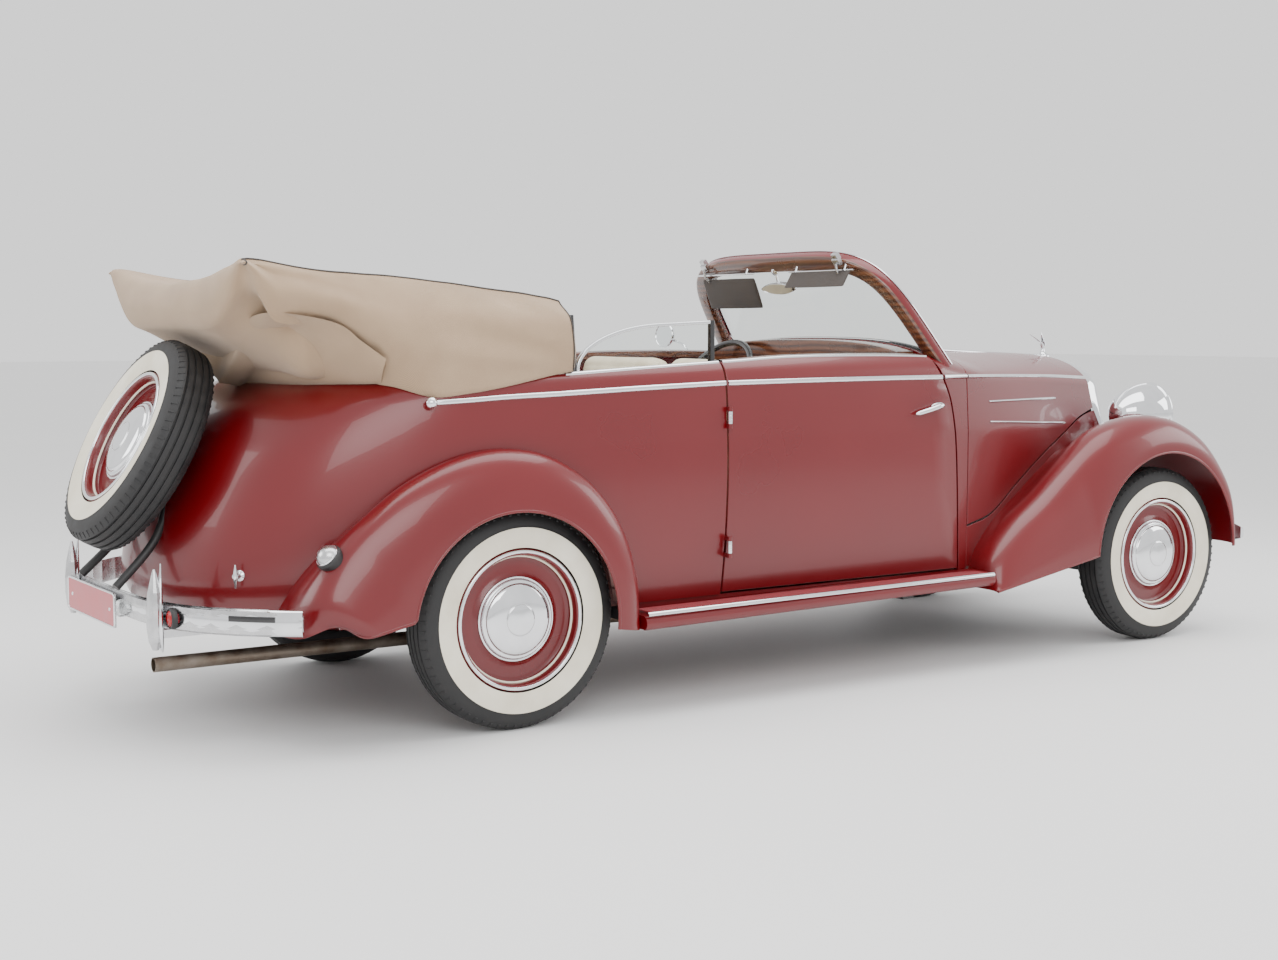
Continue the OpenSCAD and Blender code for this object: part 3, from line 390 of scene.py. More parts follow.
# ---- meshes ---------------------------------------------------------------------
class Piece:
    """Vertices, faces and materials of one visible piece, in car millimetres."""

    def __init__(self, name: str) -> None:
        """Starts an empty piece.

        Args:
            name: Name of the piece.
        """
        self.name = name
        self.points: list[Vector] = []
        self.faces: list[tuple[int, ...]] = []
        self.slots: list[int] = []

    def add(self, points: Sequence[Sequence[float]], faces: Sequence[Sequence[int]], slot: int = 0) -> None:
        """Adds points and the faces that join them.

        Args:
            points: Points, in millimetres.
            faces: Indices of the points of each face.
            slot: Material slot.
        """
        start = len(self.points)
        self.points += [Vector(p) for p in points]
        self.faces += [tuple(i + start for i in f) for f in faces]
        self.slots += [slot] * len(faces)

    def grid(self, rows: Grid, slot: int = 0, loop_rows: bool = False, loop_columns: bool = False,
             flip: bool = False, slot_of: Optional[Callable[[int, int], int]] = None) -> None:
        """Adds a sheet of quads through rows of points.

        Args:
            rows: Rows of equal length.
            slot: Material slot of the faces.
            loop_rows: Joins the last row to the first.
            loop_columns: Joins the last column to the first.
            flip: Turns the faces round.
            slot_of: Gives a face's slot from its row and column.
        """
        r, c = len(rows), len(rows[0])
        faces, slots = [], []
        for i in range(r if loop_rows else r - 1):
            for j in range(c if loop_columns else c - 1):
                a, b = i * c + j, i * c + (j + 1) % c
                d, e = ((i + 1) % r) * c + (j + 1) % c, ((i + 1) % r) * c + j
                faces.append((a, b, d, e) if not flip else (a, e, d, b))
                slots.append(slot_of(i, j) if slot_of else slot)
        self.add([p for row in rows for p in row], faces)
        self.slots[len(self.slots) - len(faces):] = slots

    def shell(self, outer: Grid, inner: Grid, slot: int = 0, inner_slot: Optional[int] = None) -> None:
        """Adds a closed panel between two sheets; the outer side is row step by column step.

        Args:
            outer: Outer sheet.
            inner: Inner sheet.
            slot: Material slot.
            inner_slot: Material slot of the inner sheet.
        """
        r, c = len(outer), len(outer[0])
        n = r * c
        skin = [(i * c + j, (i * c + j) + 1, (i + 1) * c + j + 1, (i + 1) * c + j)
                for i in range(r - 1) for j in range(c - 1)]
        skin = [(a, d, e, b) for a, b, e, d in skin]
        back = [(f[0] + n, f[3] + n, f[2] + n, f[1] + n) for f in skin]
        ring = ([(0, j) for j in range(c)] + [(i, c - 1) for i in range(1, r)]
                + [(r - 1, j) for j in range(c - 2, -1, -1)] + [(i, 0) for i in range(r - 2, 0, -1)])
        ids = [i * c + j for i, j in ring]
        rim = [(a, b, b + n, a + n) for a, b in zip(ids, ids[1:] + ids[:1])]
        points = [p for row in outer for p in row] + [p for row in inner for p in row]
        self.add(points, skin + rim, slot)
        start = len(self.points) - 2 * n
        self.faces += [tuple(i + start for i in f) for f in back]
        self.slots += [slot if inner_slot is None else inner_slot] * len(back)

    def lathe(self, profile: Sequence[tuple[float, float]], centre: Sequence[float], axis: Sequence[float],
              n: int = 64, slot: int = 0, slots: Optional[Sequence[int]] = None,
              closed: bool = False) -> None:
        """Turns a profile of (radius, height) about an axis.

        Args:
            profile: Points in order; faces look outwards when the height rises along it.
            centre: Point of the axis at height 0.
            axis: Direction of the axis.
            n: Number of sides.
            slot: Material slot.
            slots: One slot for each step of the profile.
            closed: Joins the last point to the first.
        """
        w = Vector(axis).normalized()
        u = w.orthogonal().normalized()
        v = w.cross(u)
        rows = [[Vector(centre) + w * h
                 + (u * math.cos(2 * math.pi * k / n) + v * math.sin(2 * math.pi * k / n)) * r
                 for k in range(n)] for r, h in profile]
        self.grid(rows, slot, loop_rows=closed, loop_columns=True,
                  slot_of=(lambda i, _: slots[i]) if slots else None)

    def sweep(self, path: Sequence[Sequence[float]], section: Sequence[tuple[float, float]],
              outs: Optional[Sequence[Sequence[float]]] = None, slot: int = 0,
              scale: Optional[Callable[[float], float]] = None, loop: bool = False) -> None:
        """Carries a closed section along a path.

        Args:
            path: Points of the path.
            section: Points (across, out), anticlockwise.
            outs: Direction of the section's out axis at each point; the world's up without it.
            slot: Material slot.
            scale: Size of the section against the share of the path.
            loop: Joins the path's end to its start.
        """
        pts = [Vector(p) for p in path]
        n = len(pts)
        rows = []
        for i, p in enumerate(pts):
            if loop:
                d = (pts[(i + 1) % n] - pts[i - 1]).normalized()
            else:
                d = (pts[min(i + 1, n - 1)] - pts[max(i - 1, 0)]).normalized()
            o = Vector(outs[i]) if outs else Vector((0, 0, 1))
            o = (o - d * o.dot(d)).normalized()
            a = d.cross(o)
            k = scale(i / (n - 1)) if scale else 1
            rows.append([p + a * (s[0] * k) + o * (s[1] * k) for s in section])
        start = len(self.points)
        self.grid(rows, slot, loop_rows=loop, loop_columns=True, flip=True)
        m = len(section)
        if not loop:
            self.faces += [tuple(start + j for j in range(m)),
                           tuple(start + (n - 1) * m + j for j in reversed(range(m)))]
            self.slots += [slot, slot]

    def tube(self, path: Sequence[Sequence[float]], radius: float, n: int = 12, slot: int = 0,
             scale: Optional[Callable[[float], float]] = None, loop: bool = False) -> None:
        """Adds a round bar along a path.

        Args:
            path: Points of the path.
            radius: Radius, in millimetres.
            n: Sides of the bar.
            slot: Material slot.
            scale: Size against the share of the path.
            loop: Joins the path's end to its start.
        """
        pts = [Vector(p) for p in path]
        d = (pts[1] - pts[0]).normalized()
        out, outs = d.orthogonal().normalized(), []
        for i in range(len(pts)):
            a, b = pts[max(i - 1, 0)], pts[min(i + 1, len(pts) - 1)]
            d = (b - a).normalized()
            out = (out - d * out.dot(d)).normalized()
            outs.append(out)
        self.sweep(pts, ring(radius, n), outs, slot, scale, loop)

    def block(self, low: Sequence[float], high: Sequence[float], slot: int = 0) -> None:
        """Adds a box between two corners, to be bevelled.

        Args:
            low: Corner with the smallest values.
            high: Corner with the largest values.
            slot: Material slot.
        """
        (x0, y0, z0), (x1, y1, z1) = low, high
        self.add([(x0, y0, z0), (x1, y0, z0), (x1, y1, z0), (x0, y1, z0),
                  (x0, y0, z1), (x1, y0, z1), (x1, y1, z1), (x0, y1, z1)],
                 [(0, 3, 2, 1), (4, 5, 6, 7), (0, 1, 5, 4), (1, 2, 6, 5), (2, 3, 7, 6), (3, 0, 4, 7)], slot)

    def make(self, materials: Sequence[bpy.types.Material], bevel: float = 0.0, segments: int = 2,
             subdivide: int = 0, sharp: float = 38, recalculate: bool = False,
             angle: float = 0.0) -> bpy.types.Object:
        """Builds the Blender object with its place in its mesh.

        Args:
            materials: Materials in slot order.
            bevel: Width of the rounded edges in metres.
            segments: Segments of the rounded edges.
            subdivide: Level of a subdivision surface.
            sharp: Angle in degrees above which an edge stays sharp.
            recalculate: Turns all faces outwards.
            angle: Angle above which edges are rounded, in degrees, or sharp's value when 0.

        Returns:
            The object, linked to the scene.
        """
        mesh = bpy.data.meshes.new(self.name)
        mesh.from_pydata([to_row(p) for p in self.points], [], self.faces)
        for polygon, slot in zip(mesh.polygons, self.slots):
            polygon.material_index = slot
        bm = bmesh.new()
        bm.from_mesh(mesh)
        bmesh.ops.remove_doubles(bm, verts=bm.verts, dist=2e-6)
        bmesh.ops.dissolve_degenerate(bm, edges=bm.edges, dist=1e-6)
        if recalculate:
            bmesh.ops.recalc_face_normals(bm, faces=bm.faces)
        for face in bm.faces:
            face.smooth = True
        for edge in bm.edges:
            if edge.is_manifold and edge.calc_face_angle(0.0) > math.radians(sharp):
                edge.smooth = False
        bm.to_mesh(mesh)
        bm.free()
        obj = bpy.data.objects.new(self.name, mesh)
        bpy.context.scene.collection.objects.link(obj)
        for material in materials:
            mesh.materials.append(material)
        if bevel:
            m = obj.modifiers.new("rounded_edges", "BEVEL")
            m.width, m.segments, m.limit_method = bevel, segments, "ANGLE"
            m.angle_limit = math.radians(angle or sharp)
            m.use_clamp_overlap = True
            w = obj.modifiers.new("even_shading", "WEIGHTED_NORMAL")
            w.keep_sharp = True
        if subdivide:
            m = obj.modifiers.new("smooth_form", "SUBSURF")
            m.levels = m.render_levels = subdivide
        return obj


def ring(radius: float, n: int, squash: float = 1.0) -> list[tuple[float, float]]:
    """Round or flattened section."""
    return [(radius * math.cos(2 * math.pi * k / n), radius * squash * math.sin(2 * math.pi * k / n))
            for k in range(n)]


def half_round(width: float, height: float, n: int = 8, sunk: float = 1.5) -> list[tuple[float, float]]:
    """Section of a half-round strip with its flat side a little below the surface."""
    top = [(width / 2 * math.cos(math.pi * k / n), height * math.sin(math.pi * k / n))
           for k in range(n + 1)]
    return [*top, (-width / 2, -sunk), (width / 2, -sunk)]


def normals(rows: Grid) -> list[list[Vector]]:
    """Outward direction at each point: row step by column step.

    Args:
        rows: Rows of points.

    Returns:
        A direction for each point.
    """
    r, c = len(rows) - 1, len(rows[0]) - 1
    out = []
    for i in range(r + 1):
        line = []
        for j in range(c + 1):
            a = Vector(rows[min(i + 1, r)][j]) - Vector(rows[max(i - 1, 0)][j])
            b = Vector(rows[i][min(j + 1, c)]) - Vector(rows[i][max(j - 1, 0)])
            line.append(a.cross(b).normalized())
        out.append(line)
    return out


def inset(rows: Grid, t: float) -> Grid:
    """Moves a sheet inwards by t."""
    return [[tuple(Vector(p) - n * t) for p, n in zip(row, line)] for row, line in zip(rows, normals(rows))]


def shifted(rows: Grid, v: Sequence[float]) -> Grid:
    """Moves a sheet by a vector."""
    return [[tuple(Vector(p) + Vector(v)) for p in row] for row in rows]


def on_side(rows: Grid, side: Side) -> Grid:
    """A right-hand sheet on the wanted side, with its faces still outwards."""
    if side is Side.RIGHT:
        return rows
    return [[mirrored(p, side) for p in reversed(row)] for row in rows]


# ---- finishes --------------------------------------------------------------------
def new_group(name: str, inputs: Sequence[tuple[str, str, object]],
              outputs: Sequence[tuple[str, str]]) -> tuple:
    """Starts a shader node group.

    Args:
        name: Name of the group.
        inputs: Rows of (name, socket type, value).
        outputs: Rows of (name, socket type).

    Returns:
        The group, its input node and its output node.
    """
    tree = bpy.data.node_groups.new(name, "ShaderNodeTree")
    for label, kind, value in inputs:
        socket = tree.interface.new_socket(label, in_out="INPUT", socket_type=kind)
        socket.default_value = value
    for label, kind in outputs:
        tree.interface.new_socket(label, in_out="OUTPUT", socket_type=kind)
    return tree, tree.nodes.new("NodeGroupInput"), tree.nodes.new("NodeGroupOutput")


FLOAT, COLOUR, VECTOR = "NodeSocketFloat", "NodeSocketColor", "NodeSocketVector"


class Effects:
    """Shared effects: cloudy colour, bumps, weave and wood."""

    def __init__(self) -> None:
        """Builds each group once."""
        self.cloud = self._cloud()
        self.grain = self._grain()
        self.weave = self._weave()
        self.timber = self._timber()

    @staticmethod
    def _noise(tree: bpy.types.NodeTree, vector: object, scale: object, detail: float) -> bpy.types.Node:
        """Noise texture on a vector.

        Args:
            tree: Node tree to add to.
            vector: Socket with the place to read.
            scale: Scale of the noise.
            detail: Detail of the noise.

        Returns:
            The noise node.
        """
        node = tree.nodes.new("ShaderNodeTexNoise")
        node.inputs["Detail"].default_value = detail
        tree.links.new(vector, node.inputs["Vector"])
        tree.links.new(scale, node.inputs["Scale"])
        return node

    def _cloud(self) -> bpy.types.NodeTree:
        """Two colours and two roughness values mixed by soft noise.

        Returns:
            The shader group.
        """
        tree, i, o = new_group("cloudy", [("Dark", COLOUR, (0, 0, 0, 1)), ("Light", COLOUR, (1, 1, 1, 1)),
                                          ("Scale", FLOAT, 6.0), ("Smooth", FLOAT, 0.2),
                                          ("Dull", FLOAT, 0.4)],
                               [("Color", COLOUR), ("Roughness", FLOAT)])
        where = tree.nodes.new("ShaderNodeTexCoord")
        noise = self._noise(tree, where.outputs["Object"], i.outputs["Scale"], 5.0)
        ramp = tree.nodes.new("ShaderNodeMapRange")
        ramp.inputs["From Min"].default_value, ramp.inputs["From Max"].default_value = 0.3, 0.7
        tree.links.new(noise.outputs["Fac"], ramp.inputs["Value"])
        blend = tree.nodes.new("ShaderNodeMix")
        blend.data_type = "RGBA"
        tree.links.new(ramp.outputs["Result"], blend.inputs["Factor"])
        tree.links.new(i.outputs["Dark"], blend.inputs[6])
        tree.links.new(i.outputs["Light"], blend.inputs[7])
        rough = tree.nodes.new("ShaderNodeMix")
        tree.links.new(ramp.outputs["Result"], rough.inputs["Factor"])
        tree.links.new(i.outputs["Smooth"], rough.inputs[2])
        tree.links.new(i.outputs["Dull"], rough.inputs[3])
        tree.links.new(blend.outputs[2], o.inputs["Color"])
        tree.links.new(rough.outputs[0], o.inputs["Roughness"])
        return tree

    def _grain(self) -> bpy.types.NodeTree:
        """Fine raised cells with a soft swell under them, as a height.

        Returns:
            The shader group.
        """
        tree, i, o = new_group("grained",
                               [("Cells", FLOAT, 400.0), ("Swell", FLOAT, 20.0), ("Depth", FLOAT, 0.5)],
                               [("Height", FLOAT)])
        where = tree.nodes.new("ShaderNodeTexCoord")
        cells = tree.nodes.new("ShaderNodeTexVoronoi")
        tree.links.new(where.outputs["Object"], cells.inputs["Vector"])
        tree.links.new(i.outputs["Cells"], cells.inputs["Scale"])
        noise = self._noise(tree, where.outputs["Object"], i.outputs["Swell"], 3.0)
        part = tree.nodes.new("ShaderNodeMath")
        part.operation = "MULTIPLY"
        tree.links.new(cells.outputs["Distance"], part.inputs[0])
        tree.links.new(i.outputs["Depth"], part.inputs[1])
        total = tree.nodes.new("ShaderNodeMath")
        total.operation = "ADD"
        tree.links.new(part.outputs[0], total.inputs[0])
        tree.links.new(noise.outputs["Fac"], total.inputs[1])
        tree.links.new(total.outputs[0], o.inputs["Height"])
        return tree

    def _weave(self) -> bpy.types.NodeTree:
        """Crossed threads: a height, and a mask of the raised threads that the finishes use to paint shade
        into the low places between them.

        Returns:
            The shader group.
        """
        tree, i, o = new_group("woven", [("Threads", FLOAT, 700.0)], [("Height", FLOAT), ("Mask", FLOAT)])
        where = tree.nodes.new("ShaderNodeTexCoord")
        split = tree.nodes.new("ShaderNodeSeparateXYZ")
        tree.links.new(where.outputs["Object"], split.inputs[0])
        waves = []
        for first, second in (("X", "Z"), ("Y", "Z")):
            total = tree.nodes.new("ShaderNodeMath")
            total.operation = "ADD" if first == "X" else "SUBTRACT"
            tree.links.new(split.outputs[first], total.inputs[0])
            tree.links.new(split.outputs[second], total.inputs[1])
            turn = tree.nodes.new("ShaderNodeMath")
            turn.operation = "MULTIPLY"
            tree.links.new(total.outputs[0], turn.inputs[0])
            tree.links.new(i.outputs["Threads"], turn.inputs[1])
            wave = tree.nodes.new("ShaderNodeMath")
            wave.operation = "SINE"
            tree.links.new(turn.outputs[0], wave.inputs[0])
            waves.append(wave)
        cross = tree.nodes.new("ShaderNodeMath")
        cross.operation = "MULTIPLY"
        for k in (0, 1):
            tree.links.new(waves[k].outputs[0], cross.inputs[k])
        ramp = tree.nodes.new("ShaderNodeMapRange")
        ramp.inputs["From Min"].default_value = -1.0
        tree.links.new(cross.outputs[0], ramp.inputs["Value"])
        tree.links.new(cross.outputs[0], o.inputs["Height"])
        tree.links.new(ramp.outputs["Result"], o.inputs["Mask"])
        return tree

    def _timber(self) -> bpy.types.NodeTree:
        """Stretched rings of figured wood.

        Returns:
            The shader group.
        """
        tree, i, o = new_group("timber", [("Dark", COLOUR, (0, 0, 0, 1)), ("Light", COLOUR, (1, 1, 1, 1)),
                                          ("Rings", FLOAT, 30.0)], [("Color", COLOUR), ("Height", FLOAT)])
        where = tree.nodes.new("ShaderNodeTexCoord")
        place = tree.nodes.new("ShaderNodeMapping")
        place.inputs["Scale"].default_value = (1.0, 0.16, 1.0)
        tree.links.new(where.outputs["Object"], place.inputs["Vector"])
        wave = tree.nodes.new("ShaderNodeTexWave")
        wave.wave_type, wave.bands_direction = "BANDS", "Z"
        wave.inputs["Distortion"].default_value = 7.0
        wave.inputs["Detail"].default_value = 4.0
        tree.links.new(place.outputs[0], wave.inputs["Vector"])
        tree.links.new(i.outputs["Rings"], wave.inputs["Scale"])
        blend = tree.nodes.new("ShaderNodeMix")
        blend.data_type = "RGBA"
        tree.links.new(wave.outputs["Fac"], blend.inputs["Factor"])
        tree.links.new(i.outputs["Dark"], blend.inputs[6])
        tree.links.new(i.outputs["Light"], blend.inputs[7])
        tree.links.new(blend.outputs[2], o.inputs["Color"])
        tree.links.new(wave.outputs["Fac"], o.inputs["Height"])
        return tree


class Relief(Enum):
    """Pattern that a finish raises."""

    NONE = "none"
    GRAIN = "grain"
    WEAVE = "weave"
    TIMBER = "timber"


@dataclass(frozen=True)
class Finish:
    """One material: two close colours, a roughness range and a relief."""

    name: str
    dark: Point
    light: Point
    smooth: float
    dull: float
    scale: float = 6.0
    metallic: float = 0.0
    coat: float = 0.0
    coat_roughness: float = 0.03
    sheen: float = 0.0
    transmission: float = 0.0
    ior: float = 1.5
    relief: Relief = Relief.NONE
    relief_scale: float = 400.0
    swell: float = 20.0
    depth: float = 0.5
    strength: float = 0.1
    distance: float = 0.0005

    def build(self, effects: Effects) -> bpy.types.Material:
        """Makes the material.

        Args:
            effects: The shared node groups.

        Returns:
            The new material.
        """
        material = bpy.data.materials.new(self.name)
        material.use_nodes = True
        tree = material.node_tree
        shader = tree.nodes["Principled BSDF"]
        shader.inputs["Metallic"].default_value = self.metallic
        shader.inputs["Coat Weight"].default_value = self.coat
        shader.inputs["Coat Roughness"].default_value = self.coat_roughness
        shader.inputs["Sheen Weight"].default_value = self.sheen
        shader.inputs["Sheen Roughness"].default_value = 0.5
        shader.inputs["Transmission Weight"].default_value = self.transmission
        shader.inputs["IOR"].default_value = self.ior
        cloud = tree.nodes.new("ShaderNodeGroup")
        cloud.node_tree = effects.cloud
        cloud.inputs["Dark"].default_value = (*self.dark, 1)
        cloud.inputs["Light"].default_value = (*self.light, 1)
        cloud.inputs["Scale"].default_value = self.scale
        cloud.inputs["Smooth"].default_value = self.smooth
        cloud.inputs["Dull"].default_value = self.dull
        colour = cloud.outputs["Color"]
        tree.links.new(cloud.outputs["Roughness"], shader.inputs["Roughness"])
        height = None
        if self.relief is Relief.GRAIN:
            group = tree.nodes.new("ShaderNodeGroup")
            group.node_tree = effects.grain
            group.inputs["Cells"].default_value = self.relief_scale
            group.inputs["Swell"].default_value = self.swell
            group.inputs["Depth"].default_value = self.depth
            height = group.outputs["Height"]
        elif self.relief is Relief.WEAVE:
            group = tree.nodes.new("ShaderNodeGroup")
            group.node_tree = effects.weave
            group.inputs["Threads"].default_value = self.relief_scale
            height = group.outputs["Height"]
            # Painted shade: the colour goes towards 72 % of the dark tone in the low places between the
            # raised threads.
            thread_hollow_shade = tree.nodes.new("ShaderNodeMix")
            thread_hollow_shade.data_type = "RGBA"
            tree.links.new(group.outputs["Mask"], thread_hollow_shade.inputs["Factor"])
            thread_hollow_shade.inputs[6].default_value = (*(c * 0.72 for c in self.dark), 1)
            tree.links.new(colour, thread_hollow_shade.inputs[7])
            colour = thread_hollow_shade.outputs[2]
        elif self.relief is Relief.TIMBER:
            group = tree.nodes.new("ShaderNodeGroup")
            group.node_tree = effects.timber
            group.inputs["Rings"].default_value = self.relief_scale
            group.inputs["Dark"].default_value = (*self.dark, 1)
            group.inputs["Light"].default_value = (*self.light, 1)
            height, colour = group.outputs["Height"], group.outputs["Color"]
        tree.links.new(colour, shader.inputs["Base Color"])
        if height is not None:
            bump = tree.nodes.new("ShaderNodeBump")
            bump.inputs["Strength"].default_value = self.strength
            bump.inputs["Distance"].default_value = self.distance
            tree.links.new(height, bump.inputs["Height"])
            tree.links.new(bump.outputs[0], shader.inputs["Normal"])
        return material


FINISHES = (
    Finish("cherry_gloss", (0.120, 0.0006, 0.0028), (0.140, 0.0009, 0.0036), 0.26, 0.33, scale=1.4,
           coat=0.35),
    Finish("cherry_satin", (0.12, 0.0022, 0.006), (0.15, 0.0032, 0.008), 0.34, 0.46, scale=9.0, coat=0.35,
           coat_roughness=0.18, relief=Relief.GRAIN, relief_scale=260.0, swell=40.0, strength=0.12),
    Finish("chrome", (0.74, 0.75, 0.77), (0.84, 0.85, 0.87), 0.035, 0.10, scale=14.0, metallic=1.0),
    Finish("dull_chrome", (0.52, 0.52, 0.53), (0.66, 0.66, 0.67), 0.20, 0.34, scale=30.0, metallic=1.0,
           relief=Relief.GRAIN, relief_scale=500.0, swell=60.0, strength=0.08),
    Finish("tyre_black", (0.010, 0.010, 0.011), (0.022, 0.021, 0.021), 0.56, 0.74, scale=24.0,
           relief=Relief.GRAIN, relief_scale=900.0, swell=70.0, strength=0.22),
    Finish("tyre_cream", (0.70, 0.64, 0.50), (0.83, 0.78, 0.65), 0.48, 0.62, scale=9.0,
           relief=Relief.GRAIN, relief_scale=700.0, swell=50.0, strength=0.12),
    Finish("cream_enamel", (0.72, 0.66, 0.52), (0.80, 0.75, 0.62), 0.20, 0.30, scale=12.0, coat=0.6),
    Finish("chassis_black", (0.012, 0.012, 0.013), (0.026, 0.025, 0.025), 0.38, 0.58, scale=18.0,
           relief=Relief.GRAIN, relief_scale=300.0, swell=55.0, strength=0.2),
    Finish("grey_iron", (0.14, 0.14, 0.145), (0.24, 0.235, 0.23), 0.44, 0.66, scale=22.0, metallic=0.7,
           relief=Relief.GRAIN, relief_scale=420.0, swell=80.0, strength=0.35),
    Finish("exhaust_steel", (0.13, 0.09, 0.06), (0.30, 0.26, 0.22), 0.40, 0.62, scale=16.0, metallic=0.85,
           relief=Relief.GRAIN, relief_scale=350.0, swell=40.0, strength=0.3),
    Finish("walnut", (0.055, 0.016, 0.008), (0.15, 0.052, 0.022), 0.22, 0.34, coat=0.8, coat_roughness=0.08,
           relief=Relief.TIMBER, relief_scale=14.0, strength=0.06),
    Finish("black_gloss", (0.008, 0.008, 0.009), (0.016, 0.015, 0.016), 0.16, 0.26, scale=20.0, coat=0.5),
    Finish("tan_canvas", (0.42, 0.285, 0.175), (0.54, 0.385, 0.25), 0.82, 0.94, scale=7.0, sheen=0.25,
           relief=Relief.WEAVE, relief_scale=2600.0, strength=0.5, distance=0.0006),
    Finish("dark_binding", (0.030, 0.020, 0.015), (0.055, 0.038, 0.028), 0.70, 0.85, scale=18.0, sheen=0.2,
           relief=Relief.WEAVE, relief_scale=3000.0, strength=0.4),
    Finish("cream_leather", (0.60, 0.51, 0.36), (0.72, 0.64, 0.48), 0.40, 0.55, scale=11.0, sheen=0.1,
           relief=Relief.GRAIN, relief_scale=420.0, swell=36.0, strength=0.28),
    Finish("floor_carpet", (0.10, 0.025, 0.022), (0.17, 0.05, 0.042), 0.92, 1.0, scale=60.0, sheen=0.4,
           relief=Relief.GRAIN, relief_scale=1400.0, swell=320.0, strength=0.9, distance=0.002),
    Finish("window_glass", (0.90, 0.94, 0.93), (0.93, 0.96, 0.95), 0.0, 0.02, scale=3.0, transmission=1.0,
           ior=1.2),
    Finish("lamp_glass", (0.90, 0.92, 0.92), (0.96, 0.97, 0.97), 0.02, 0.08, scale=40.0, transmission=0.85,
           ior=1.45),
    Finish("lamp_red", (0.42, 0.004, 0.008), (0.55, 0.008, 0.012), 0.06, 0.14, scale=30.0,
           transmission=0.35,
           relief=Relief.GRAIN, relief_scale=300.0, swell=20.0, strength=0.4),
    Finish("plate_red", (0.45, 0.055, 0.07), (0.54, 0.085, 0.10), 0.35, 0.5, scale=12.0, coat=0.3),
    Finish("board_rubber", (0.18, 0.006, 0.012), (0.22, 0.010, 0.017), 0.45, 0.6, scale=20.0,
           relief=Relief.GRAIN, relief_scale=500.0, swell=60.0, strength=0.2),
    Finish("mirror_glass", (0.86, 0.88, 0.90), (0.90, 0.92, 0.94), 0.0, 0.03, scale=5.0, metallic=1.0),
    Finish("dial_cream", (0.74, 0.70, 0.58), (0.82, 0.78, 0.66), 0.3, 0.45, scale=30.0, coat=0.4),
)


class Palette:
    """The finished materials by name."""

    def __init__(self) -> None:
        """Builds every finish once."""
        effects = Effects()
        self.made = {f.name: f.build(effects) for f in FINISHES}

    def __getitem__(self, name: str) -> bpy.types.Material:
        """The material of that name."""
        return self.made[name]


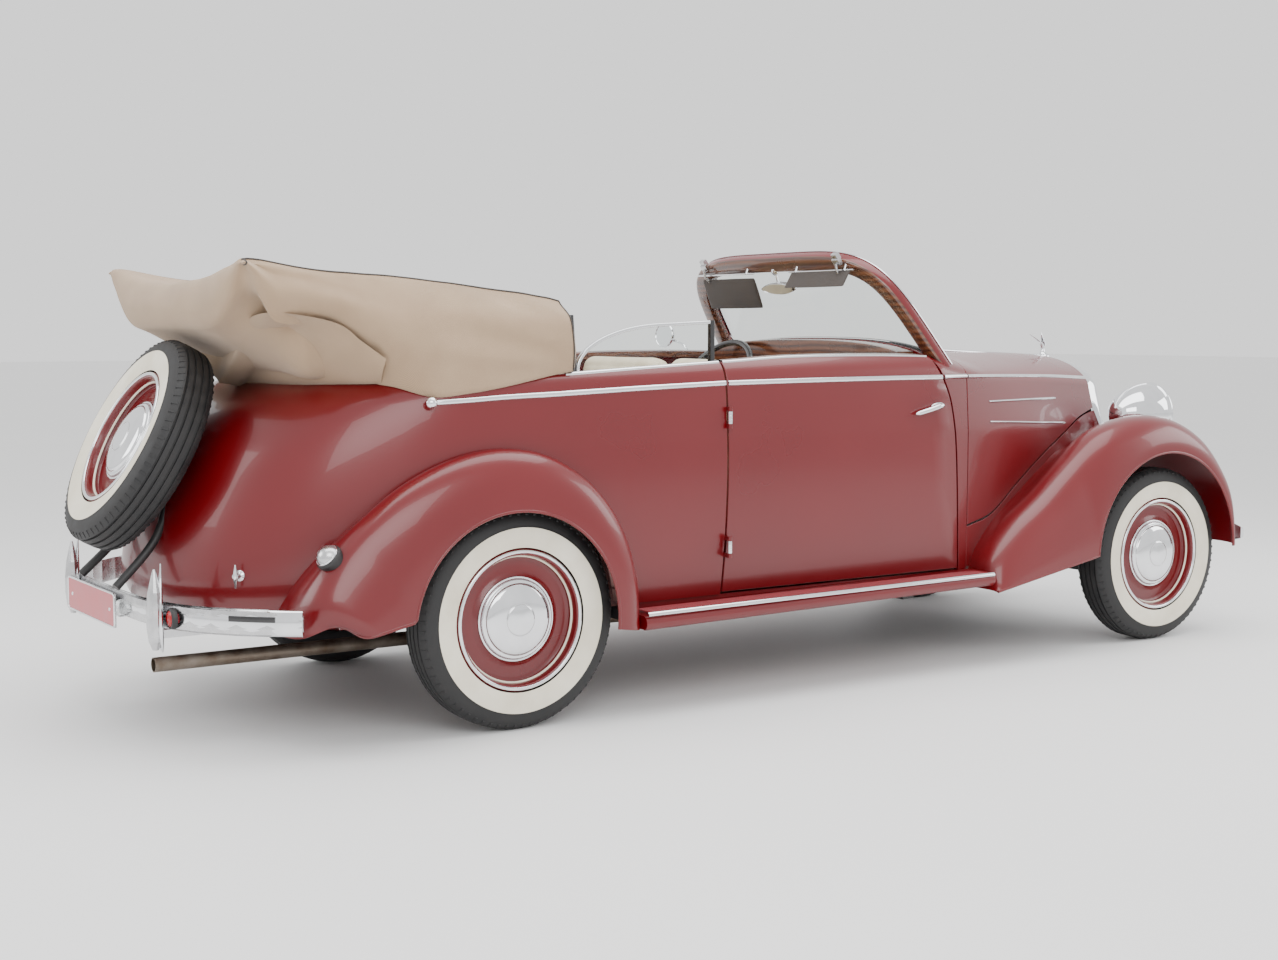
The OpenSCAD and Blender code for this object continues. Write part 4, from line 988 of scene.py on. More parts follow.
# ---- geometry nodes ---------------------------------------------------------------
class Repeater:
    """Places copies of a small piece on the points of a guide mesh with Geometry Nodes."""

    def __init__(self, name: str, material: bpy.types.Material) -> None:
        """Builds the tree.

        Args:
            name: Name of the tree.
            material: Finish of every copy.
        """
        tree = bpy.data.node_groups.new(name, "GeometryNodeTree")
        tree.interface.new_socket("Guide", in_out="INPUT", socket_type="NodeSocketGeometry")
        tree.interface.new_socket("Copy", in_out="INPUT", socket_type="NodeSocketObject")
        size = tree.interface.new_socket("Size", in_out="INPUT", socket_type=FLOAT)
        spread = tree.interface.new_socket("Spread", in_out="INPUT", socket_type=FLOAT)
        seed = tree.interface.new_socket("Seed", in_out="INPUT", socket_type="NodeSocketInt")
        size.default_value, spread.default_value, seed.default_value = 1.0, 0.0, 7
        tree.interface.new_socket("Geometry", in_out="OUTPUT", socket_type="NodeSocketGeometry")
        i, o = tree.nodes.new("NodeGroupInput"), tree.nodes.new("NodeGroupOutput")
        info = tree.nodes.new("GeometryNodeObjectInfo")
        place = tree.nodes.new("GeometryNodeInstanceOnPoints")
        turn = tree.nodes.new("GeometryNodeInputNamedAttribute")
        turn.data_type = "FLOAT_VECTOR"
        turn.inputs["Name"].default_value = "turn"
        vary = tree.nodes.new("FunctionNodeRandomValue")
        low, high = tree.nodes.new("ShaderNodeMath"), tree.nodes.new("ShaderNodeMath")
        low.operation, high.operation = "SUBTRACT", "ADD"
        for node in (low, high):
            tree.links.new(i.outputs["Size"], node.inputs[0])
            tree.links.new(i.outputs["Spread"], node.inputs[1])
        vary.data_type = "FLOAT"
        tree.links.new(low.outputs[0], vary.inputs[2])
        tree.links.new(high.outputs[0], vary.inputs[3])
        tree.links.new(i.outputs["Seed"], vary.inputs["Seed"])
        real = tree.nodes.new("GeometryNodeRealizeInstances")
        paint = tree.nodes.new("GeometryNodeSetMaterial")
        paint.inputs["Material"].default_value = material
        tree.links.new(i.outputs["Copy"], info.inputs["Object"])
        tree.links.new(i.outputs["Guide"], place.inputs["Points"])
        tree.links.new(info.outputs["Geometry"], place.inputs["Instance"])
        tree.links.new(turn.outputs["Attribute"], place.inputs["Rotation"])
        tree.links.new(vary.outputs[1], place.inputs["Scale"])
        tree.links.new(place.outputs[0], real.inputs[0])
        tree.links.new(real.outputs[0], paint.inputs["Geometry"])
        tree.links.new(paint.outputs[0], o.inputs[0])
        self.tree = tree

    def place(self, name: str, copy: "Piece", spots: Sequence[tuple[Vector, Matrix]], spread: float = 0.0,
              smooth: bool = True) -> bpy.types.Object:
        """Places the copy on every spot.

        Args:
            name: Name of the finished piece.
            copy: The small piece, made about the origin in millimetres.
            spots: Points in car millimetres with the copy's rotation.
            spread: Random share of the size.
            smooth: Shades the copies smooth.

        Returns:
            One plain mesh with all the copies.
        """
        small = bpy.data.meshes.new(name + "_one")
        small.from_pydata([p * MM for p in copy.points], [], copy.faces)
        for polygon in small.polygons:
            polygon.use_smooth = smooth
        one = bpy.data.objects.new(name + "_one", small)
        bpy.context.scene.collection.objects.link(one)
        guide_mesh = bpy.data.meshes.new(name)
        guide_mesh.from_pydata([to_row(p) for p, _ in spots], [], [])
        attribute = guide_mesh.attributes.new("turn", "FLOAT_VECTOR", "POINT")
        for k, (_, rotation) in enumerate(spots):
            attribute.data[k].vector = rotation.to_euler()
        guide = bpy.data.objects.new(name, guide_mesh)
        bpy.context.scene.collection.objects.link(guide)
        modifier = guide.modifiers.new("repeat", "NODES")
        modifier.node_group = self.tree
        sockets = {s.name: s.identifier for s in self.tree.interface.items_tree if s.in_out == "INPUT"}
        modifier[sockets["Copy"]] = one
        modifier[sockets["Size"]] = 1.0
        modifier[sockets["Spread"]] = spread
        modifier[sockets["Seed"]] = 7
        graph = bpy.context.evaluated_depsgraph_get()
        mesh = bpy.data.meshes.new_from_object(guide.evaluated_get(graph), depsgraph=graph)
        guide.modifiers.remove(modifier)
        guide.data = mesh
        bpy.data.objects.remove(one)
        return guide


# ---- sub-assemblies ------------------------------------------------------------------
def dress(obj: bpy.types.Object, body: str, *nodes: str, slot: Optional[str] = None) -> bpy.types.Object:
    """Lets a finished piece ride on its body and stand for CAD nodes.

    Args:
        obj: The piece.
        body: Body that it moves with.
        nodes: Nodes that it stands for.
        slot: Not used.

    Returns:
        The piece.
    """
    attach(obj, body)
    if nodes:
        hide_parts(*nodes)
    log.info("made %s on %s", obj.name, body)
    return obj


@dataclass
class Assembly:
    """Base of every sub-assembly."""

    paint: Palette

    def pick(self, *names: str) -> list[bpy.types.Material]:
        """Materials in slot order."""
        return [self.paint[n] for n in names]

    def fit(self, piece: Piece, finish: str, **options: float) -> bpy.types.Object:
        """Makes a piece of the fixed body in one finish.

        Args:
            piece: The drawn piece.
            finish: Its material.
            options: Bevel, edge angle and the like, as Piece.make has them.

        Returns:
            The Blender object.
        """
        return dress(piece.make(self.pick(finish), **options), "car_body")

    def finish_nodes(self, finish: str, *nodes: str) -> None:
        """Gives carried-over CAD nodes a finish.

        Args:
            finish: Name of the finish.
            nodes: CAD nodes.
        """
        for name in nodes:
            obj = frame["nodes"][name]
            if not obj.material_slots:
                obj.data.materials.append(self.paint[finish])
            for slot in obj.material_slots:
                slot.material = self.paint[finish]
            shade = obj.modifiers.new("even_shading", "WEIGHTED_NORMAL")
            shade.keep_sharp = True


@dataclass(frozen=True)
class WheelPlace:
    """Where a wheel stands and what carries it."""

    name: str
    centre: Point
    out: Point
    body: str
    tyre_node: str
    wheel_node: str


@dataclass
class Wheels(Assembly):
    """Four road wheels and the spare."""

    white_outer: float = 281
    white_inner: float = 219
    lean: float = 27.5
    spare_at: Point = (-918, 0, 858)
    sides: int = 96
    tread_ribs: int = 72

    def places(self) -> list[WheelPlace]:
        """Every wheel of the car.

        Returns:
            The four wheels and the spare.
        """
        out = []
        for end, x in (("front", CAR.wheelbase), ("rear", 0)):
            for side in Side:
                tag = f"{end}_{side.name.lower()}"
                out.append(WheelPlace(tag, (x, side.value * CAR.wheel_y, CAR.tyre_r), (0, side.value, 0),
                                      f"wheel_{tag}_spin", f"tyre_{tag}", f"wheel_{tag}"))
        a = math.radians(self.lean)
        out.append(WheelPlace("spare", self.spare_at, (-math.cos(a), 0, math.sin(a)), "car_body",
                              "spare_tyre", "spare_wheel"))
        return out

    def tyre(self, place: WheelPlace) -> None:
        """Tyre with a cream band, grooves and shoulder ribs.

        Args:
            place: Which wheel.
        """
        h, r = CAR.tyre_w / 2, CAR.tyre_r
        inner = [(204, 0.67), (217, 0.69), (219, 0.86), (232, 0.94), (244, 0.98), (272, 1.0), (290, 0.985),
                 (303, 0.94), (314, 0.87), (321, 0.80), (330, 0.64)]
        left = [(a, -b * h) for a, b in inner]
        tread = []
        for y in (-0.50, -0.17, 0.17, 0.50):
            c = r - 1.2 * abs(y) * 4
            tread += [(c, (y - 0.06) * h), (c - 6, (y - 0.045) * h), (c - 6, (y + 0.045) * h),
                      (c, (y + 0.06) * h)]
        right = [(330, 0.64 * h), (321, 0.80 * h), (314, 0.87 * h), (303, 0.94 * h), (290, 0.985 * h),
                 (283, 1.0 * h), (self.white_outer, 1.022 * h), (272, 1.03 * h), (244, 1.01 * h),
                 (232, 0.97 * h), (self.white_inner, 0.89 * h), (217, 0.69 * h), (204, 0.67 * h)]
        bore = [(204, 0.50 * h), (234, 0.76 * h), (272, 0.80 * h), (295, 0.74 * h), (313, 0.55 * h),
                (313, -0.55 * h), (295, -0.74 * h), (272, -0.80 * h), (234, -0.76 * h), (204, -0.50 * h)]
        profile = left + tread + right + bore
        first = len(left) + len(tread)
        white = set(range(first + 6, first + 10))
        slots = [1 if k in white else 0 for k in range(len(profile))]
        piece = Piece(f"{place.name}_tyre_cover")
        piece.lathe(profile, place.centre, place.out, self.sides, slots=slots, closed=True)
        dress(piece.make(self.pick("tyre_black", "tyre_cream"), sharp=34), place.body, place.tyre_node)
        rib = Piece("rib")
        rib.add([(-4.2, -11, -4), (4.2, -11, -4), (4.2, 11, -4), (-4.2, 11, -4), (-3.4, -10, 2.4),
                 (3.4, -10, 2.4),
                 (3.4, 10, 0.4), (-3.4, 10, 0.4)],
                [(0, 3, 2, 1), (4, 5, 6, 7), (0, 1, 5, 4), (1, 2, 6, 5), (2, 3, 7, 6), (3, 0, 4, 7)])
        w = Vector(place.out)
        u = w.orthogonal().normalized()
        v = w.cross(u)
        spots = []
        for k in range(self.tread_ribs):
            for sign in (-1, 1):
                a = 2 * math.pi * (k + (0.25 if sign > 0 else 0)) / self.tread_ribs
                radial = u * math.cos(a) + v * math.sin(a)
                out = (radial * 0.86 + w * sign * 0.5).normalized()
                y = w * sign
                y = (y - out * y.dot(out)).normalized()
                x = y.cross(out)
                at = Vector(place.centre) + radial * 324.5 + w * (sign * 0.735 * h)
                spots.append((at, Matrix((x, y, out)).transposed()))
        ribs = self.repeater.place(f"{place.name}_tyre_ribs", rib, spots, smooth=False)
        dress(ribs, place.body)

    def disc(self, place: WheelPlace) -> None:
        """Pressed wheel with its rings and domed cap.

        Args:
            place: Which wheel.
        """
        h, fit = CAR.tyre_w / 2, CAR.rim_r - 0.3
        profile = [(fit + 12, -0.80 * h), (fit + 12, -0.74 * h), (fit, -0.70 * h), (fit, 0.70 * h),
                   (fit + 12, 0.74 * h),
                   (fit + 13, 0.80 * h), (fit + 10, 0.87 * h), (fit + 2, 0.90 * h), (fit - 6, 0.84 * h),
                   (fit - 9, 0.70 * h), (fit - 10, 0.44 * h), (fit - 14, 0.30 * h), (fit - 22, 0.25 * h),
                   (178, 0.24 * h), (164, 0.245 * h), (150, 0.25 * h), (143, 0.27 * h), (134, 0.34 * h),
                   (126, 0.42 * h), (118, 0.47 * h), (106, 0.485 * h), (30, 0.485 * h), (20.5, 0.485 * h),
                   (20.5, -0.5 * h), (46, -0.5 * h), (46, 0.22 * h), (76, 0.22 * h), (106, 0.10 * h),
                   (fit - 26, 0.02 * h), (fit - 26, -0.3 * h), (fit - 9, -0.5 * h), (fit - 8, -0.84 * h)]
        piece = Piece(f"{place.name}_wheel_disc")
        piece.lathe(profile, place.centre, place.out, self.sides, closed=True)
        dress(piece.make(self.pick("cherry_gloss"), bevel=0.0012, sharp=40), place.body, place.wheel_node)
        ring_bars = Piece(f"{place.name}_wheel_rings")
        for r, y, wide, high, slot in ((207.5, 0.905, 5.6, 2.4, 0), (192.0, 0.53, 3.6, 2.4, 1),
                                       (126, 0.435, 4.4, 2.0, 0)):
            section = [(r - wide, y * h - 3), (r + wide, y * h - 3), (r + wide, y * h - 0.6),
                       (r + wide * 0.6, y * h + high * 0.7),
                       (r, y * h + high), (r - wide * 0.6, y * h + high * 0.7), (r - wide, y * h - 0.6)]
            ring_bars.lathe(section, place.centre, place.out, self.sides, slot=slot, closed=True)
        dress(ring_bars.make(self.pick("chrome", "cream_enamel"), recalculate=True, sharp=50), place.body)
        cap = Piece(f"{place.name}_hub_cap")
        y0, R = CAR.hub_out, CAR.hub_cap_r
        dome = [(R - 7, y0 - 3), (R + 1, y0 - 3), (R + 2.5, y0 + 0.5), (R + 1, y0 + 4), (R - 4, y0 + 5.5),
                (R - 7, y0 + 5.0), (R - 10, y0 + 6.5)]
        dome += [((R - 10) * math.cos(a), y0 + 6.5 + 19.5 * math.sin(a) ** 0.9)
                 for a in (math.pi / 2 * k / 16 for k in range(1, 12))]
        r1, y1 = dome[-1]
        dome += [(r1 - 3, y1 + 0.2), (r1 - 5, y1 + 2.2), (r1 - 9, y1 + 3.0), (0.01, y1 + 4.0)]
        cap.lathe(dome, place.centre, place.out, self.sides, slots=[0] * (len(dome) - 4) + [1, 0, 0, 0])
        dress(cap.make(self.pick("chrome", "dull_chrome"), sharp=60), place.body)

    def build(self) -> None:
        """Makes all five wheels."""
        self.repeater = Repeater("tread_repeat", self.paint["tyre_black"])
        for place in self.places():
            self.tyre(place)
            self.disc(place)


@dataclass
class BodyPanels(Assembly):
    """Painted panels with their real wall and rounded rims."""

    rim: float = 0.0022
    hinge_z: tuple[float, float] = (480, 900)

    def wings(self) -> None:
        """Front and rear wings with a rolled lip."""
        for front in (True, False):
            tag = "front" if front else "rear"
            ts, ss = steps(0, 1, 30), steps(0, 1, 72)
            if front:
                outer = [[CAR.wing_point(True, s, t) for s in ss] for t in ts]
            else:
                outer = [[self.rounded(CAR.wing_point(False, s, t), s, t) for t in ts] for s in ss]
            inner = inset(outer, CAR.wing_t * 0.35)
            for side in Side:
                piece = Piece(f"{tag}_wing_{side.name.lower()}_panel")
                piece.shell(on_side(outer, side), on_side(inner, side))
                obj = piece.make(self.pick("cherry_gloss"), bevel=self.rim)
                dress(obj, "car_body", f"{tag}_wing_{side.name.lower()}")
                lip = Piece(f"{tag}_wing_{side.name.lower()}_lip")
                path = outer[-1] if front else [row[-1] for row in outer]
                path = [mirrored(p, side) for p in path]
                path = [(p[0], p[1] - side.value * 3, p[2]) for p in path]
                lip.tube(path, 5.2, 10)
                self.fit(lip, "cherry_gloss")

    @staticmethod
    def rounded(p: Point, s: float, t: float) -> Point:
        """Rounds the rear wing's lower corner."""
        k = ease((s - 0.84) / 0.16) * ease((t - 0.30) / 0.7)
        return p[0] + 34 * k, p[1] + 62 * k, p[2] + 46 * k * k

    def rear(self) -> None:
        """Rear body from the doors round the tail."""
        side_rows, top_rows, deck_rows = 26, 8, 4
        us = steps(0, 1, 66)

        def low(u: float) -> float:
            """Lower edge of the body, raised over the wheel arch.

            Args:
                u: Share of the way along.

            Returns:
                The height.
            """
            x = CAR.rear_point(u, 500)[0]
            if x < -CAR.arch_r:
                return 352 + 20 * clip((-x - CAR.arch_r) / 400)
            if abs(x) < CAR.arch_r:
                return CAR.tyre_r + math.sqrt(max(CAR.arch_r ** 2 - x * x, 0))
            return CAR.sill_z

        def column_z(u: float, k: int) -> float:
            """Height of a row, from the lower edge up to the capping.

            Args:
                u: Share of the way along.
                k: Row.

            Returns:
                The height.
            """
            x = CAR.rear_point(u, CAR.belt(0))[0]
            zb, zc = CAR.belt(x), CAR.cap(x)
            if k <= side_rows:
                return mix(low(u), zb, k / side_rows)
            return mix(zb, zc, math.sin(math.pi / 2 * (k - side_rows) / top_rows))

        def deck(u: float, t: float) -> Point:
            """Point of the flat deck inside the capping.

            Args:
                u: Share of the way along.
                t: Share of the way across.

            Returns:
                The point, in millimetres.
            """
            a = CAR.rear_point(u, column_z(u, side_rows + top_rows))
            w = -a[1]
            if u < 0.5:
                b = (a[0], -(w - 48), a[2] - 2)
            else:
                b = (max(a[0] + 300 * power(math.sin(math.pi * (u - 0.5)), 0.7), -190),
                     -(CAR.body_half - 84) * min(1, (1 - u) * 9), a[2] + 8)
            return tuple(mix(m, n, t) for m, n in zip(a, b))

        half = [[CAR.rear_point(u, column_z(u, k)) if k <= side_rows + top_rows
                 else deck(u, (k - side_rows - top_rows) / deck_rows) for u in us]
                for k in range(side_rows + top_rows + deck_rows + 1)]
        full = [row + [(p[0], -p[1], p[2]) for p in reversed(row[:-1])] for row in half]
        piece = Piece("rear_body_panel")
        piece.shell(full, inset(full, CAR.shell_t * 0.5))
        dress(piece.make(self.pick("cherry_gloss"), bevel=self.rim, sharp=48), "car_body", "rear_body")

    def cowl(self) -> None:
        """Scuttle ahead of the doors."""
        xs0, top_x, n = CAR.scuttle_front_x, 1704, 56

        def rear_x(z: float) -> float:
            """Rear edge of the scuttle, along the door's shut line."""
            return top_x if z > 1132 else CAR.shut_x(z) + CAR.door_gap

        def point(v: float, t: float) -> Point:
            """Point of the scuttle: v up its side and t from its front to its rear edge.

            Args:
                v: Share of the way up.
                t: Share of the way across.

            Returns:
                The point, in millimetres.
            """
            z = CAR.nose_point(CAR.shut_x(900), v, CAR.sill_z)[2]
            x = mix(xs0, rear_x(z), t)
            q = CAR.nose_point(x, v, CAR.sill_z)
            return x, (-CAR.skin_half(x, q[2]) if v <= 0.5 else q[1]), q[2]

        half = [[point(v, t) for t in steps(0, 1, 12)] for v in steps(0, 1, n)]
        full = half + [[(p[0], -p[1], p[2]) for p in row] for row in reversed(half[:-1])]
        piece = Piece("scuttle_panel")
        inner = [[(*p[:2], p[2]) if i < 12 or p[2] > 1132 else (max(p[0], CAR.shut_x(p[2]) + CAR.door_gap),
                                                                p[1], p[2])
                  for i, p in enumerate(row)] for row in inset(full, CAR.shell_t)]
        piece.shell(full, inner)
        dress(piece.make(self.pick("cherry_gloss"), bevel=self.rim, sharp=48), "car_body", "scuttle")

    def engine_bay(self) -> None:
        """Inner wings between the bonnet and the front wings."""
        x0, x1 = CAR.scuttle_front_x + 0.3, CAR.wheelbase + 330

        def top_at(x: float) -> float:
            """Upper edge of the engine bay's side.

            Args:
                x: Place along the car.

            Returns:
                The height.
            """
            if x < CAR.bonnet_front_x:
                return CAR.edge(x) - 7
            return mix(CAR.edge(CAR.bonnet_front_x) - 60, CAR.apron_z + 40,
                       clip((x - CAR.bonnet_front_x) / (x1 - CAR.bonnet_front_x)))

        outer = []
        for k in range(15):
            row = []
            for x in steps(x1, x0, 60):
                z = mix(CAR.apron_low(x), top_at(x), k / 14)
                row.append((x, -CAR.apron_half(x, z), z))
            outer.append(row)
        piece = Piece("engine_bay_panels")
        for side in Side:
            piece.shell(on_side(outer, side), on_side(shifted(outer, (0, CAR.bonnet_t * 0.5, 0)), side))
        dress(piece.make(self.pick("cherry_gloss"), bevel=0.001, sharp=48), "car_body", "engine_bay_sides")

    def bonnets(self) -> None:
        """Two bonnet halves, each on its own hinge line."""
        strip = CAR.bonnet_pin_r + 2.4
        xs = steps(CAR.bonnet_front_x, CAR.bonnet_rear_x, 44)
        outer = []
        for k in range(49):
            row = []
            for x in xs:
                p = CAR.nose_point(x, k / 48, CAR.edge(x))
                row.append((p[0], min(p[1], -strip), p[2]))
            outer.append(row)
        inner = inset(outer, CAR.bonnet_t * 0.45)
        for side in Side:
            name = side.name.lower()
            piece = Piece(f"bonnet_{name}_panel")
            piece.shell(on_side(outer, side), on_side(inner, side))
            dress(piece.make(self.pick("cherry_gloss"), bevel=0.0014, sharp=50), f"{name}_bonnet",
                  f"bonnet_{name}")
            ribs = Piece(f"bonnet_{name}_stiffeners")
            for x in (2150, 2420, 2690):
                path = []
                for k in range(4, 44, 2):
                    p = CAR.nose_point(x, k / 48, CAR.edge(x))
                    q = Vector(mirrored(p, side))
                    path.append(q - Vector((0, q.y, q.z - 900)).normalized() * 11)
                ribs.tube(path, 7, 8)
            dress(ribs.make(self.pick("cherry_satin")), f"{name}_bonnet")

    def door_grid(self, depth: float = 0.0, low: float = 0.0, high: float = 1.0, front: float = 0.0,
                  back: float = 1.0, rows: int = 34, columns: int = 30) -> Grid:
        """Sheet of the right door, moved inwards by depth, between shares of its outline.

        Args:
            depth: Distance inwards.
            low: Lower end, as a share.
            high: Share of the rounded top edge.
            front: Front end, as a share.
            back: Rear end, as a share.
            rows: Number of steps up.
            columns: Number of steps along.

        Returns:
            Rows of points, in millimetres.
        """
        top = 6
        out = []
        for k in range(rows + top + 1):
            line = []
            for t in steps(front, back, columns):
                def z_at(x: float) -> float:
                    """Height of this row above the door's lower edge.

                    Args:
                        x: Place along the car.

                    Returns:
                        The height.
                    """
                    if k <= rows:
                        return mix(CAR.sill_z + (CAR.door_gap if low == 0 else 0), CAR.belt(x),
                                   mix(low, 1.0, k / rows))
                    return mix(CAR.belt(x), CAR.cap(x), high * math.sin(math.pi / 2 * (k - rows) / top))
                x = mix(CAR.shut_x(z_at(CAR.shut_x(900))), CAR.door_rear_x, t)
                z = z_at(x)
                line.append((x, -CAR.skin_half(x, z) + depth, z))
            out.append(line)
        return out

    def doors(self) -> None:
        """Doors with trim, pull, winder and outside handle."""
        for side in Side:
            name = side.name.lower()
            body = f"{name}_door"
            outer = self.door_grid()
            piece = Piece(f"door_{name}_panel")
            piece.shell(on_side(outer, side), on_side(shifted(outer, (0, CAR.door_t, 0)), side))
            dress(piece.make(self.pick("cherry_gloss"), bevel=self.rim, sharp=48), body, f"door_{name}")
            self.door_card(side, body)
            self.door_fittings(side, body)

    def door_card(self, side: Side, body: str) -> None:
        """Padded inner trim with sewn channels.

        Args:
            side: Side of the car.
            body: Body that the piece moves with.
        """
        name = side.name.lower()
        card = self.door_grid(depth=CAR.door_t, low=0.10, high=0.0, front=0.05, back=0.96, rows=24,
                              columns=72)[:25]
        swell = []
        for k, row in enumerate(card):
            line = []
            for i, p in enumerate(row):
                edge = min(k, 24 - k, 5) / 5
                side_edge = min(i, 72 - i, 4) / 4
                pleat = abs(math.sin(math.pi * i / 6)) ** 0.6 if 5 <= k <= 19 else 0.9
                line.append((p[0], p[1] + 0.6 + 9 * min(edge, side_edge) ** 0.5 * (0.45 + 0.55 * pleat),
                             p[2]))
            swell.append(line)
        piece = Piece(f"door_{name}_card")
        flat = [[(p[0], p[1] - 0.5, p[2]) for p in row] for row in card]
        back, face = on_side(flat, side), on_side(swell, side)
        piece.shell([list(reversed(r)) for r in face], [list(reversed(r)) for r in back])
        obj = piece.make(self.pick("cream_leather"), recalculate=True, sharp=70)
        dress(obj, body)

    def door_fittings(self, side: Side, body: str) -> None:
        """Outside handle, hinge barrels, inner handle, winder and a top rail.

        Args:
            side: Side of the car.
            body: Body that the piece moves with.
        """
        name = side.name.lower()
        sign = side.value
        x0, z0 = 1716, 937
        y = CAR.skin_half(x0, z0)
        piece = Piece(f"door_{name}_handle")
        plate_path = [(x0 + 12 - 13 * k, sign * (y - 1), z0 + 1 - 2.2 * k) for k in range(5)]
        piece.sweep(plate_path, half_round(26, 5), [(0, sign, 0)] * 5,
                    scale=lambda s: 0.45 + 0.55 * math.sin(math.pi * mix(0.12, 0.88, s)))
        grip = [(x0 - 2, sign * (y + 2), z0), (x0 - 6, sign * (y + 16), z0),
                (x0 - 20, sign * (y + 24), z0 - 1),
                (x0 - 62, sign * (y + 25), z0 - 11), (x0 - 104, sign * (y + 22), z0 - 21),
                (x0 - 128, sign * (y + 15), z0 - 27)]
        path = curve(grip, 24)
        piece.tube(path, 9, 14,
                   scale=lambda s: (0.72 + 0.35 * math.sin(math.pi * s)) * (1 if s < 0.9
                                                                            else 1 - (s - 0.9) * 6))
        dress(piece.make(self.pick("chrome"), bevel=0.0008, sharp=50), body)
        hinges = Piece(f"door_{name}_hinges")
        for z in self.hinge_z:
            at = (CAR.door_rear_x - CAR.door_gap / 2, sign * (CAR.body_half + 22), z)
            hinges.lathe([(4.06, 0), (7.2, 0), (8, 0.8), (8, 12.4), (7.4, 12.8), (7.4, 13.4), (8, 13.8),
                          (8, 26), (7.4, 26.4),
                          (7.4, 27), (8, 27.4), (8, 39.2), (7.2, 40), (4.06, 40)], at, (0, 0, 1), 32,
                         closed=True)
            x1 = at[0] + 0.6
            hinges.block((x1, min(at[1], at[1] - sign * 84), z),
                         (x1 + 3.0, max(at[1], at[1] - sign * 84), z + 40))
        dress(hinges.make(self.pick("chrome"), bevel=0.0004, sharp=50), body)
        inner = Piece(f"door_{name}_inner_fittings")
        yi = sign * (y - CAR.door_t - 11)
        for at, length, angle in (((1560, yi, 900), 92, 200), ((1320, yi, 820), 84, 250)):
            inner.lathe([(0.01, 0), (21, 0), (22, 2), (19, 5), (11, 6.5), (9, 15), (0.01, 16)], at,
                        (0, -sign, 0), 32)
            a = math.radians(angle)
            end = (at[0] + length * math.cos(a), at[1] - sign * 16, at[2] + length * math.sin(a))
            inner.tube([(mix(at[0], end[0], s), at[1] - sign * (11 + 5 * s), mix(at[2], end[2], s))
                        for s in steps(0, 1, 8)],
                       5.5, 12, scale=lambda s: 1 - 0.3 * s)
            inner.lathe([(0.01, -9), (8, -7), (9.5, 0), (8, 7), (0.01, 9)],
                        (end[0], end[1] - sign * 6, end[2]),
                        (0, -sign, 0), 24)
        obj = inner.make(self.pick("chrome"), recalculate=True)
        dress(obj, body)
        rail = Piece(f"door_{name}_top_rail")
        rows = []
        for x in steps(1688, CAR.door_rear_x + 6, 30):
            z, w = CAR.cap(x), CAR.half(x, CAR.cap(x))
            rows.append([(x, sign * (w + dy), z + dz) for dy, dz in
                         ((-4, 0.4), (-10, 5), (-26, 7), (-46, 6), (-60, 1), (-62, -22), (-58, -23),
                          (-56, -3), (-30, -2))])
        rail.grid(rows, loop_columns=True)
        obj = rail.make(self.pick("walnut"), recalculate=True, sharp=60)
        dress(obj, body)

    def boards(self) -> None:
        """Running boards with ribbed rubber and a bright edge."""
        x0, x1 = CAR.REAR_CREST[0][0] + 3, CAR.wheelbase + CAR.FRONT_CREST[0][0] - 3
        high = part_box("running_boards")[1]
        rise = 12.0

        def z_at(x: float) -> float:
            """Height of the board's top."""
            return mix(top0, top0 + rise, (x - x0) / (x1 - x0))

        top0 = high.z / MM - rise - 2
        self.finish_nodes("cherry_gloss", "running_boards")
        for side in Side:
            sign, name = side.value, side.name.lower()
            edge = Piece(f"running_board_{name}_edge")
            wide = high.y / MM
            path = [(x, sign * (wide - 3), z_at(x) - 4) for x in steps(x0 + 6, x1 - 6, 30)]
            edge.sweep(path, half_round(15, 4), [(0, sign * 0.8, 0.6)] * 31)
            self.fit(edge, "chrome", recalculate=True)
            mat = Piece(f"running_board_{name}_tread")
            for k in range(9):
                y = sign * (wide - 24 - 8.5 * k)
                path = [(x, y, z_at(x) - 1.5) for x in steps(x0 + 22, x1 - 22, 24)]
                mat.sweep(path, half_round(5, 2.6, 6), [(0, 0, 1)] * 25)
            self.fit(mat, "board_rubber", recalculate=True)

    def build(self) -> None:
        """Makes every painted panel."""
        self.wings()
        self.rear()
        self.cowl()
        self.engine_bay()
        self.bonnets()
        self.doors()
        self.boards()
        self.finish_nodes("cherry_gloss", "door_pillars")
        self.finish_nodes("chassis_black", "chassis_frame", "rear_axle", "front_springs", "knuckle_left",
                          "knuckle_right",
                          "spare_carrier")
        self.finish_nodes("chrome", "bonnet_hinge")
        self.finish_nodes("grey_iron", "engine_block")
        self.finish_nodes("exhaust_steel", "exhaust_pipe")
        self.finish_nodes("floor_carpet", "floor_pan")


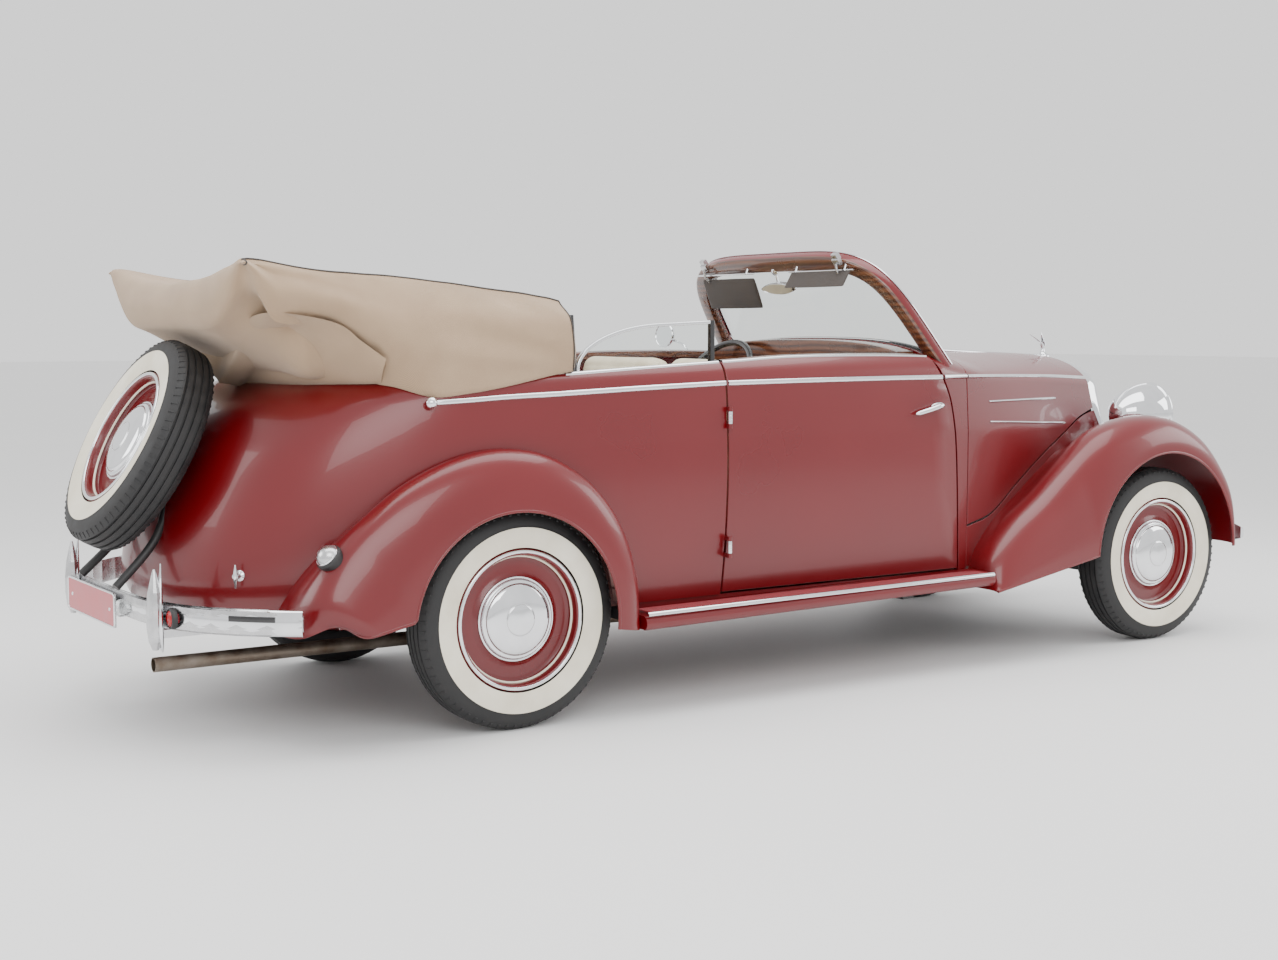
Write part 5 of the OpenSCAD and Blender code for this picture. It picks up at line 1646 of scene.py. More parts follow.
@dataclass
class BrightTrim(Assembly):
    """Chrome strips along the belt, the capping and the bonnet."""

    def strip(self, name: str, body: str, side: Side, path: Sequence[tuple[float, float]], width: float,
              height: float, half: Callable[[float, float], float], taper: bool = False) -> None:
        """One strip along the side through points (x, z).

        Args:
            name: Name of the piece.
            body: Body that the piece moves with.
            side: Side of the car.
            path: Points of the path.
            width: Width of the strip.
            height: How far it stands out.
            half: Half width of the car at a place and a height.
            taper: True for a thin end.
        """
        pts, outs = [], []
        for s in steps(0, 1, 60):
            x, z = smooth_path(path, s)
            y, slope = half(x, z), (half(x, z + 4) - half(x, z - 4)) / 8
            turn = (half(x + 10, z) - half(x - 10, z)) / 20
            out = Vector((-turn, 1, -slope)).normalized()
            pts.append((x, side.value * y, z))
            outs.append((out.x, side.value * out.y, out.z))
        piece = Piece(f"{name}_{side.name.lower()}")
        scale = (lambda s: 1 if s < 0.93 else 1 - 0.75 * ((s - 0.93) / 0.07) ** 2) if taper else None
        piece.sweep(pts, half_round(width, height, 8), outs, scale=scale)
        dress(piece.make(self.pick("chrome"), recalculate=True, sharp=60), body)

    def build(self) -> None:
        """Makes every strip."""
        gap = CAR.door_gap / 2
        for side in Side:
            name = side.name.lower()
            xr, xf = CAR.door_rear_x, CAR.shut_x(CAR.belt(1740))
            rear = [(xr - gap - 4, CAR.belt(xr)), (475, CAR.belt(475)), (190, CAR.belt(190)), (-20, 1003),
                    (-150, 996), (-262, 991)]
            self.strip("belt_strip_rear", "car_body", side, rear, 17, 6, CAR.rear_half)
            self.strip("belt_strip_door", f"{name}_door", side,
                       [(x, CAR.belt(x)) for x in steps(xf - 3, xr + 3, 8)], 17, 6, CAR.skin_half)
            self.strip("belt_strip_scuttle", "car_body", side,
                       [(x, CAR.belt(x)) for x in steps(CAR.scuttle_front_x - 1, xf + CAR.door_gap + 3, 4)],
                       17, 6, CAR.skin_half)
            line = [(x, CAR.belt(x) - 5 * CAR.nose_t(x))
                    for x in steps(CAR.bonnet_rear_x + 3, CAR.bonnet_front_x - 4, 12)]
            self.strip("belt_strip_bonnet", f"{name}_bonnet", side, line, 15, 5.5, self.nose_side)
            self.strip("upper_side_strip", f"{name}_bonnet", side,
                       [(2050, 939), (2220, 938), (2400, 937), (2590, 935)],
                       9, 4, CAR.nose_half_at, taper=True)
            self.strip("lower_side_strip", f"{name}_bonnet", side,
                       [(2050, 865), (2240, 856), (2440, 846), (2640, 837)],
                       9, 4, CAR.nose_half_at, taper=True)
            self.button(side)
            self.capping(side)

    @staticmethod
    def nose_side(x: float, z: float) -> float:
        """Half width of the bonnet over its shoulder.

        Args:
            x: Place along the car.
            z: Height above the ground.

        Returns:
            The half width.
        """
        zb = CAR.belt(x) - 45 * CAR.nose_t(x)
        if z <= zb:
            return CAR.nose_half_at(x, z)
        n, top = CAR.nose_n(x), smooth_table(CAR.CROWN, x)
        return CAR.nose_half_at(x, zb) * power(1 - power(clip((z - zb) / (top - zb)), n), 1 / n)

    def button(self, side: Side) -> None:
        """Round button that ends the belt strip.

        Args:
            side: Side of the car.
        """
        piece = Piece(f"belt_strip_button_{side.name.lower()}")
        x, z = -272, 991
        at = (x, side.value * (CAR.half(x, z) - 2), z)
        piece.lathe([(17, 0), (18, 2), (17.5, 6), (15, 10), (13, 11), (12, 12.6), (7, 15.2), (0.01, 16.2)],
                    at,
                    (0, side.value, 0), 40)
        self.fit(piece, "chrome", sharp=60)

    def capping(self, side: Side) -> None:
        """Bright line along the top of the door and the quarter.

        Args:
            side: Side of the car.
        """
        name = side.name.lower()
        for tag, body, xs in (("door", f"{name}_door", steps(1690, CAR.door_rear_x + 4, 30)),
                              ("rear", "car_body", steps(CAR.door_rear_x - 12, 196, 24))):
            pts = [(x, side.value * (CAR.half(x, CAR.cap(x)) - 1.5), CAR.cap(x) - 1) for x in xs]
            piece = Piece(f"capping_strip_{tag}_{name}")
            piece.sweep(pts, half_round(13, 5, 8), [(0, side.value * 0.75, 0.66)] * len(pts))
            dress(piece.make(self.pick("chrome"), recalculate=True, sharp=60), body)


@dataclass
class Nose(Assembly):
    """Radiator surround, slats, lamps, mascot and front bumper."""

    slats: int = 17
    lamp_at: Point = (3063, 450, 868)

    def outline(self, share: float = 1.0, low: Optional[float] = None) -> list[tuple[float, float]]:
        """Half outline of the radiator, from its foot over the top, scaled about its middle.

        Args:
            share: Size about the middle.
            low: Height of the feet; the apron's without it.

        Returns:
            Points (y, z).
        """
        n = 60
        half = [CAR.nose_point(CAR.radiator_x, i / n, CAR.apron_z if low is None else low)[1:]
                for i in range(n + 1)]
        full = half + [(-y, z) for y, z in reversed(half[:-1])]
        return [(y * share, 780 + (z - 780) * share) for y, z in full]

    def surround(self) -> None:
        """Chrome shell with a rolled front edge and the slats behind it."""
        x0 = CAR.bonnet_front_x + 4
        layers = [(x0, 1.0), (x0 + 4, 1.003), (x0 + 40, 1.0), (x0 + 58, 0.985), (x0 + 68, 0.962),
                  (x0 + 73, 0.93),
                  (x0 + 71, 0.895), (x0 + 62, 0.872), (x0 + 50, 0.865), (x0 + 8, 0.865), (x0 + 2, 0.88),
                  (x0, 0.95)]
        rows = [[(x, y, z) for y, z in self.outline(k)] for x, k in layers]
        piece = Piece("radiator_surround")
        piece.grid(rows, loop_rows=True, loop_columns=True)
        dress(piece.make(self.pick("chrome"), recalculate=True, sharp=50), "car_body", "radiator_grille")
        core = Piece("radiator_core")
        ring_points = [(x0 + 30, y, z) for y, z in self.outline(0.872)]
        behind = [(x0 + 14, y, z) for _, y, z in ring_points]
        n = len(ring_points)
        core.add(ring_points + behind, slab_faces(n))
        self.fit(core, "chassis_black", recalculate=True, bevel=0.001)
        inner = self.outline(0.872)
        bars = Piece("radiator_bars")
        for k in range(-self.slats, self.slats + 1):
            y = k * 12.2
            heights = [z for yy, z in inner if abs(yy - y) < 12 and z > 780]
            lows = [z for yy, z in inner if abs(yy - y) < 400 and z < 780]
            if not heights:
                continue
            z0, z1 = min(lows) + 2, max(heights) - 3
            wide = 9 if k == 0 else 2.4
            bars.sweep([(x0 + 52 - 0.00002 * (z - 780) ** 2, y, z) for z in steps(z0, z1, 14)],
                       [(wide, 0), (wide * 0.7, 4.5), (0, 6.5), (-wide * 0.7, 4.5), (-wide, 0), (-wide, -9),
                        (wide, -9)],
                       [(1, 0, 0)] * 15)
        self.fit(bars, "chrome", recalculate=True, sharp=40)
        feet = Piece("radiator_feet")
        for sign in (-1, 1):
            feet.block((x0 + 2, sign * 120 - 30, 384.4), (x0 + 26, sign * 120 + 30, 460))
        self.fit(feet, "chassis_black", bevel=0.003)

    def mascot(self) -> None:
        """Plain winged finial on the radiator cap."""
        base = (CAR.radiator_x - 13, 0, smooth_table(CAR.CROWN, CAR.radiator_x - 13) - 6)
        piece = Piece("radiator_finial")
        piece.lathe([(0.01, 0), (27, 0), (28, 5), (25, 11), (19, 14), (14, 18), (11, 26), (8, 34),
                     (7.5, 44), (10, 52),
                     (9, 62), (5.5, 78), (2.5, 100), (0.01, 112)], base, (-0.12, 0, 1), 32)
        for sign in (-1, 1):
            path = [(base[0] - 2 - 46 * s, sign * (3 + 30 * s ** 0.9), base[2] + 52 + 44 * s ** 0.8)
                    for s in steps(0, 1, 12)]
            piece.sweep(path, ring(11, 12, 0.28), [(0.3, 0, 1)] * 13, scale=lambda s: 1.05 - 0.85 * s)
        self.fit(piece, "chrome", recalculate=True, sharp=60)

    def lamps(self) -> None:
        """Head lamps with bowl, rim, glass, bulb and stalk."""
        for side in Side:
            sign, name = side.value, side.name.lower()
            at = (self.lamp_at[0], sign * self.lamp_at[1], self.lamp_at[2])
            bowl = Piece(f"head_lamp_{name}_bowl")
            r, deep = 115, 190
            outer = [(r * math.sin(a), -deep * math.cos(a))
                     for a in (math.pi / 2 * k / 28 for k in range(29))]
            outer[0] = (0.01, -deep)
            inner = [(r + 3, 3), (r + 5.5, 8), (r + 5.5, 15), (r + 2, 20), (r - 5, 22), (r - 8, 19),
                     (r - 8, 12), (r - 4, 6)]
            dish = [((r - 6) * math.sin(a), -deep * 0.62 * math.cos(a))
                    for a in (math.pi / 2 * k / 20 for k in range(20, -1, -1))]
            dish[-1] = (0.01, -deep * 0.62)
            bowl.lathe(outer + inner + dish, at, (1, 0, 0), 72)
            for k in range(3):
                bowl.tube([(at[0] - deep * math.cos(a) * 1.004, at[1], at[2] + (r * math.sin(a) + 0.6))
                           for a in (math.pi / 2 * s for s in steps(0.12, 0.97, 20))], 3.6 - k, 8)
            stalk = [(at[0] - 64, at[1], at[2] - 88), (at[0] - 76, at[1], at[2] - 104),
                     (at[0] - 84, at[1], at[2] - 124)]
            bowl.tube(curve(stalk, 10), 20, 20, scale=lambda s: 1 + 0.55 * s * s)
            dress(bowl.make(self.pick("chrome"), sharp=50), "car_body",
                  *(["headlamps"] if side is Side.LEFT else []))
            glass = Piece(f"head_lamp_{name}_glass")
            front = [((r - 8) * math.sin(a), 18 + 20 * math.cos(a))
                     for a in (math.pi / 2 * k / 16 for k in range(17))]
            front[0] = (0.01, 38)
            back = [((r - 8) * math.sin(a), 14 + 20 * math.cos(a))
                    for a in (math.pi / 2 * k / 16 for k in range(16, -1, -1))]
            back[-1] = (0.01, 34)
            glass.lathe(front + back, at, (1, 0, 0), 72)
            self.fit(glass, "lamp_glass", recalculate=True)
            bulb = Piece(f"head_lamp_{name}_bulb")
            bulb.lathe([(0.01, -84), (10, -82), (11, -64), (14, -56), (15, -46), (11, -36), (0.01, -31)],
                       at, (1, 0, 0), 24)
            self.fit(bulb, "dial_cream", recalculate=True)

    def bumper(self) -> None:
        """Gives the front bumper node its chrome finish."""
        self.finish_nodes("chrome", "front_bumper")

    def build(self) -> None:
        """Makes the nose."""
        self.surround()
        self.mascot()
        self.lamps()
        self.bumper()


@dataclass
class Tail(Assembly):
    """Rear bumper details, lamps, plate, spare wheel bracket and handle."""

    overrider_y: float = 400
    plate_x: float = -1032

    def blade_x(self, y: float) -> float:
        """Centre line of the rear bumper's outer face."""
        return -1004 + 296 * (abs(y) / 747) ** 3.6

    def bumper(self) -> None:
        """Blade, overriders and black strips painted as the shade of the end slots."""
        self.finish_nodes("dull_chrome", "rear_bumper")
        blade = Piece("rear_bumper_blade")
        ys = steps(745, -745, 96)
        section = [(-37, 0.2), (-36, 4), (-30, 9), (-18, 12.5), (0, 14.4), (18, 12.5), (30, 9), (36, 4),
                   (37, 0.2),
                   (33, 0.2), (30, 3), (18, 7), (0, 9), (-18, 7), (-30, 3), (-33, 0.2)]
        path, outs = [], []
        for y in ys:
            slope = (self.blade_x(y + 1) - self.blade_x(y - 1)) / 2
            path.append((self.blade_x(y), y, CAR.bumper_z))
            outs.append((-1, slope, 0))
        blade.sweep(path, section, outs)
        self.fit(blade, "chrome", recalculate=True, sharp=45)
        for side in Side:
            sign, name = side.value, side.name.lower()
            # Painted shade: a black gloss strip laid on the blade stands for the dark opening of each end
            # slot.
            slot = Piece(f"rear_bumper_slot_{name}")
            spath, souts = [], []
            for y in steps(sign * 606, sign * 700, 12):
                slope = (self.blade_x(y + 1) - self.blade_x(y - 1)) / 2
                spath.append((self.blade_x(y), y, CAR.bumper_z + 12))
                souts.append((-1, slope, 0))
            slot.sweep(spath, [(-8, 11.5), (8, 11.5), (8, 15.4), (5, 16.4), (-5, 16.4), (-8, 15.4)], souts)
            self.fit(slot, "black_gloss", recalculate=True)
            self.overrider(side)
            self.small_lamps(side)

    def overrider(self, side: Side) -> None:
        """Tall pointed guard, rounded below.

        Args:
            side: Side of the car.
        """
        y0 = side.value * self.overrider_y
        x0 = self.blade_x(y0) - 15
        zs = steps(-104, 150, 40)
        rows = []
        for z in zs:
            t = (z + 104) / 254
            wide = 30 * power(math.sin(math.pi * min(t * 1.9, 0.5) if t < 0.263 else math.pi / 2),
                              0.6) * (1 - 0.93 * ease((t - 0.36) / 0.64) ** 1.1)
            deep = 26 * power(math.sin(math.pi * min(t * 1.6, 0.5)),
                              0.7) * (1 - 0.82 * ease((t - 0.45) / 0.55))
            rows.append([(x0 - max(deep, 1.0) * (math.cos(a) * 0.5 + 0.5) - 2,
                          y0 + max(wide, 1.2) * math.sin(a), CAR.bumper_z + z)
                         for a in (2 * math.pi * k / 28 for k in range(28))])
        piece = Piece(f"rear_overrider_{side.name.lower()}")
        piece.grid(rows, loop_columns=True)
        n = len(piece.points)
        piece.faces += [tuple(range(28)), tuple(range(n - 28, n))]
        piece.slots += [0, 0]
        self.fit(piece, "chrome", recalculate=True, sharp=70)

    def small_lamps(self, side: Side) -> None:
        """Round reflector by the overrider and the tail lamp on the rear wing.

        Args:
            side: Side of the car.
        """
        sign, name = side.value, side.name.lower()
        y = sign * (self.overrider_y + 46)
        x = self.blade_x(y) - 13
        bezel = Piece(f"rear_reflector_{name}_bezel")
        bezel.lathe([(20, 0), (30, 0), (31, 3), (30, 13), (27, 16), (24.5, 16), (23.5, 12)],
                    (x, y, CAR.bumper_z - 2),
                    (-1, 0, 0), 40)
        self.fit(bezel, "chassis_black", recalculate=True, sharp=50)
        lens = Piece(f"rear_reflector_{name}_lens")
        lens.lathe([(24.6, 9), (24.4, 12), (22, 16), (16, 19), (8, 20.6), (0.01, 21)],
                   (x, y, CAR.bumper_z - 2), (-1, 0, 0), 40)
        self.fit(lens, "lamp_red", recalculate=True)
        at = Vector((-600, sign * 690, 560))
        out = Vector((-0.80, sign * 0.56, 0.2)).normalized()
        hit = self.on_panel(at + out * 200, -out)
        base, out = (hit if hit else (at, out))
        cup = Piece(f"wing_lamp_{name}_cup")
        cup.lathe([(0.01, -16), (36, -16), (38, -4), (40, 5), (40, 12), (36, 16), (32, 17), (31, 13)], base,
                  out, 40)
        self.fit(cup, "chassis_black", recalculate=True, sharp=50)
        glass = Piece(f"wing_lamp_{name}_lens")
        glass.lathe([(34, 12), (33.5, 17), (30, 27), (22, 36), (12, 41), (0.01, 43)], base, out, 40)
        self.fit(glass, "dull_chrome", recalculate=True)
        collar = Piece(f"wing_lamp_{name}_collar")
        collar.lathe([(31, 14), (35.5, 14), (36.5, 17), (35, 20), (31.5, 20)], base, out, 40, closed=True)
        self.fit(collar, "chrome", recalculate=True, sharp=60)

    def on_panel(self, start: Vector, way: Vector) -> Optional[tuple[Vector, Vector]]:
        """Point and direction where a line meets the painted body, in car millimetres.

        Args:
            start: Where the line starts.
            way: Direction of the line.

        Returns:
            The point and its outward direction, or None where the line misses.
        """
        best = None
        for name in ("rear_body", "rear_wing_left", "rear_wing_right"):
            mesh = frame["nodes"][name].data
            tree = BVHTree.FromPolygons([v.co for v in mesh.vertices],
                                        [p.vertices[:] for p in mesh.polygons])
            hit = tree.ray_cast(to_row(start), way, 3.0)
            if hit[0] is not None and (best is None or hit[3] < best[3]):
                best = hit
        if best is None:
            return None
        p = best[0]
        return Vector(((p.x - ORIGIN_X) / MM, p.y / MM,
                       p.z / MM)), best[1].normalized() * (1 if best[1].dot(way) < 0 else -1)

    def plate(self) -> None:
        """Blank plate in its frame with a lamp beside it."""
        x = self.plate_x
        z, y = CAR.bumper_z - 22, 135
        face = Piece("rear_plate_face")
        face.block((x - 2.2, y - 232, z - 47), (x - 0.2, y + 232, z + 47))
        self.fit(face, "plate_red", bevel=0.0008)
        border = Piece("rear_plate_border")
        path = rounded_rectangle(470, 100, 12, 6)
        border.tube([(x - 1.5, y + a, z + b) for a, b in path], 3.2, 10, loop=True)
        for dy in (-190, 190):
            border.lathe([(0.01, -3.4), (5, -3), (6.2, -1), (6.2, 1)], (x - 1.2, y + dy, z), (1, 0, 0), 20)
        self.fit(border, "chrome", recalculate=True)
        lamp = Piece("plate_lamp")
        lamp.sweep([(x + 8, -126 - 2 * k, z + 14) for k in range(16)], rounded_rectangle(34, 52, 10, 4),
                   [(0, 0, 1)] * 16,
                   scale=lambda s: 0.7 + 0.3 * math.sin(math.pi * mix(0.1, 0.9, s)))
        self.fit(lamp, "lamp_glass", recalculate=True)

    def handle(self) -> None:
        """Small T handle on the tail."""
        for side in Side:
            hit = self.on_panel(Vector((-1500, side.value * 450, 500)), Vector((1, 0, 0)))
            if not hit:
                continue
            base, out = hit
            piece = Piece(f"tail_handle_{side.name.lower()}")
            piece.lathe([(0.01, -2), (17, -2), (18, 1), (15, 5), (9, 7), (7, 12), (7, 26), (9, 29),
                         (0.01, 30)], base, out, 28)
            tip = base + out * 26
            piece.tube([tip + Vector((0, 0, 1)) * (34 * s) for s in steps(-1, 1, 12)], 6.5, 12,
                       scale=lambda s: 0.8 + 0.35 * math.cos(math.pi * 2 * (s - 0.5)))
            self.fit(piece, "chrome", recalculate=True, sharp=60)

    def bracket(self) -> None:
        """Bracket that steadies the spare wheel's top and the carrier's arms."""
        a = math.radians(27.5)
        out = Vector((-math.cos(a), 0, math.sin(a)))
        up = Vector((math.sin(a), 0, math.cos(a)))
        centre = Vector((-918, 0, 858))
        piece = Piece("spare_wheel_bracket")
        for sign in (-1, 1):
            ends = [centre - out * 78 + up * 60 + Vector((0, sign * 96, 0)),
                    centre - out * 110 + up * 40 + Vector((0, sign * 104, 0)),
                    centre - out * 150 + up * 0 + Vector((0, sign * 110, 0)),
                    centre - out * 215 - up * 20 + Vector((0, sign * 112, 0))]
            piece.tube([smooth_path([tuple(e) for e in ends], s) for s in steps(0, 1, 16)], 11, 12)
            lower = [centre - out * 78 - up * 90 + Vector((0, sign * 70, 0)),
                     centre - out * 120 - up * 140 + Vector((0, sign * 110, 0)),
                     centre - out * 120 - up * 260 + Vector((0, sign * 150, 0)),
                     centre - out * 70 - up * 420 + Vector((0, sign * 170, 0))]
            piece.tube([smooth_path([tuple(e) for e in lower], s) for s in steps(0, 1, 20)], 13, 12)
        self.fit(piece, "chassis_black")
        hub = Piece("spare_wheel_clamp")
        hub.lathe([(26, -104), (104, -96), (108, -88), (104, -80), (60, -74), (30, -72)], centre, out, 48)
        self.fit(hub, "dull_chrome", recalculate=True, sharp=50, bevel=0.001)

    def build(self) -> None:
        """Makes the tail."""
        self.bumper()
        self.plate()
        self.handle()
        self.bracket()


def rounded_rectangle(width: float, height: float, radius: float, n: int) -> list[tuple[float, float]]:
    """Closed outline of a rectangle with round corners.

    Args:
        width: Size across.
        height: Size upwards.
        radius: Radius, in millimetres.
        n: Steps on each corner.

    Returns:
        Points (across, up).
    """
    out = []
    for cx, cy, a0 in ((1, 1, 0), (-1, 1, 90), (-1, -1, 180), (1, -1, 270)):
        for k in range(n + 1):
            a = math.radians(a0 + 90 * k / n)
            out.append((cx * (width / 2 - radius) + radius * math.cos(a),
                        cy * (height / 2 - radius) + radius * math.sin(a)))
    return out


@dataclass
class Screen(Assembly):
    """Windscreen with its lining, visors, mirrors and wipers, and the quarter windows."""

    header: float = 62
    post: float = 62
    sill_x: float = 1745

    @staticmethod
    def arch(foot: float, top: float, w0: float, w1: float, n: float,
             count: int = 40) -> list[tuple[float, float]]:
        """Outline (y, height along the screen) of an arch from its right foot to its left foot.

        Args:
            foot: Height of the feet.
            top: Height of the top.
            w0: Half width at the feet.
            w1: Half width at the top.
            n: Roundness of the top.
            count: Number of steps on each half.

        Returns:
            Points (y, height).
        """
        half = []
        for i in range(count + 1):
            a = math.pi / 2 * i / count
            h = (top - foot) * power(math.sin(a), 2 / n)
            half.append((-mix(w0, w1, h / (top - foot)) * power(math.cos(a), 2 / n), foot + h))
        return half + [(-y, h) for y, h in reversed(half[:-1])]

    @staticmethod
    def at(y: float, up: float, back: float) -> Point:
        """Point of the raked screen plane."""
        s, c = math.sin(math.radians(CAR.screen_rake)), math.cos(math.radians(CAR.screen_rake))
        return (CAR.screen_x - up * s - back * c, y, CAR.screen_z + up * c - back * s)

    def outlines(self) -> tuple[list[tuple[float, float]], list[tuple[float, float]]]:
        """Outer and inner outline of the visible frame.

        Returns:
            The outer and the inner outline.
        """
        top = CAR.screen_h + 128
        outer = self.arch(-30, top, 648, 574, 5)
        inner = self.arch(-14, top - self.header, 648 - self.post, 574 - self.post, 5.6)
        return outer, inner

    def surround(self) -> None:
        """Painted frame with a timber lining on its rear side."""
        outer, inner = self.outlines()
        section = [(0.0, 12, 0), (0.0, -2, 0), (0.06, -10, 0), (0.2, -14, 0), (0.72, -14, 0), (0.9, -12, 0),
                   (0.98, -6, 0),
                   (1.0, 2, 0), (1.0, 10, 1), (1.0, 22, 1), (0.95, 29, 1), (0.85, 32, 1), (0.2, 32, 1),
                   (0.06, 29, 1),
                   (0.0, 22, 1)]
        rows = [[self.at(mix(o[0], i[0], u), mix(o[1], i[1], u), b) for o, i in zip(outer, inner)] for u, b,
                _ in section]
        piece = Piece("screen_surround")
        piece.grid(rows, loop_rows=True, slot_of=lambda r, _: section[(r + 1) % len(section)][2])
        columns, count = len(outer), len(section)
        piece.faces += [tuple(r * columns for r in range(count)),
                        tuple(r * columns + columns - 1 for r in reversed(range(count)))]
        piece.slots += [0, 0]
        dress(piece.make(self.pick("cherry_gloss", "walnut"), recalculate=True, sharp=50), "car_body",
              "windscreen_frame")
        bead = Piece("screen_bead")
        for u, b, w in ((0.96, -13.5, 9), (0.03, -9, 7)):
            path = [self.at(mix(o[0], i[0], u), mix(o[1], i[1], u), b) for o, i in zip(outer, inner)]
            front = Vector(self.at(0, 0, -1)) - Vector(self.at(0, 0, 0))
            bead.sweep(path, half_round(w, 4.5, 6), [tuple(front)] * len(path))
        self.fit(bead, "chrome", recalculate=True, sharp=60)
        sill = Piece("screen_sill")
        path = [(self.sill_x, y, CAR.nose_z(self.sill_x, y) + 4) for y in steps(-575, 575, 40)]
        sill.sweep(path, [(-16, -8), (16, -8), (16, 1), (9, 7), (0, 9), (-9, 7), (-16, 1)],
                   [(0, 0, 1)] * 41)
        self.fit(sill, "black_gloss", recalculate=True, sharp=60)

    def glass(self) -> None:
        """Flat laminated pane set in the frame."""
        _, inner = self.outlines()
        s = math.cos(math.radians(CAR.screen_rake))
        ring_points = [(y * 1.012, up + 2) for y, up in inner if up > 24]
        low = [(y, (CAR.nose_z(1745, y) + 7 - CAR.screen_z) / s) for y in steps(540, -540, 24)]
        outline = ring_points + low
        n = len(outline)
        piece = Piece("screen_pane")
        piece.add([self.at(y, up, -6) for y, up in outline] + [self.at(y, up, 0) for y, up in outline],
                  slab_faces(n))
        dress(piece.make(self.pick("window_glass"), recalculate=True), "car_body", "windscreen_glass")

    def visors(self) -> None:
        """Two padded visors on rods under the header."""
        top = CAR.screen_h + 128 - self.header
        for name, y0, y1, drop, swing in (("near", -455, -120, 26, 62), ("far", 120, 455, 118, 30)):
            pad = Piece(f"visor_{name}")
            rows = []
            for k in range(13):
                t = k / 12
                thick = 9 * power(math.sin(math.pi * mix(0.06, 0.94, t)), 0.5)
                up, back = top + 14 - drop * t - 0.2 * drop, 44 + swing * t
                rows.append((up, back, thick))
            ys = steps(y0, y1, 20)
            front, rear = [], []
            for up, back, thick in rows:
                edge = [power(math.sin(math.pi * mix(0.03, 0.97, j / 20)), 0.25) for j in range(21)]
                front.append([self.at(y, up, back - thick * e) for y, e in zip(ys, edge)])
                rear.append([self.at(y, up, back + thick * e) for y, e in zip(ys, edge)])
            pad.shell(front, rear)
            self.fit(pad, "dark_binding", recalculate=True, subdivide=1, sharp=180)
            rod = Piece(f"visor_{name}_rod")
            rod.tube([self.at(y, top + 10, 44) for y in steps(y0 - 14, y1 + 14, 6)], 3.4, 10)
            for y in (y0 + 30, y1 - 30):
                rod.tube([self.at(y, top + 26 - 3 * k, 26 + 4.5 * k) for k in range(6)], 4.5, 10)
            self.fit(rod, "chrome")

    def fittings(self) -> None:
        """Hanging mirror, header latches and wipers."""
        top = CAR.screen_h + 128 - self.header
        mirror = Piece("inner_mirror_body")
        stem = [self.at(0, top + 4, 26), self.at(0, top - 24, 34), self.at(0, top - 46, 44)]
        mirror.tube(curve(stem, 10), 5, 12)
        mirror.lathe([(0.01, -2), (15, -2), (16, 1), (12, 5), (0.01, 6)], self.at(0, top + 3, 30),
                     (-0.8, 0, -0.6), 24)
        outline = [(92 * math.cos(a) * (1 + 0.12 * math.cos(2 * a) ** 2), 25 * math.sin(a))
                   for a in (2 * math.pi * k / 48 for k in range(48))]
        rows = [[self.at(y * q, top - 58 + z * q, 44 + d) for y, z in outline]
                for q, d in ((0.2, -9), (0.6, -8), (0.9, -4), (1.0, 2), (1.0, 8), (0.95, 10), (0.92, 8.6))]
        mirror.grid(rows, loop_columns=True)
        self.fit(mirror, "chrome", recalculate=True, sharp=60)
        face = Piece("inner_mirror_face")
        n = len(outline)
        points = [self.at(y * 0.935, top - 58 + z * 0.935, 44 + d) for d in (9, -7) for y, z in outline]
        face.add(points, slab_faces(n))
        self.fit(face, "mirror_glass", recalculate=True)
        latch = Piece("header_latches")
        for y in (-400, 400):
            for up, back, w, d in ((top + 44, 40, 17, 15), (top + 62, 34, 13, 18)):
                path = [self.at(y - w, up, back), self.at(y - w / 3, up, back),
                        self.at(y + w / 3, up, back), self.at(y + w, up, back)]
                latch.sweep(path, rounded_rectangle(26, d, 4, 3), [(-0.8, 0, -0.6)] * 4)
            latch.tube([smooth_path([self.at(y, top + 40, 50), self.at(y, top + 12, 60),
                                     self.at(y, top - 14, 54)], s) for s in steps(0, 1, 8)],
                       5, 10, scale=lambda s: 1.1 - 0.3 * s)
        self.fit(latch, "dull_chrome", recalculate=True, sharp=60)
        wipers = Piece("wipers")
        rubber = Piece("wiper_blades")
        for sign in (-1, 1):
            y0 = sign * 250
            pivot = self.at(y0, 30, -26)
            wipers.lathe([(0.01, -16), (14, -16), (15, -4), (12, 6), (6, 11), (0.01, 12)], pivot,
                         (0.8, 0, 0.6), 24)
            end = (y0 - 165, 60)
            arm = [self.at(y0, 30, -26), self.at(mix(y0, end[0], 0.5), 50, -27),
                   self.at(end[0], end[1] - 5, -17)]
            wipers.tube(curve(arm, 12), 3.6, 8, scale=lambda s: 1.1 - 0.45 * s)
            blade = [self.at(end[0] - 128, 44, -9.5), self.at(end[0], 58, -9.5),
                     self.at(end[0] + 128, 64, -9.5)]
            wipers.sweep(curve(blade, 14), rounded_rectangle(5, 5, 1, 2), [(0.8, 0, 0.6)] * 15)
            rubber.sweep([(p[0] - 2.2, p[1], p[2] - 1.6)
                          for p in (smooth_path(blade, s) for s in steps(0, 1, 14))],
                         rounded_rectangle(3, 6, 1, 2), [(0.8, 0, 0.6)] * 15)
        self.fit(wipers, "dull_chrome", recalculate=True, sharp=60)
        self.fit(rubber, "tyre_black", recalculate=True)

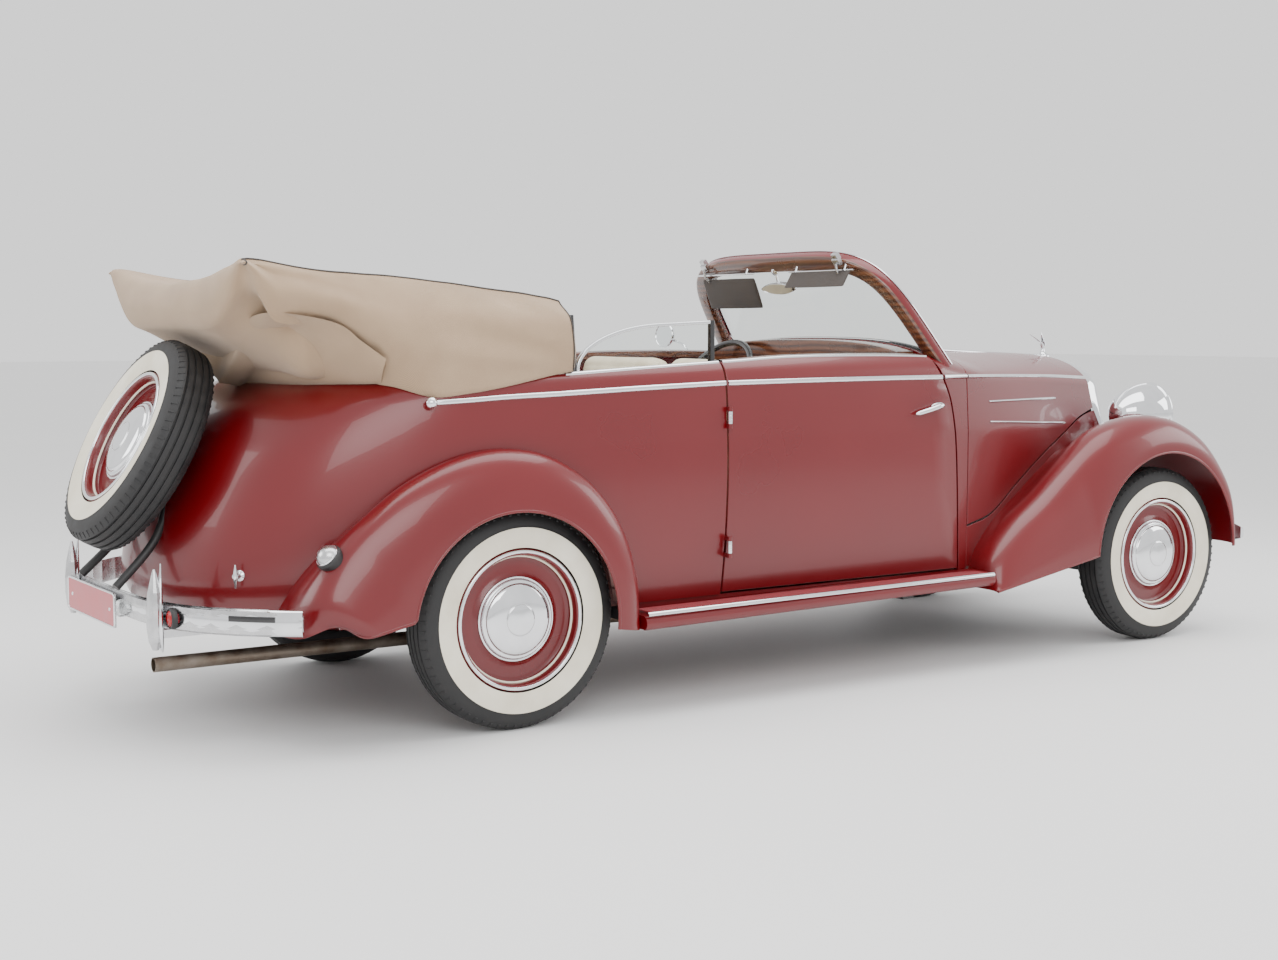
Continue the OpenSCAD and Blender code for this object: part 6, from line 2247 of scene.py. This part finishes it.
    def door_mirror(self) -> None:
        """Round mirror on the driver's door."""
        piece = Piece("door_mirror_body")
        foot = (1536, CAR.half(1536, CAR.cap(1536)) - 16, CAR.cap(1536) - 3)
        head = (1520, 742, 1178)
        piece.lathe([(0.01, -2), (17, -2), (17, 2), (10, 6), (0.01, 7)], foot, (0, 0.3, 1), 28)
        stem = [foot, (foot[0] - 4, foot[1] + 22, foot[2] + 30), (head[0] + 12, head[1] - 16, head[2] - 14),
                (head[0] + 8, head[1], head[2])]
        piece.tube(curve(stem, 14), 5.5, 12)
        piece.lathe([(0.01, -24), (18, -22), (36, -15), (47, -6), (51, 3), (51, 9), (48, 11), (46, 8)],
                    head, (-1, -0.18, 0.06), 48)
        dress(piece.make(self.pick("chrome"), recalculate=True, sharp=60), "left_door")
        face = Piece("door_mirror_face")
        face.lathe([(0.01, 3), (46, 3), (46.6, 7), (46, 8.6), (30, 9), (0.01, 9.2)], head,
                   (-1, -0.18, 0.06), 48)
        dress(face.make(self.pick("mirror_glass"), recalculate=True), "left_door")

    def quarter_frames(self) -> None:
        """Channels around the quarter windows."""
        self.finish_nodes("window_glass", "quarter_windows")
        front = CAR.door_rear_x - CAR.door_gap - 18
        back, rise = front - 505, 128
        for side in Side:
            y = side.value * (CAR.body_half - 63)
            crown = []
            for i in range(25):
                a = math.pi / 2 * i / 24
                x = back + 300 * (1 - math.cos(a))
                crown.append((x, y, CAR.cap(x) - 0.5 + rise * power(math.sin(a), 0.9) + 2))
            crown += [(x, y,
                       mix(crown[24][2], CAR.cap(front) + rise + 1,
                           (x - crown[24][0]) / (front - crown[24][0])))
                      for x in steps(crown[24][0] + 20, front, 6)]
            bar = Piece(f"quarter_window_{side.name.lower()}_channel")
            bar.sweep(crown, rounded_rectangle(17, 11, 3, 3), [(0, 0, 1)] * len(crown))
            self.fit(bar, "chrome", recalculate=True, sharp=60)
            post = Piece(f"quarter_window_{side.name.lower()}_post")
            z0, z1 = CAR.cap(front) - 4, CAR.cap(front) + rise + 7
            post.sweep([(front + 6, y, z) for z in steps(z0, z1, 5)], rounded_rectangle(22, 17, 4, 3),
                       [(1, 0, 0)] * 6)
            self.fit(post, "black_gloss", recalculate=True, sharp=60)

    def build(self) -> None:
        """Makes the screen and its fittings."""
        self.surround()
        self.glass()
        self.visors()
        self.fittings()
        self.door_mirror()
        self.quarter_frames()


@dataclass
class Cabin(Assembly):
    """Dashboard, steering wheel, seats and floor covering."""

    wheel_at: Point = (1459, 342, 983)
    tilt: float = 35
    dash_rear_x: float = 1616
    dash_front_x: float = 1699.6
    seat_z: float = 380.5
    rear_z: float = 531

    def dashboard(self) -> None:
        """Timber dashboard with dials, knobs and a tray lid."""
        ys = steps(-556, 556, 44)
        rows = []
        for x, drop, low in ((self.dash_front_x, 4, 900), (self.dash_rear_x + 12, 4, 900),
                             (self.dash_rear_x + 3, 7, 903),
                             (self.dash_rear_x, 14, 912)):
            rows.append([(x, y, CAR.nose_z(self.dash_front_x, y) - drop)
                         for y in ys] + [(x, y, low) for y in reversed(ys)])
        piece = Piece("dashboard_panel")
        piece.grid(rows, loop_columns=True)
        n = len(rows[0])
        piece.faces += [tuple(range(n)), tuple(3 * n + k for k in range(n))]
        piece.slots += [0, 0]
        dress(piece.make(self.pick("walnut"), recalculate=True, sharp=45, bevel=0.0015), "car_body",
              "dashboard")
        rims, faces, marks = Piece("dial_rims"), Piece("dial_faces"), []
        for y, z, r in ((422, 1010, 52), (262, 1010, 52), (95, 1000, 34), (15, 1000, 34)):
            at = (self.dash_rear_x, y, z)
            rims.lathe([(r - 5, 1), (r, -1), (r + 3, 3), (r + 1, 8), (r - 4, 9), (r - 5, 6)], at,
                       (-1, 0, 0), 48, closed=True)
            faces.lathe([(0.01, -2), (r - 4, -2), (r - 3, 2), (r - 5, 3.4), (0.01, 3.6)], at, (-1, 0, 0),
                        48)
            for k in range(24):
                a = math.radians(-140 + 280 * k / 23)
                centre = Vector(at) + Vector((-4, (r - 10) * math.sin(a), (r - 10) * math.cos(a)))
                marks.append((centre, Matrix.Rotation(a, 3, Vector((-1, 0, 0)))))
            rims.tube([(at[0] - 5.5, y + k * (r - 16) * 0.7, z + k * (r - 16) * 0.7)
                       for k in (-0.2, 0.3, 0.8, 1.0)], 1.6, 8)
        for y in (-50, -100, 150, 190):
            rims.lathe([(0.01, -2), (5, -2), (5, 12), (11, 14), (13, 20), (11, 26), (0.01, 27)],
                       (self.dash_rear_x, y, 945), (-1, 0, 0), 24)
        self.fit(rims, "chrome", recalculate=True, sharp=60)
        self.fit(faces, "dial_cream", recalculate=True, sharp=60)
        tick = Piece("tick")
        tick.block((-1.2, -0.9, -4), (0.4, 0.9, 4))
        dress(Repeater("dial_marks", self.paint["black_gloss"]).place("dial_marks", tick, marks,
                                                                      smooth=False), "car_body")
        lid = Piece("tray_lid")
        path = [(self.dash_rear_x - 2 + 1.0, -320 + a, 985 + b) for a,
                b in rounded_rectangle(320, 120, 20, 5)]
        lid.tube(path, 2.6, 8, loop=True)
        lid.lathe([(0.01, -2), (9, -2), (9, 6), (12, 10), (8, 15), (0.01, 16)],
                  (self.dash_rear_x, -190, 1020), (-1, 0, 0), 24)
        self.fit(lid, "chrome", recalculate=True, sharp=60)
        column = Piece("steering_column")
        axis = Vector((math.cos(math.radians(self.tilt)), 0, -math.sin(math.radians(self.tilt))))
        at = Vector(self.wheel_at)
        column.tube([at + axis * d for d in steps(16, 346, 6)], 21, 32)
        column.lathe([(22, 0), (30, 4), (31, 20), (26, 30), (22, 32)], at + axis * 30, axis, 36)
        column.tube([at + axis * 52 + Vector((0, s, 0.15 * s)) for s in steps(16, 130, 8)], 4.5, 10)
        column.lathe([(0.01, -9), (9, -7), (10, 0), (8, 8), (0.01, 10)],
                     at + axis * 52 + Vector((0, 134, 20)), (0, 1, 0.15), 20)
        column.block((1628, 328, 850), (1668, 356, 903))
        self.fit(column, "black_gloss", recalculate=True, sharp=50)

    def steering_wheel(self) -> None:
        """Rim with three sprung spokes, hub and horn ring."""
        axis = Vector((math.cos(math.radians(self.tilt)), 0, -math.sin(math.radians(self.tilt))))
        side = Vector((0, 1, 0))
        up = axis.cross(side).normalized() * -1
        at = Vector(self.wheel_at)
        rim = Piece("steering_rim")
        circle = [at + (side * math.cos(a) + up * math.sin(a)) * 205
                  for a in (2 * math.pi * k / 120 for k in range(120))]
        rim.sweep(circle,
                  [(11.6 * math.cos(a) * (1 - 0.05 * math.cos(2 * a)), 12.4 * math.sin(a))
                   for a in (2 * math.pi * k / 16 for k in range(16))],
                  [tuple(p - at) for p in circle], loop=True)
        rim.lathe([(0.01, -20), (20, -19), (30, -13), (33, -3), (32, 8), (24, 14), (9.4, 14)], at, axis, 48)
        dress(rim.make(self.pick("black_gloss"), recalculate=True, sharp=60), "hand_wheel",
              "steering_wheel")
        spokes = Piece("steering_spokes")
        for base in (90, 210, 330):
            for d in (-5, 0, 5):
                a = math.radians(base)
                way = side * math.cos(a) + up * math.sin(a)
                across = axis.cross(way)
                spokes.tube([at + way * r + across * (d * (1 + 0.6 * math.sin(math.pi * (r - 25) / 175)))
                             - axis * 3 for r in steps(25, 198, 8)], 2.6, 8)
        spokes.lathe([(15, -22), (17, -24), (13, -27), (0.01, -28)], at, axis, 36)
        ring_path = [at + (side * math.cos(a) + up * math.sin(a)) * 104 - axis * 9
                     for a in (2 * math.pi * k / 72 for k in range(72))]
        spokes.tube(ring_path, 3.2, 8, loop=True)
        dress(spokes.make(self.pick("chrome"), recalculate=True, sharp=60), "hand_wheel")

    def pad(self, name: str, size: Point, at: Point, lean: float, flutes: int, round_by: float,
            cell: float = 15.0, puff: float = 13.0, fill: float = 0.8) -> bpy.types.Object:
        """One upholstered pad, puffed by a cloth simulation and drawn in along its flutes.

        Args:
            name: Name of the piece.
            size: Length, width and thickness in millimetres.
            at: Middle of the pad.
            lean: Turn about the car's width in degrees.
            flutes: Number of flutes across the width.
            round_by: Radius of the pad's corners.
            cell: Edge length of the simulated mesh.
            puff: Furthest that the simulation may move a point.
            fill: How full the pad is.

        Returns:
            fill: Not used.
        """
        piece = Piece(name)
        piece.block((-size[0] / 2, -size[1] / 2, -size[2] / 2), (size[0] / 2, size[1] / 2, size[2] / 2))
        mesh = bpy.data.meshes.new(name)
        mesh.from_pydata([p * MM for p in piece.points], [], piece.faces)
        obj = bpy.data.objects.new(name, mesh)
        bpy.context.scene.collection.objects.link(obj)
        edge = obj.modifiers.new("round_edges", "BEVEL")
        edge.width, edge.segments, edge.limit_method = round_by * MM, 5, "NONE"
        even = obj.modifiers.new("even_mesh", "REMESH")
        even.mode, even.voxel_size, even.use_smooth_shade = "VOXEL", cell * MM, True
        flat = bpy.data.meshes.new_from_object(obj.evaluated_get(bpy.context.evaluated_depsgraph_get()))
        shape = [v.co.copy() for v in flat.vertices]
        obj.modifiers.clear()
        obj.data = flat
        cloth = obj.modifiers.new("stuffing", "CLOTH")
        cloth.settings.use_pressure = True
        cloth.settings.uniform_pressure_force = 4
        cloth.settings.effector_weights.gravity = 0
        cloth.settings.tension_stiffness = cloth.settings.compression_stiffness = 12
        cloth.settings.bending_stiffness = 4
        cloth.point_cache.frame_start, cloth.point_cache.frame_end = 1, 20
        for frame_number in range(1, 21):
            bpy.context.scene.frame_set(frame_number)
        puffed = bpy.data.meshes.new_from_object(obj.evaluated_get(bpy.context.evaluated_depsgraph_get()))
        obj.modifiers.clear()
        for vertex, was in zip(puffed.vertices, shape):
            move = vertex.co - was
            if move.length > puff * MM:
                vertex.co = was + move * (puff * MM / move.length)
        obj.data = puffed
        bpy.context.scene.frame_set(1)
        turn = Matrix.Rotation(math.radians(lean), 3, "Y")
        length, width, thick = (s * MM for s in size)
        for vertex in obj.data.vertices:
            p = vertex.co
            if p.z > 0 and flutes:
                share = (p.y / width + 0.5) * flutes
                inside = clip((0.5 * length - 0.055
                               - abs(p.x)) / 0.02) * clip((0.5 * width - 0.05 - abs(p.y)) / 0.01)
                groove = math.exp(-((share - round(share)) * width / flutes / 0.008) ** 2)
                border = math.exp(-((min(0.5 * length - 0.055 - abs(p.x),
                                         0.5 * width - 0.05 - abs(p.y))) / 0.008) ** 2)
                p.z -= 0.009 * max(groove * inside, 0.8 * border * clip(p.z / (0.3 * thick)))
            vertex.co = turn @ p
        where = to_row(at)
        for vertex in obj.data.vertices:
            vertex.co += where
        smooth = obj.modifiers.new("finer", "SUBSURF")
        smooth.levels = smooth.render_levels = 1
        finer = bpy.data.meshes.new_from_object(obj.evaluated_get(bpy.context.evaluated_depsgraph_get()))
        obj.modifiers.clear()
        obj.data = finer
        obj.data.name = name
        obj.data.materials.clear()
        obj.data.materials.append(self.paint["cream_leather"])
        for polygon in obj.data.polygons:
            polygon.use_smooth = True
            polygon.material_index = 0
        dress(obj, "car_body")
        return obj

    def seats(self) -> None:
        """Two front seats and the rear bench."""
        for y in (-290, 290):
            tag = "left" if y > 0 else "right"
            places = (("cushion", (500, 496, 150), (1200, y, self.seat_z + 128), -3, 7, 44),
                      ("back", (560, 490, 108), (984, y, self.seat_z + 455), -78.5, 7, 40))
            for part, size, at, lean, flutes, round_by in places:
                obj = self.pad(f"front_seat_{tag}_{part}", size, at, lean, flutes, round_by)
                if part == "cushion" and y < 0:
                    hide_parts("front_seats")
            base = Piece(f"front_seat_{tag}_base")
            base.block((950, y - 205, self.seat_z - 2), (1420, y + 205, self.seat_z + 58))
            base.block((935, y - 170, self.seat_z - 39.8), (1410, y - 145, self.seat_z - 2))
            base.block((935, y + 145, self.seat_z - 39.8), (1410, y + 170, self.seat_z - 2))
            self.fit(base, "chassis_black", bevel=0.004)
        for part, size, at, lean, flutes in (("cushion", (490, 1076, 150), (268, 0, self.rear_z + 118), -4,
                                              14),
                                             ("back", (470, 1076, 104), (76, 0, self.rear_z + 385), -78.0,
                                              14)):
            obj = self.pad(f"rear_seat_{part}", size, at, lean, flutes, 44, cell=18)
            if part == "cushion":
                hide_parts("rear_seat")
        plinth = Piece("rear_seat_base")
        plinth.block((60, -530, self.rear_z + 1), (500, 530, self.rear_z + 60))
        self.fit(plinth, "cream_leather", bevel=0.008)

    def floor(self) -> None:
        """Mat on the floor and gear lever."""
        mat = Piece("floor_mat")
        for y0, y1 in ((-560, -60), (60, 560)):
            mat.block((560, y0, 340.8), (1640, y1, 347))
        self.fit(mat, "floor_carpet", bevel=0.002)
        lever = Piece("gear_lever")
        path = [(1560, 0, 352), (1540, 0, 480), (1500, 20, 620), (1440, 40, 700)]
        lever.tube(curve(path, 20), 6.5, 12)
        lever.lathe([(0.01, -12), (30, -12), (34, -4), (30, 8), (18, 26), (9, 40), (7, 46)], (1560, 0, 353),
                    (0, 0, 1), 28)
        self.fit(lever, "chassis_black", recalculate=True, sharp=60)
        knob = Piece("gear_knob")
        knob.lathe([(0.01, -18), (10, -16), (18, -6), (20, 3), (16, 14), (8, 19), (0.01, 20)],
                   (1436, 41, 706), (-0.5, 0, 0.86), 28)
        self.fit(knob, "cream_enamel", recalculate=True)

    def build(self) -> None:
        """Makes the cabin."""
        self.dashboard()
        self.steering_wheel()
        self.seats()
        self.floor()


@dataclass
class Hood(Assembly):
    """Folding hood stowed behind the rear seat."""

    front_x: float = 216
    rear_x: float = -800

    UNDER = ((-860, 1216), (-800, 1200), (-710, 1154), (-560, 1070), (-250, 1072), (216, 1088))
    CORNER = ((-800, 1400), (-778, 1401), (-625, 1377), (-472, 1365), (-314, 1359), (-150, 1341),
              (19, 1322), (160, 1304), (216, 1292))
    LOW_EDGE = ((-800, 1376), (-772, 1330), (-751, 1286), (-711, 1228), (-620, 1213), (-537, 1200),
                (-491, 1150), (-440, 1086),
                (-400, 1046), (-357, 1034), (-261, 1004), (-150, 1012), (-28, 1029), (167, 1065),
                (216, 1072))

    def section(self, x: float) -> list[tuple[float, float, float]]:
        """Half section (y, z) from the middle of the underside to the middle of the top.

        Args:
            x: Place along the car.

        Returns:
            Points (y, z).
        """
        zc, low, under = (smooth_table(t, x) for t in (self.CORNER, self.LOW_EDGE, self.UNDER))
        rear = clip((-430 - x) / 370)
        back = ease((-560 - x) / 240)
        top = zc + mix(8, -56, ease((60 - x) / 860))
        hem_y = CAR.rear_half(x,
                              min(max(low, 1000),
                                  1060)) + 7 if x > -430 else mix(CAR.rear_half(-430, 1046) + 7, 582,
                                                                  clip((-430 - x) / 300))
        side_y = mix(662, 604, ease((-250 - x) / 500))
        corner_y = mix(574, 566, rear)
        inner_low = max(low + 14, 0) if x > -430 else mix(low + 14, min(1245, zc - 60), back)
        lower = [(0, under), (150, under), (300, under + 2),
                 (mix(hem_y - 80, 400, back), mix(under + 3, 1226, back)),
                 (mix(hem_y - 26, 505, back), mix(max(inner_low, low + 10), 1300, back)),
                 (hem_y - 8, low + 3), (hem_y, low + 6)]
        upper = [(mix(hem_y, side_y, 0.7) + 6 * (1 - rear), mix(low, zc, 0.28)),
                 (side_y, mix(low, zc, 0.52)),
                 (side_y - 18, mix(low, zc, 0.76)), (corner_y + 18, zc - 16), (corner_y, zc)]
        crown = [(corner_y - 30, zc - 1 - 6 * rear), (440, mix(zc, top, 0.42)), (300, mix(zc, top, 0.75)),
                 (150, mix(zc, top, 0.95)), (0, top)]
        out = []
        for group, n in ((lower, 22), (upper, 22), (crown, 16)):
            start = group if not out else [out[-1][:2]] + group
            fine = curve(start, n)
            out += [(p[0], p[1]) for p in (fine if not out else fine[1:])]
        return out

    def folds(self, p: Vector) -> float:
        """Height of the soft folds at a point, in millimetres.

        Args:
            p: Point of the cloth.

        Returns:
            The height.
        """
        value = 0.0
        for x0, z0, x1, z1, depth, wide in ((-770, 1390, -330, 1130, 7, 34),
                                            (-640, 1350, -120, 1215, -8, 40), (-520, 1290, 80, 1190, 7, 36),
                                            (-300, 1250, 190, 1120, -7, 30), (-420, 1170, 150, 1085, 7, 28),
                                            (-120, 1330, 190, 1235, -5, 26),
                                            (-700, 1260, -520, 1330, -5, 24)):
            d = Vector((x1 - x0, z1 - z0))
            t = clip((Vector((p.x - x0, p.z - z0)).dot(d)) / d.length_squared)
            away = (Vector((p.x - x0, p.z - z0)) - d * t).length
            value += depth * math.exp(-(away / wide) ** 2) * math.sin(math.pi * mix(0.08, 0.92, t))
        value *= clip((abs(p.y) - 380) / 160)
        value += 5.0 * noise.noise(Vector((p.x * 0.0035, p.y * 0.006, p.z * 0.011)))
        value += 2.2 * noise.noise(Vector((p.x * 0.011 + 7, p.y * 0.016, p.z * 0.030)))
        return value

    def stack(self) -> tuple[Piece, Grid]:
        """The folded cloth as one closed soft body.

        Returns:
            The piece and its rows of points.
        """
        xs = steps(self.front_x, self.rear_x, 64)
        rows = []
        for x in xs:
            half = self.section(x)
            full = [(x, -y, z) for y, z in half] + [(x, y, z) for y, z in reversed(half[1:-1])]
            rows.append(full)
        last, first = list(rows[-1]), list(rows[0])
        mids, mids_front = self.middle(xs[-1], last), self.middle(xs[0], first)
        for k, way in ((0.95, 12), (0.82, 25), (0.6, 36), (0.32, 43), (0.06, 46)):
            rows.append([(x - way * (0.12 + 0.88 * (1 - (abs(y) / 640) ** 2)), y, mix(m, z, k))
                         for (x, y, z), m in zip(last, mids)])
        for k, way in ((0.985, 5), (0.94, 10), (0.80, 15), (0.5, 18), (0.08, 19)):
            rows.insert(0, [(x + way, y * (1 - 0.0016 * way), mix(m, z, k)) for (x, y, z),
                            m in zip(first, mids_front)])
        outs = normals([row + [row[0]] for row in rows])
        moved = []
        for row, out in zip(rows, outs):
            line = []
            for p, o in zip(row, out):
                v = Vector(p)
                away = Vector((0.0, v.y, v.z - 1180)).normalized()
                o = Vector(o)
                if o.dot(away) < 0:
                    o = -o
                calm = clip((v.x - self.rear_x + 4) / 60) * clip((self.front_x + 4 - v.x) / 40)
                if abs(v.y) > 560:
                    covers = calm * clip((v.z - 1075) / 40)
                else:
                    covers = clip((v.z - smooth_table(self.UNDER, v.x) - 30) / 40)
                line.append(tuple(v + o * (self.folds(v) * covers)))
            moved.append(line)
        piece = Piece("hood_stack")
        piece.grid(moved, loop_columns=True)
        for start in (0, (len(moved) - 1) * len(moved[0])):
            faces = self.cap_faces(moved[0] if not start else moved[-1])
            piece.faces += [tuple(start + i for i in f) for f in faces]
            piece.slots += [0] * len(faces)
        return piece, moved

    @staticmethod
    def cap_faces(row: list[Point]) -> list[tuple[int, int, int]]:
        """Triangles that close an end section from side to side.

        Args:
            row: One row of points.

        Returns:
            Indices of the points of each triangle.
        """
        m = len(row)
        right, left = min(range(m), key=lambda i: row[i][1]), max(range(m), key=lambda i: row[i][1])
        upper = list(range(right, left + 1))
        lower = list(range(right, -1, -1)) + list(range(m - 1, left - 1, -1))
        faces, i, j = [], 0, 0
        while i < len(upper) - 1 or j < len(lower) - 1:
            if j >= len(lower) - 1 or (i < len(upper) - 1 and row[upper[i + 1]][1] < row[lower[j + 1]][1]):
                face = (upper[i], upper[i + 1], lower[j])
                i += 1
            else:
                face = (upper[i], lower[j + 1], lower[j])
                j += 1
            if len(set(face)) == 3:
                faces.append(face)
        return faces

    def middle(self, x: float, row: list[Point]) -> list[float]:
        """Height halfway through the stack at each point of an end section.

        Args:
            x: Place along the car.
            row: One row of points.

        Returns:
            A height for each point.
        """
        half = self.section(x)
        hem = max(range(len(half)), key=lambda i: half[i][0])

        def height(run: list[tuple[float, float]], y: float) -> float:
            """Height of one side of the section at a width.

            Args:
                run: Points (y, z).
                y: Place across the car.

            Returns:
                The height.
            """
            run = sorted(run)
            for a, b in zip(run, run[1:]):
                if a[0] <= y <= b[0]:
                    return mix(a[1], b[1], (y - a[0]) / max(b[0] - a[0], 0.001))
            return run[-1][1]

        return [(height(half[:hem + 1], abs(p[1])) + height(half[hem:], abs(p[1]))) / 2 for p in row]

    def build(self) -> None:
        """Makes the stowed hood."""
        piece, moved = self.stack()
        cloth = piece.make(self.pick("tan_canvas"), recalculate=True, sharp=70)
        dress(cloth, "car_body", "soft_top")
        corner = 43
        count = len(moved[0])
        seams = Piece("hood_piping")
        for index in (corner, count - corner):
            seams.tube([row[index] for row in moved[5:-5]], 3.2, 8)
        for loop in (moved[5], moved[-6]):
            seams.tube(loop[22:corner + 1], 2.6, 8)
            seams.tube([loop[count - k] for k in range(22, corner + 1)], 2.6, 8)
        self.fit(seams, "dark_binding")
        lower = self.lower_cover()
        bow = Piece("hood_front_bow")
        for sign in (-1, 1):
            bow.sweep([(243, sign * (CAR.half(243, 1060) - 40 - 0.12 * (z - 1070)), z)
                       for z in steps(1072, 1246, 10)],
                      rounded_rectangle(34, 14, 4, 3), [(1, 0, 0)] * 11)
        self.fit(bow, "black_gloss", recalculate=True, sharp=60)
        log.info("lower cover %.3f m2", sum(p.area for p in lower.data.polygons) / 2)

    def lower_cover(self) -> bpy.types.Object:
        """Cloth between the stack and the deck behind the rear seat.

        Returns:
            The Blender object.
        """
        outer, n = [], 40
        foot, head = [], []
        for i in range(n + 1):
            s = i / n
            if s < 0.5:
                x = mix(-385, -600, s / 0.5)
                foot.append((x, -(CAR.rear_half(x, 1040) + 5),
                             smooth_table([(-616, 1028), (-575, 1034), (-513, 1041), (-385, 1046)], x)))
            else:
                a = math.pi / 2 * (s - 0.5) / 0.5
                y0 = CAR.rear_half(-600, 1040) + 5
                foot.append((-600 - 62 * math.sin(a), -y0 * power(math.cos(a), 0.8),
                             1029 + 10 * math.sin(a)))
            head.append(smooth_path([(-400, -640, 1120), (-470, -628, 1170), (-540, -612, 1222),
                                     (-690, -585, 1250), (-735, -470, 1240), (-690, -250, 1190),
                                     (-640, 0.0, 1160)], s))
        for k in range(11):
            v = k / 10
            outer.append([tuple(Vector(f).lerp(Vector(h), v) + Vector((-6, -10, 0)) * math.sin(math.pi * v)
                                + Vector((0, -1, 0)) * 4
                                * noise.noise(Vector((f[0] * 0.012, f[1] * 0.012, v * 2.2)))) for f,
                          h in zip(foot, head)])
        full = [row + [(p[0], -p[1], p[2]) for p in reversed(row[:-1])] for row in outer]
        inner = [[(p[0] + 5 if abs(p[1]) < 560 else p[0], p[1] * 0.985, p[2]) for p in row] for row in full]
        piece = Piece("hood_lower_cover")
        piece.shell(full, inner)
        obj = piece.make(self.pick("tan_canvas"), recalculate=True, sharp=70)
        return dress(obj, "car_body")


# ---- stage ------------------------------------------------------------------------------
@dataclass
class Studio:
    """Pale floor, soft lights and the camera."""

    camera_at: Point = (-2623.6, -5291.8, 1207.8)
    pitch: float = 4.891
    yaw: float = 33.633
    lens: float = 50.04

    def floor(self) -> None:
        """Plain pale floor."""
        piece = Piece("studio_floor")
        piece.grid([[(x, y, 0) for x in steps(-60000, 60000, 4)] for y in steps(-60000, 60000, 4)],
                   flip=True)
        finish = Finish("studio_white", (0.86, 0.86, 0.86), (0.88, 0.88, 0.875), 0.55, 0.7, scale=0.4)
        piece.make([finish.build(Effects())])

    def light(self, name: str, at: Point, target: Point, size: tuple[float, float], power_w: float) -> None:
        """One soft rectangular light.

        Args:
            name: Name of the light.
            at: Where the light stands.
            target: Point that it looks at.
            size: Width and height, in metres.
            power_w: Power, in watts.
        """
        data = bpy.data.lights.new(name, "AREA")
        data.shape, data.size, data.size_y, data.energy = "RECTANGLE", size[0], size[1], power_w
        obj = bpy.data.objects.new(name, data)
        obj.location = to_row(at)
        obj.rotation_euler = (to_row(target) - to_row(at)).to_track_quat("-Z", "Y").to_euler()
        bpy.context.scene.collection.objects.link(obj)

    def build(self) -> None:
        """Sets the stage."""
        self.floor()
        middle = (1100, 0, 600)
        self.light("overhead_softbox", (900, -600, 4600), middle, (6.5, 3.2), 240)
        self.light("near_softbox", (-1500, -5200, 3300), middle, (4.5, 2.4), 130)
        self.light("front_softbox", (6400, -2600, 2600), middle, (3.0, 2.2), 80)
        self.light("rear_softbox", (-4800, 1800, 2800), middle, (3.0, 2.4), 80)
        world = bpy.data.worlds.new("studio_air")
        world.use_nodes = True
        world.node_tree.nodes["Background"].inputs[0].default_value = (1.0, 1.0, 1.0, 1)
        world.node_tree.nodes["Background"].inputs[1].default_value = 1.3
        bpy.context.scene.world = world
        data = bpy.data.cameras.new("studio_camera")
        data.lens, data.sensor_width = self.lens, 36
        camera = bpy.data.objects.new("studio_camera", data)
        camera.location = to_row(self.camera_at)
        camera.rotation_euler = (math.radians(90 - self.pitch), 0, math.radians(-self.yaw))
        bpy.context.scene.collection.objects.link(camera)
        bpy.context.scene.camera = camera


def main() -> None:
    """Builds every sub-assembly in order."""
    logging.basicConfig(level=logging.INFO, format="%(message)s")
    paint = Palette()
    Studio().build()
    for part in (Wheels, BodyPanels, BrightTrim, Nose, Tail, Screen, Cabin, Hood):
        log.info("building %s", part.__name__)
        part(paint).build()


if __name__ == "__main__":
    main()
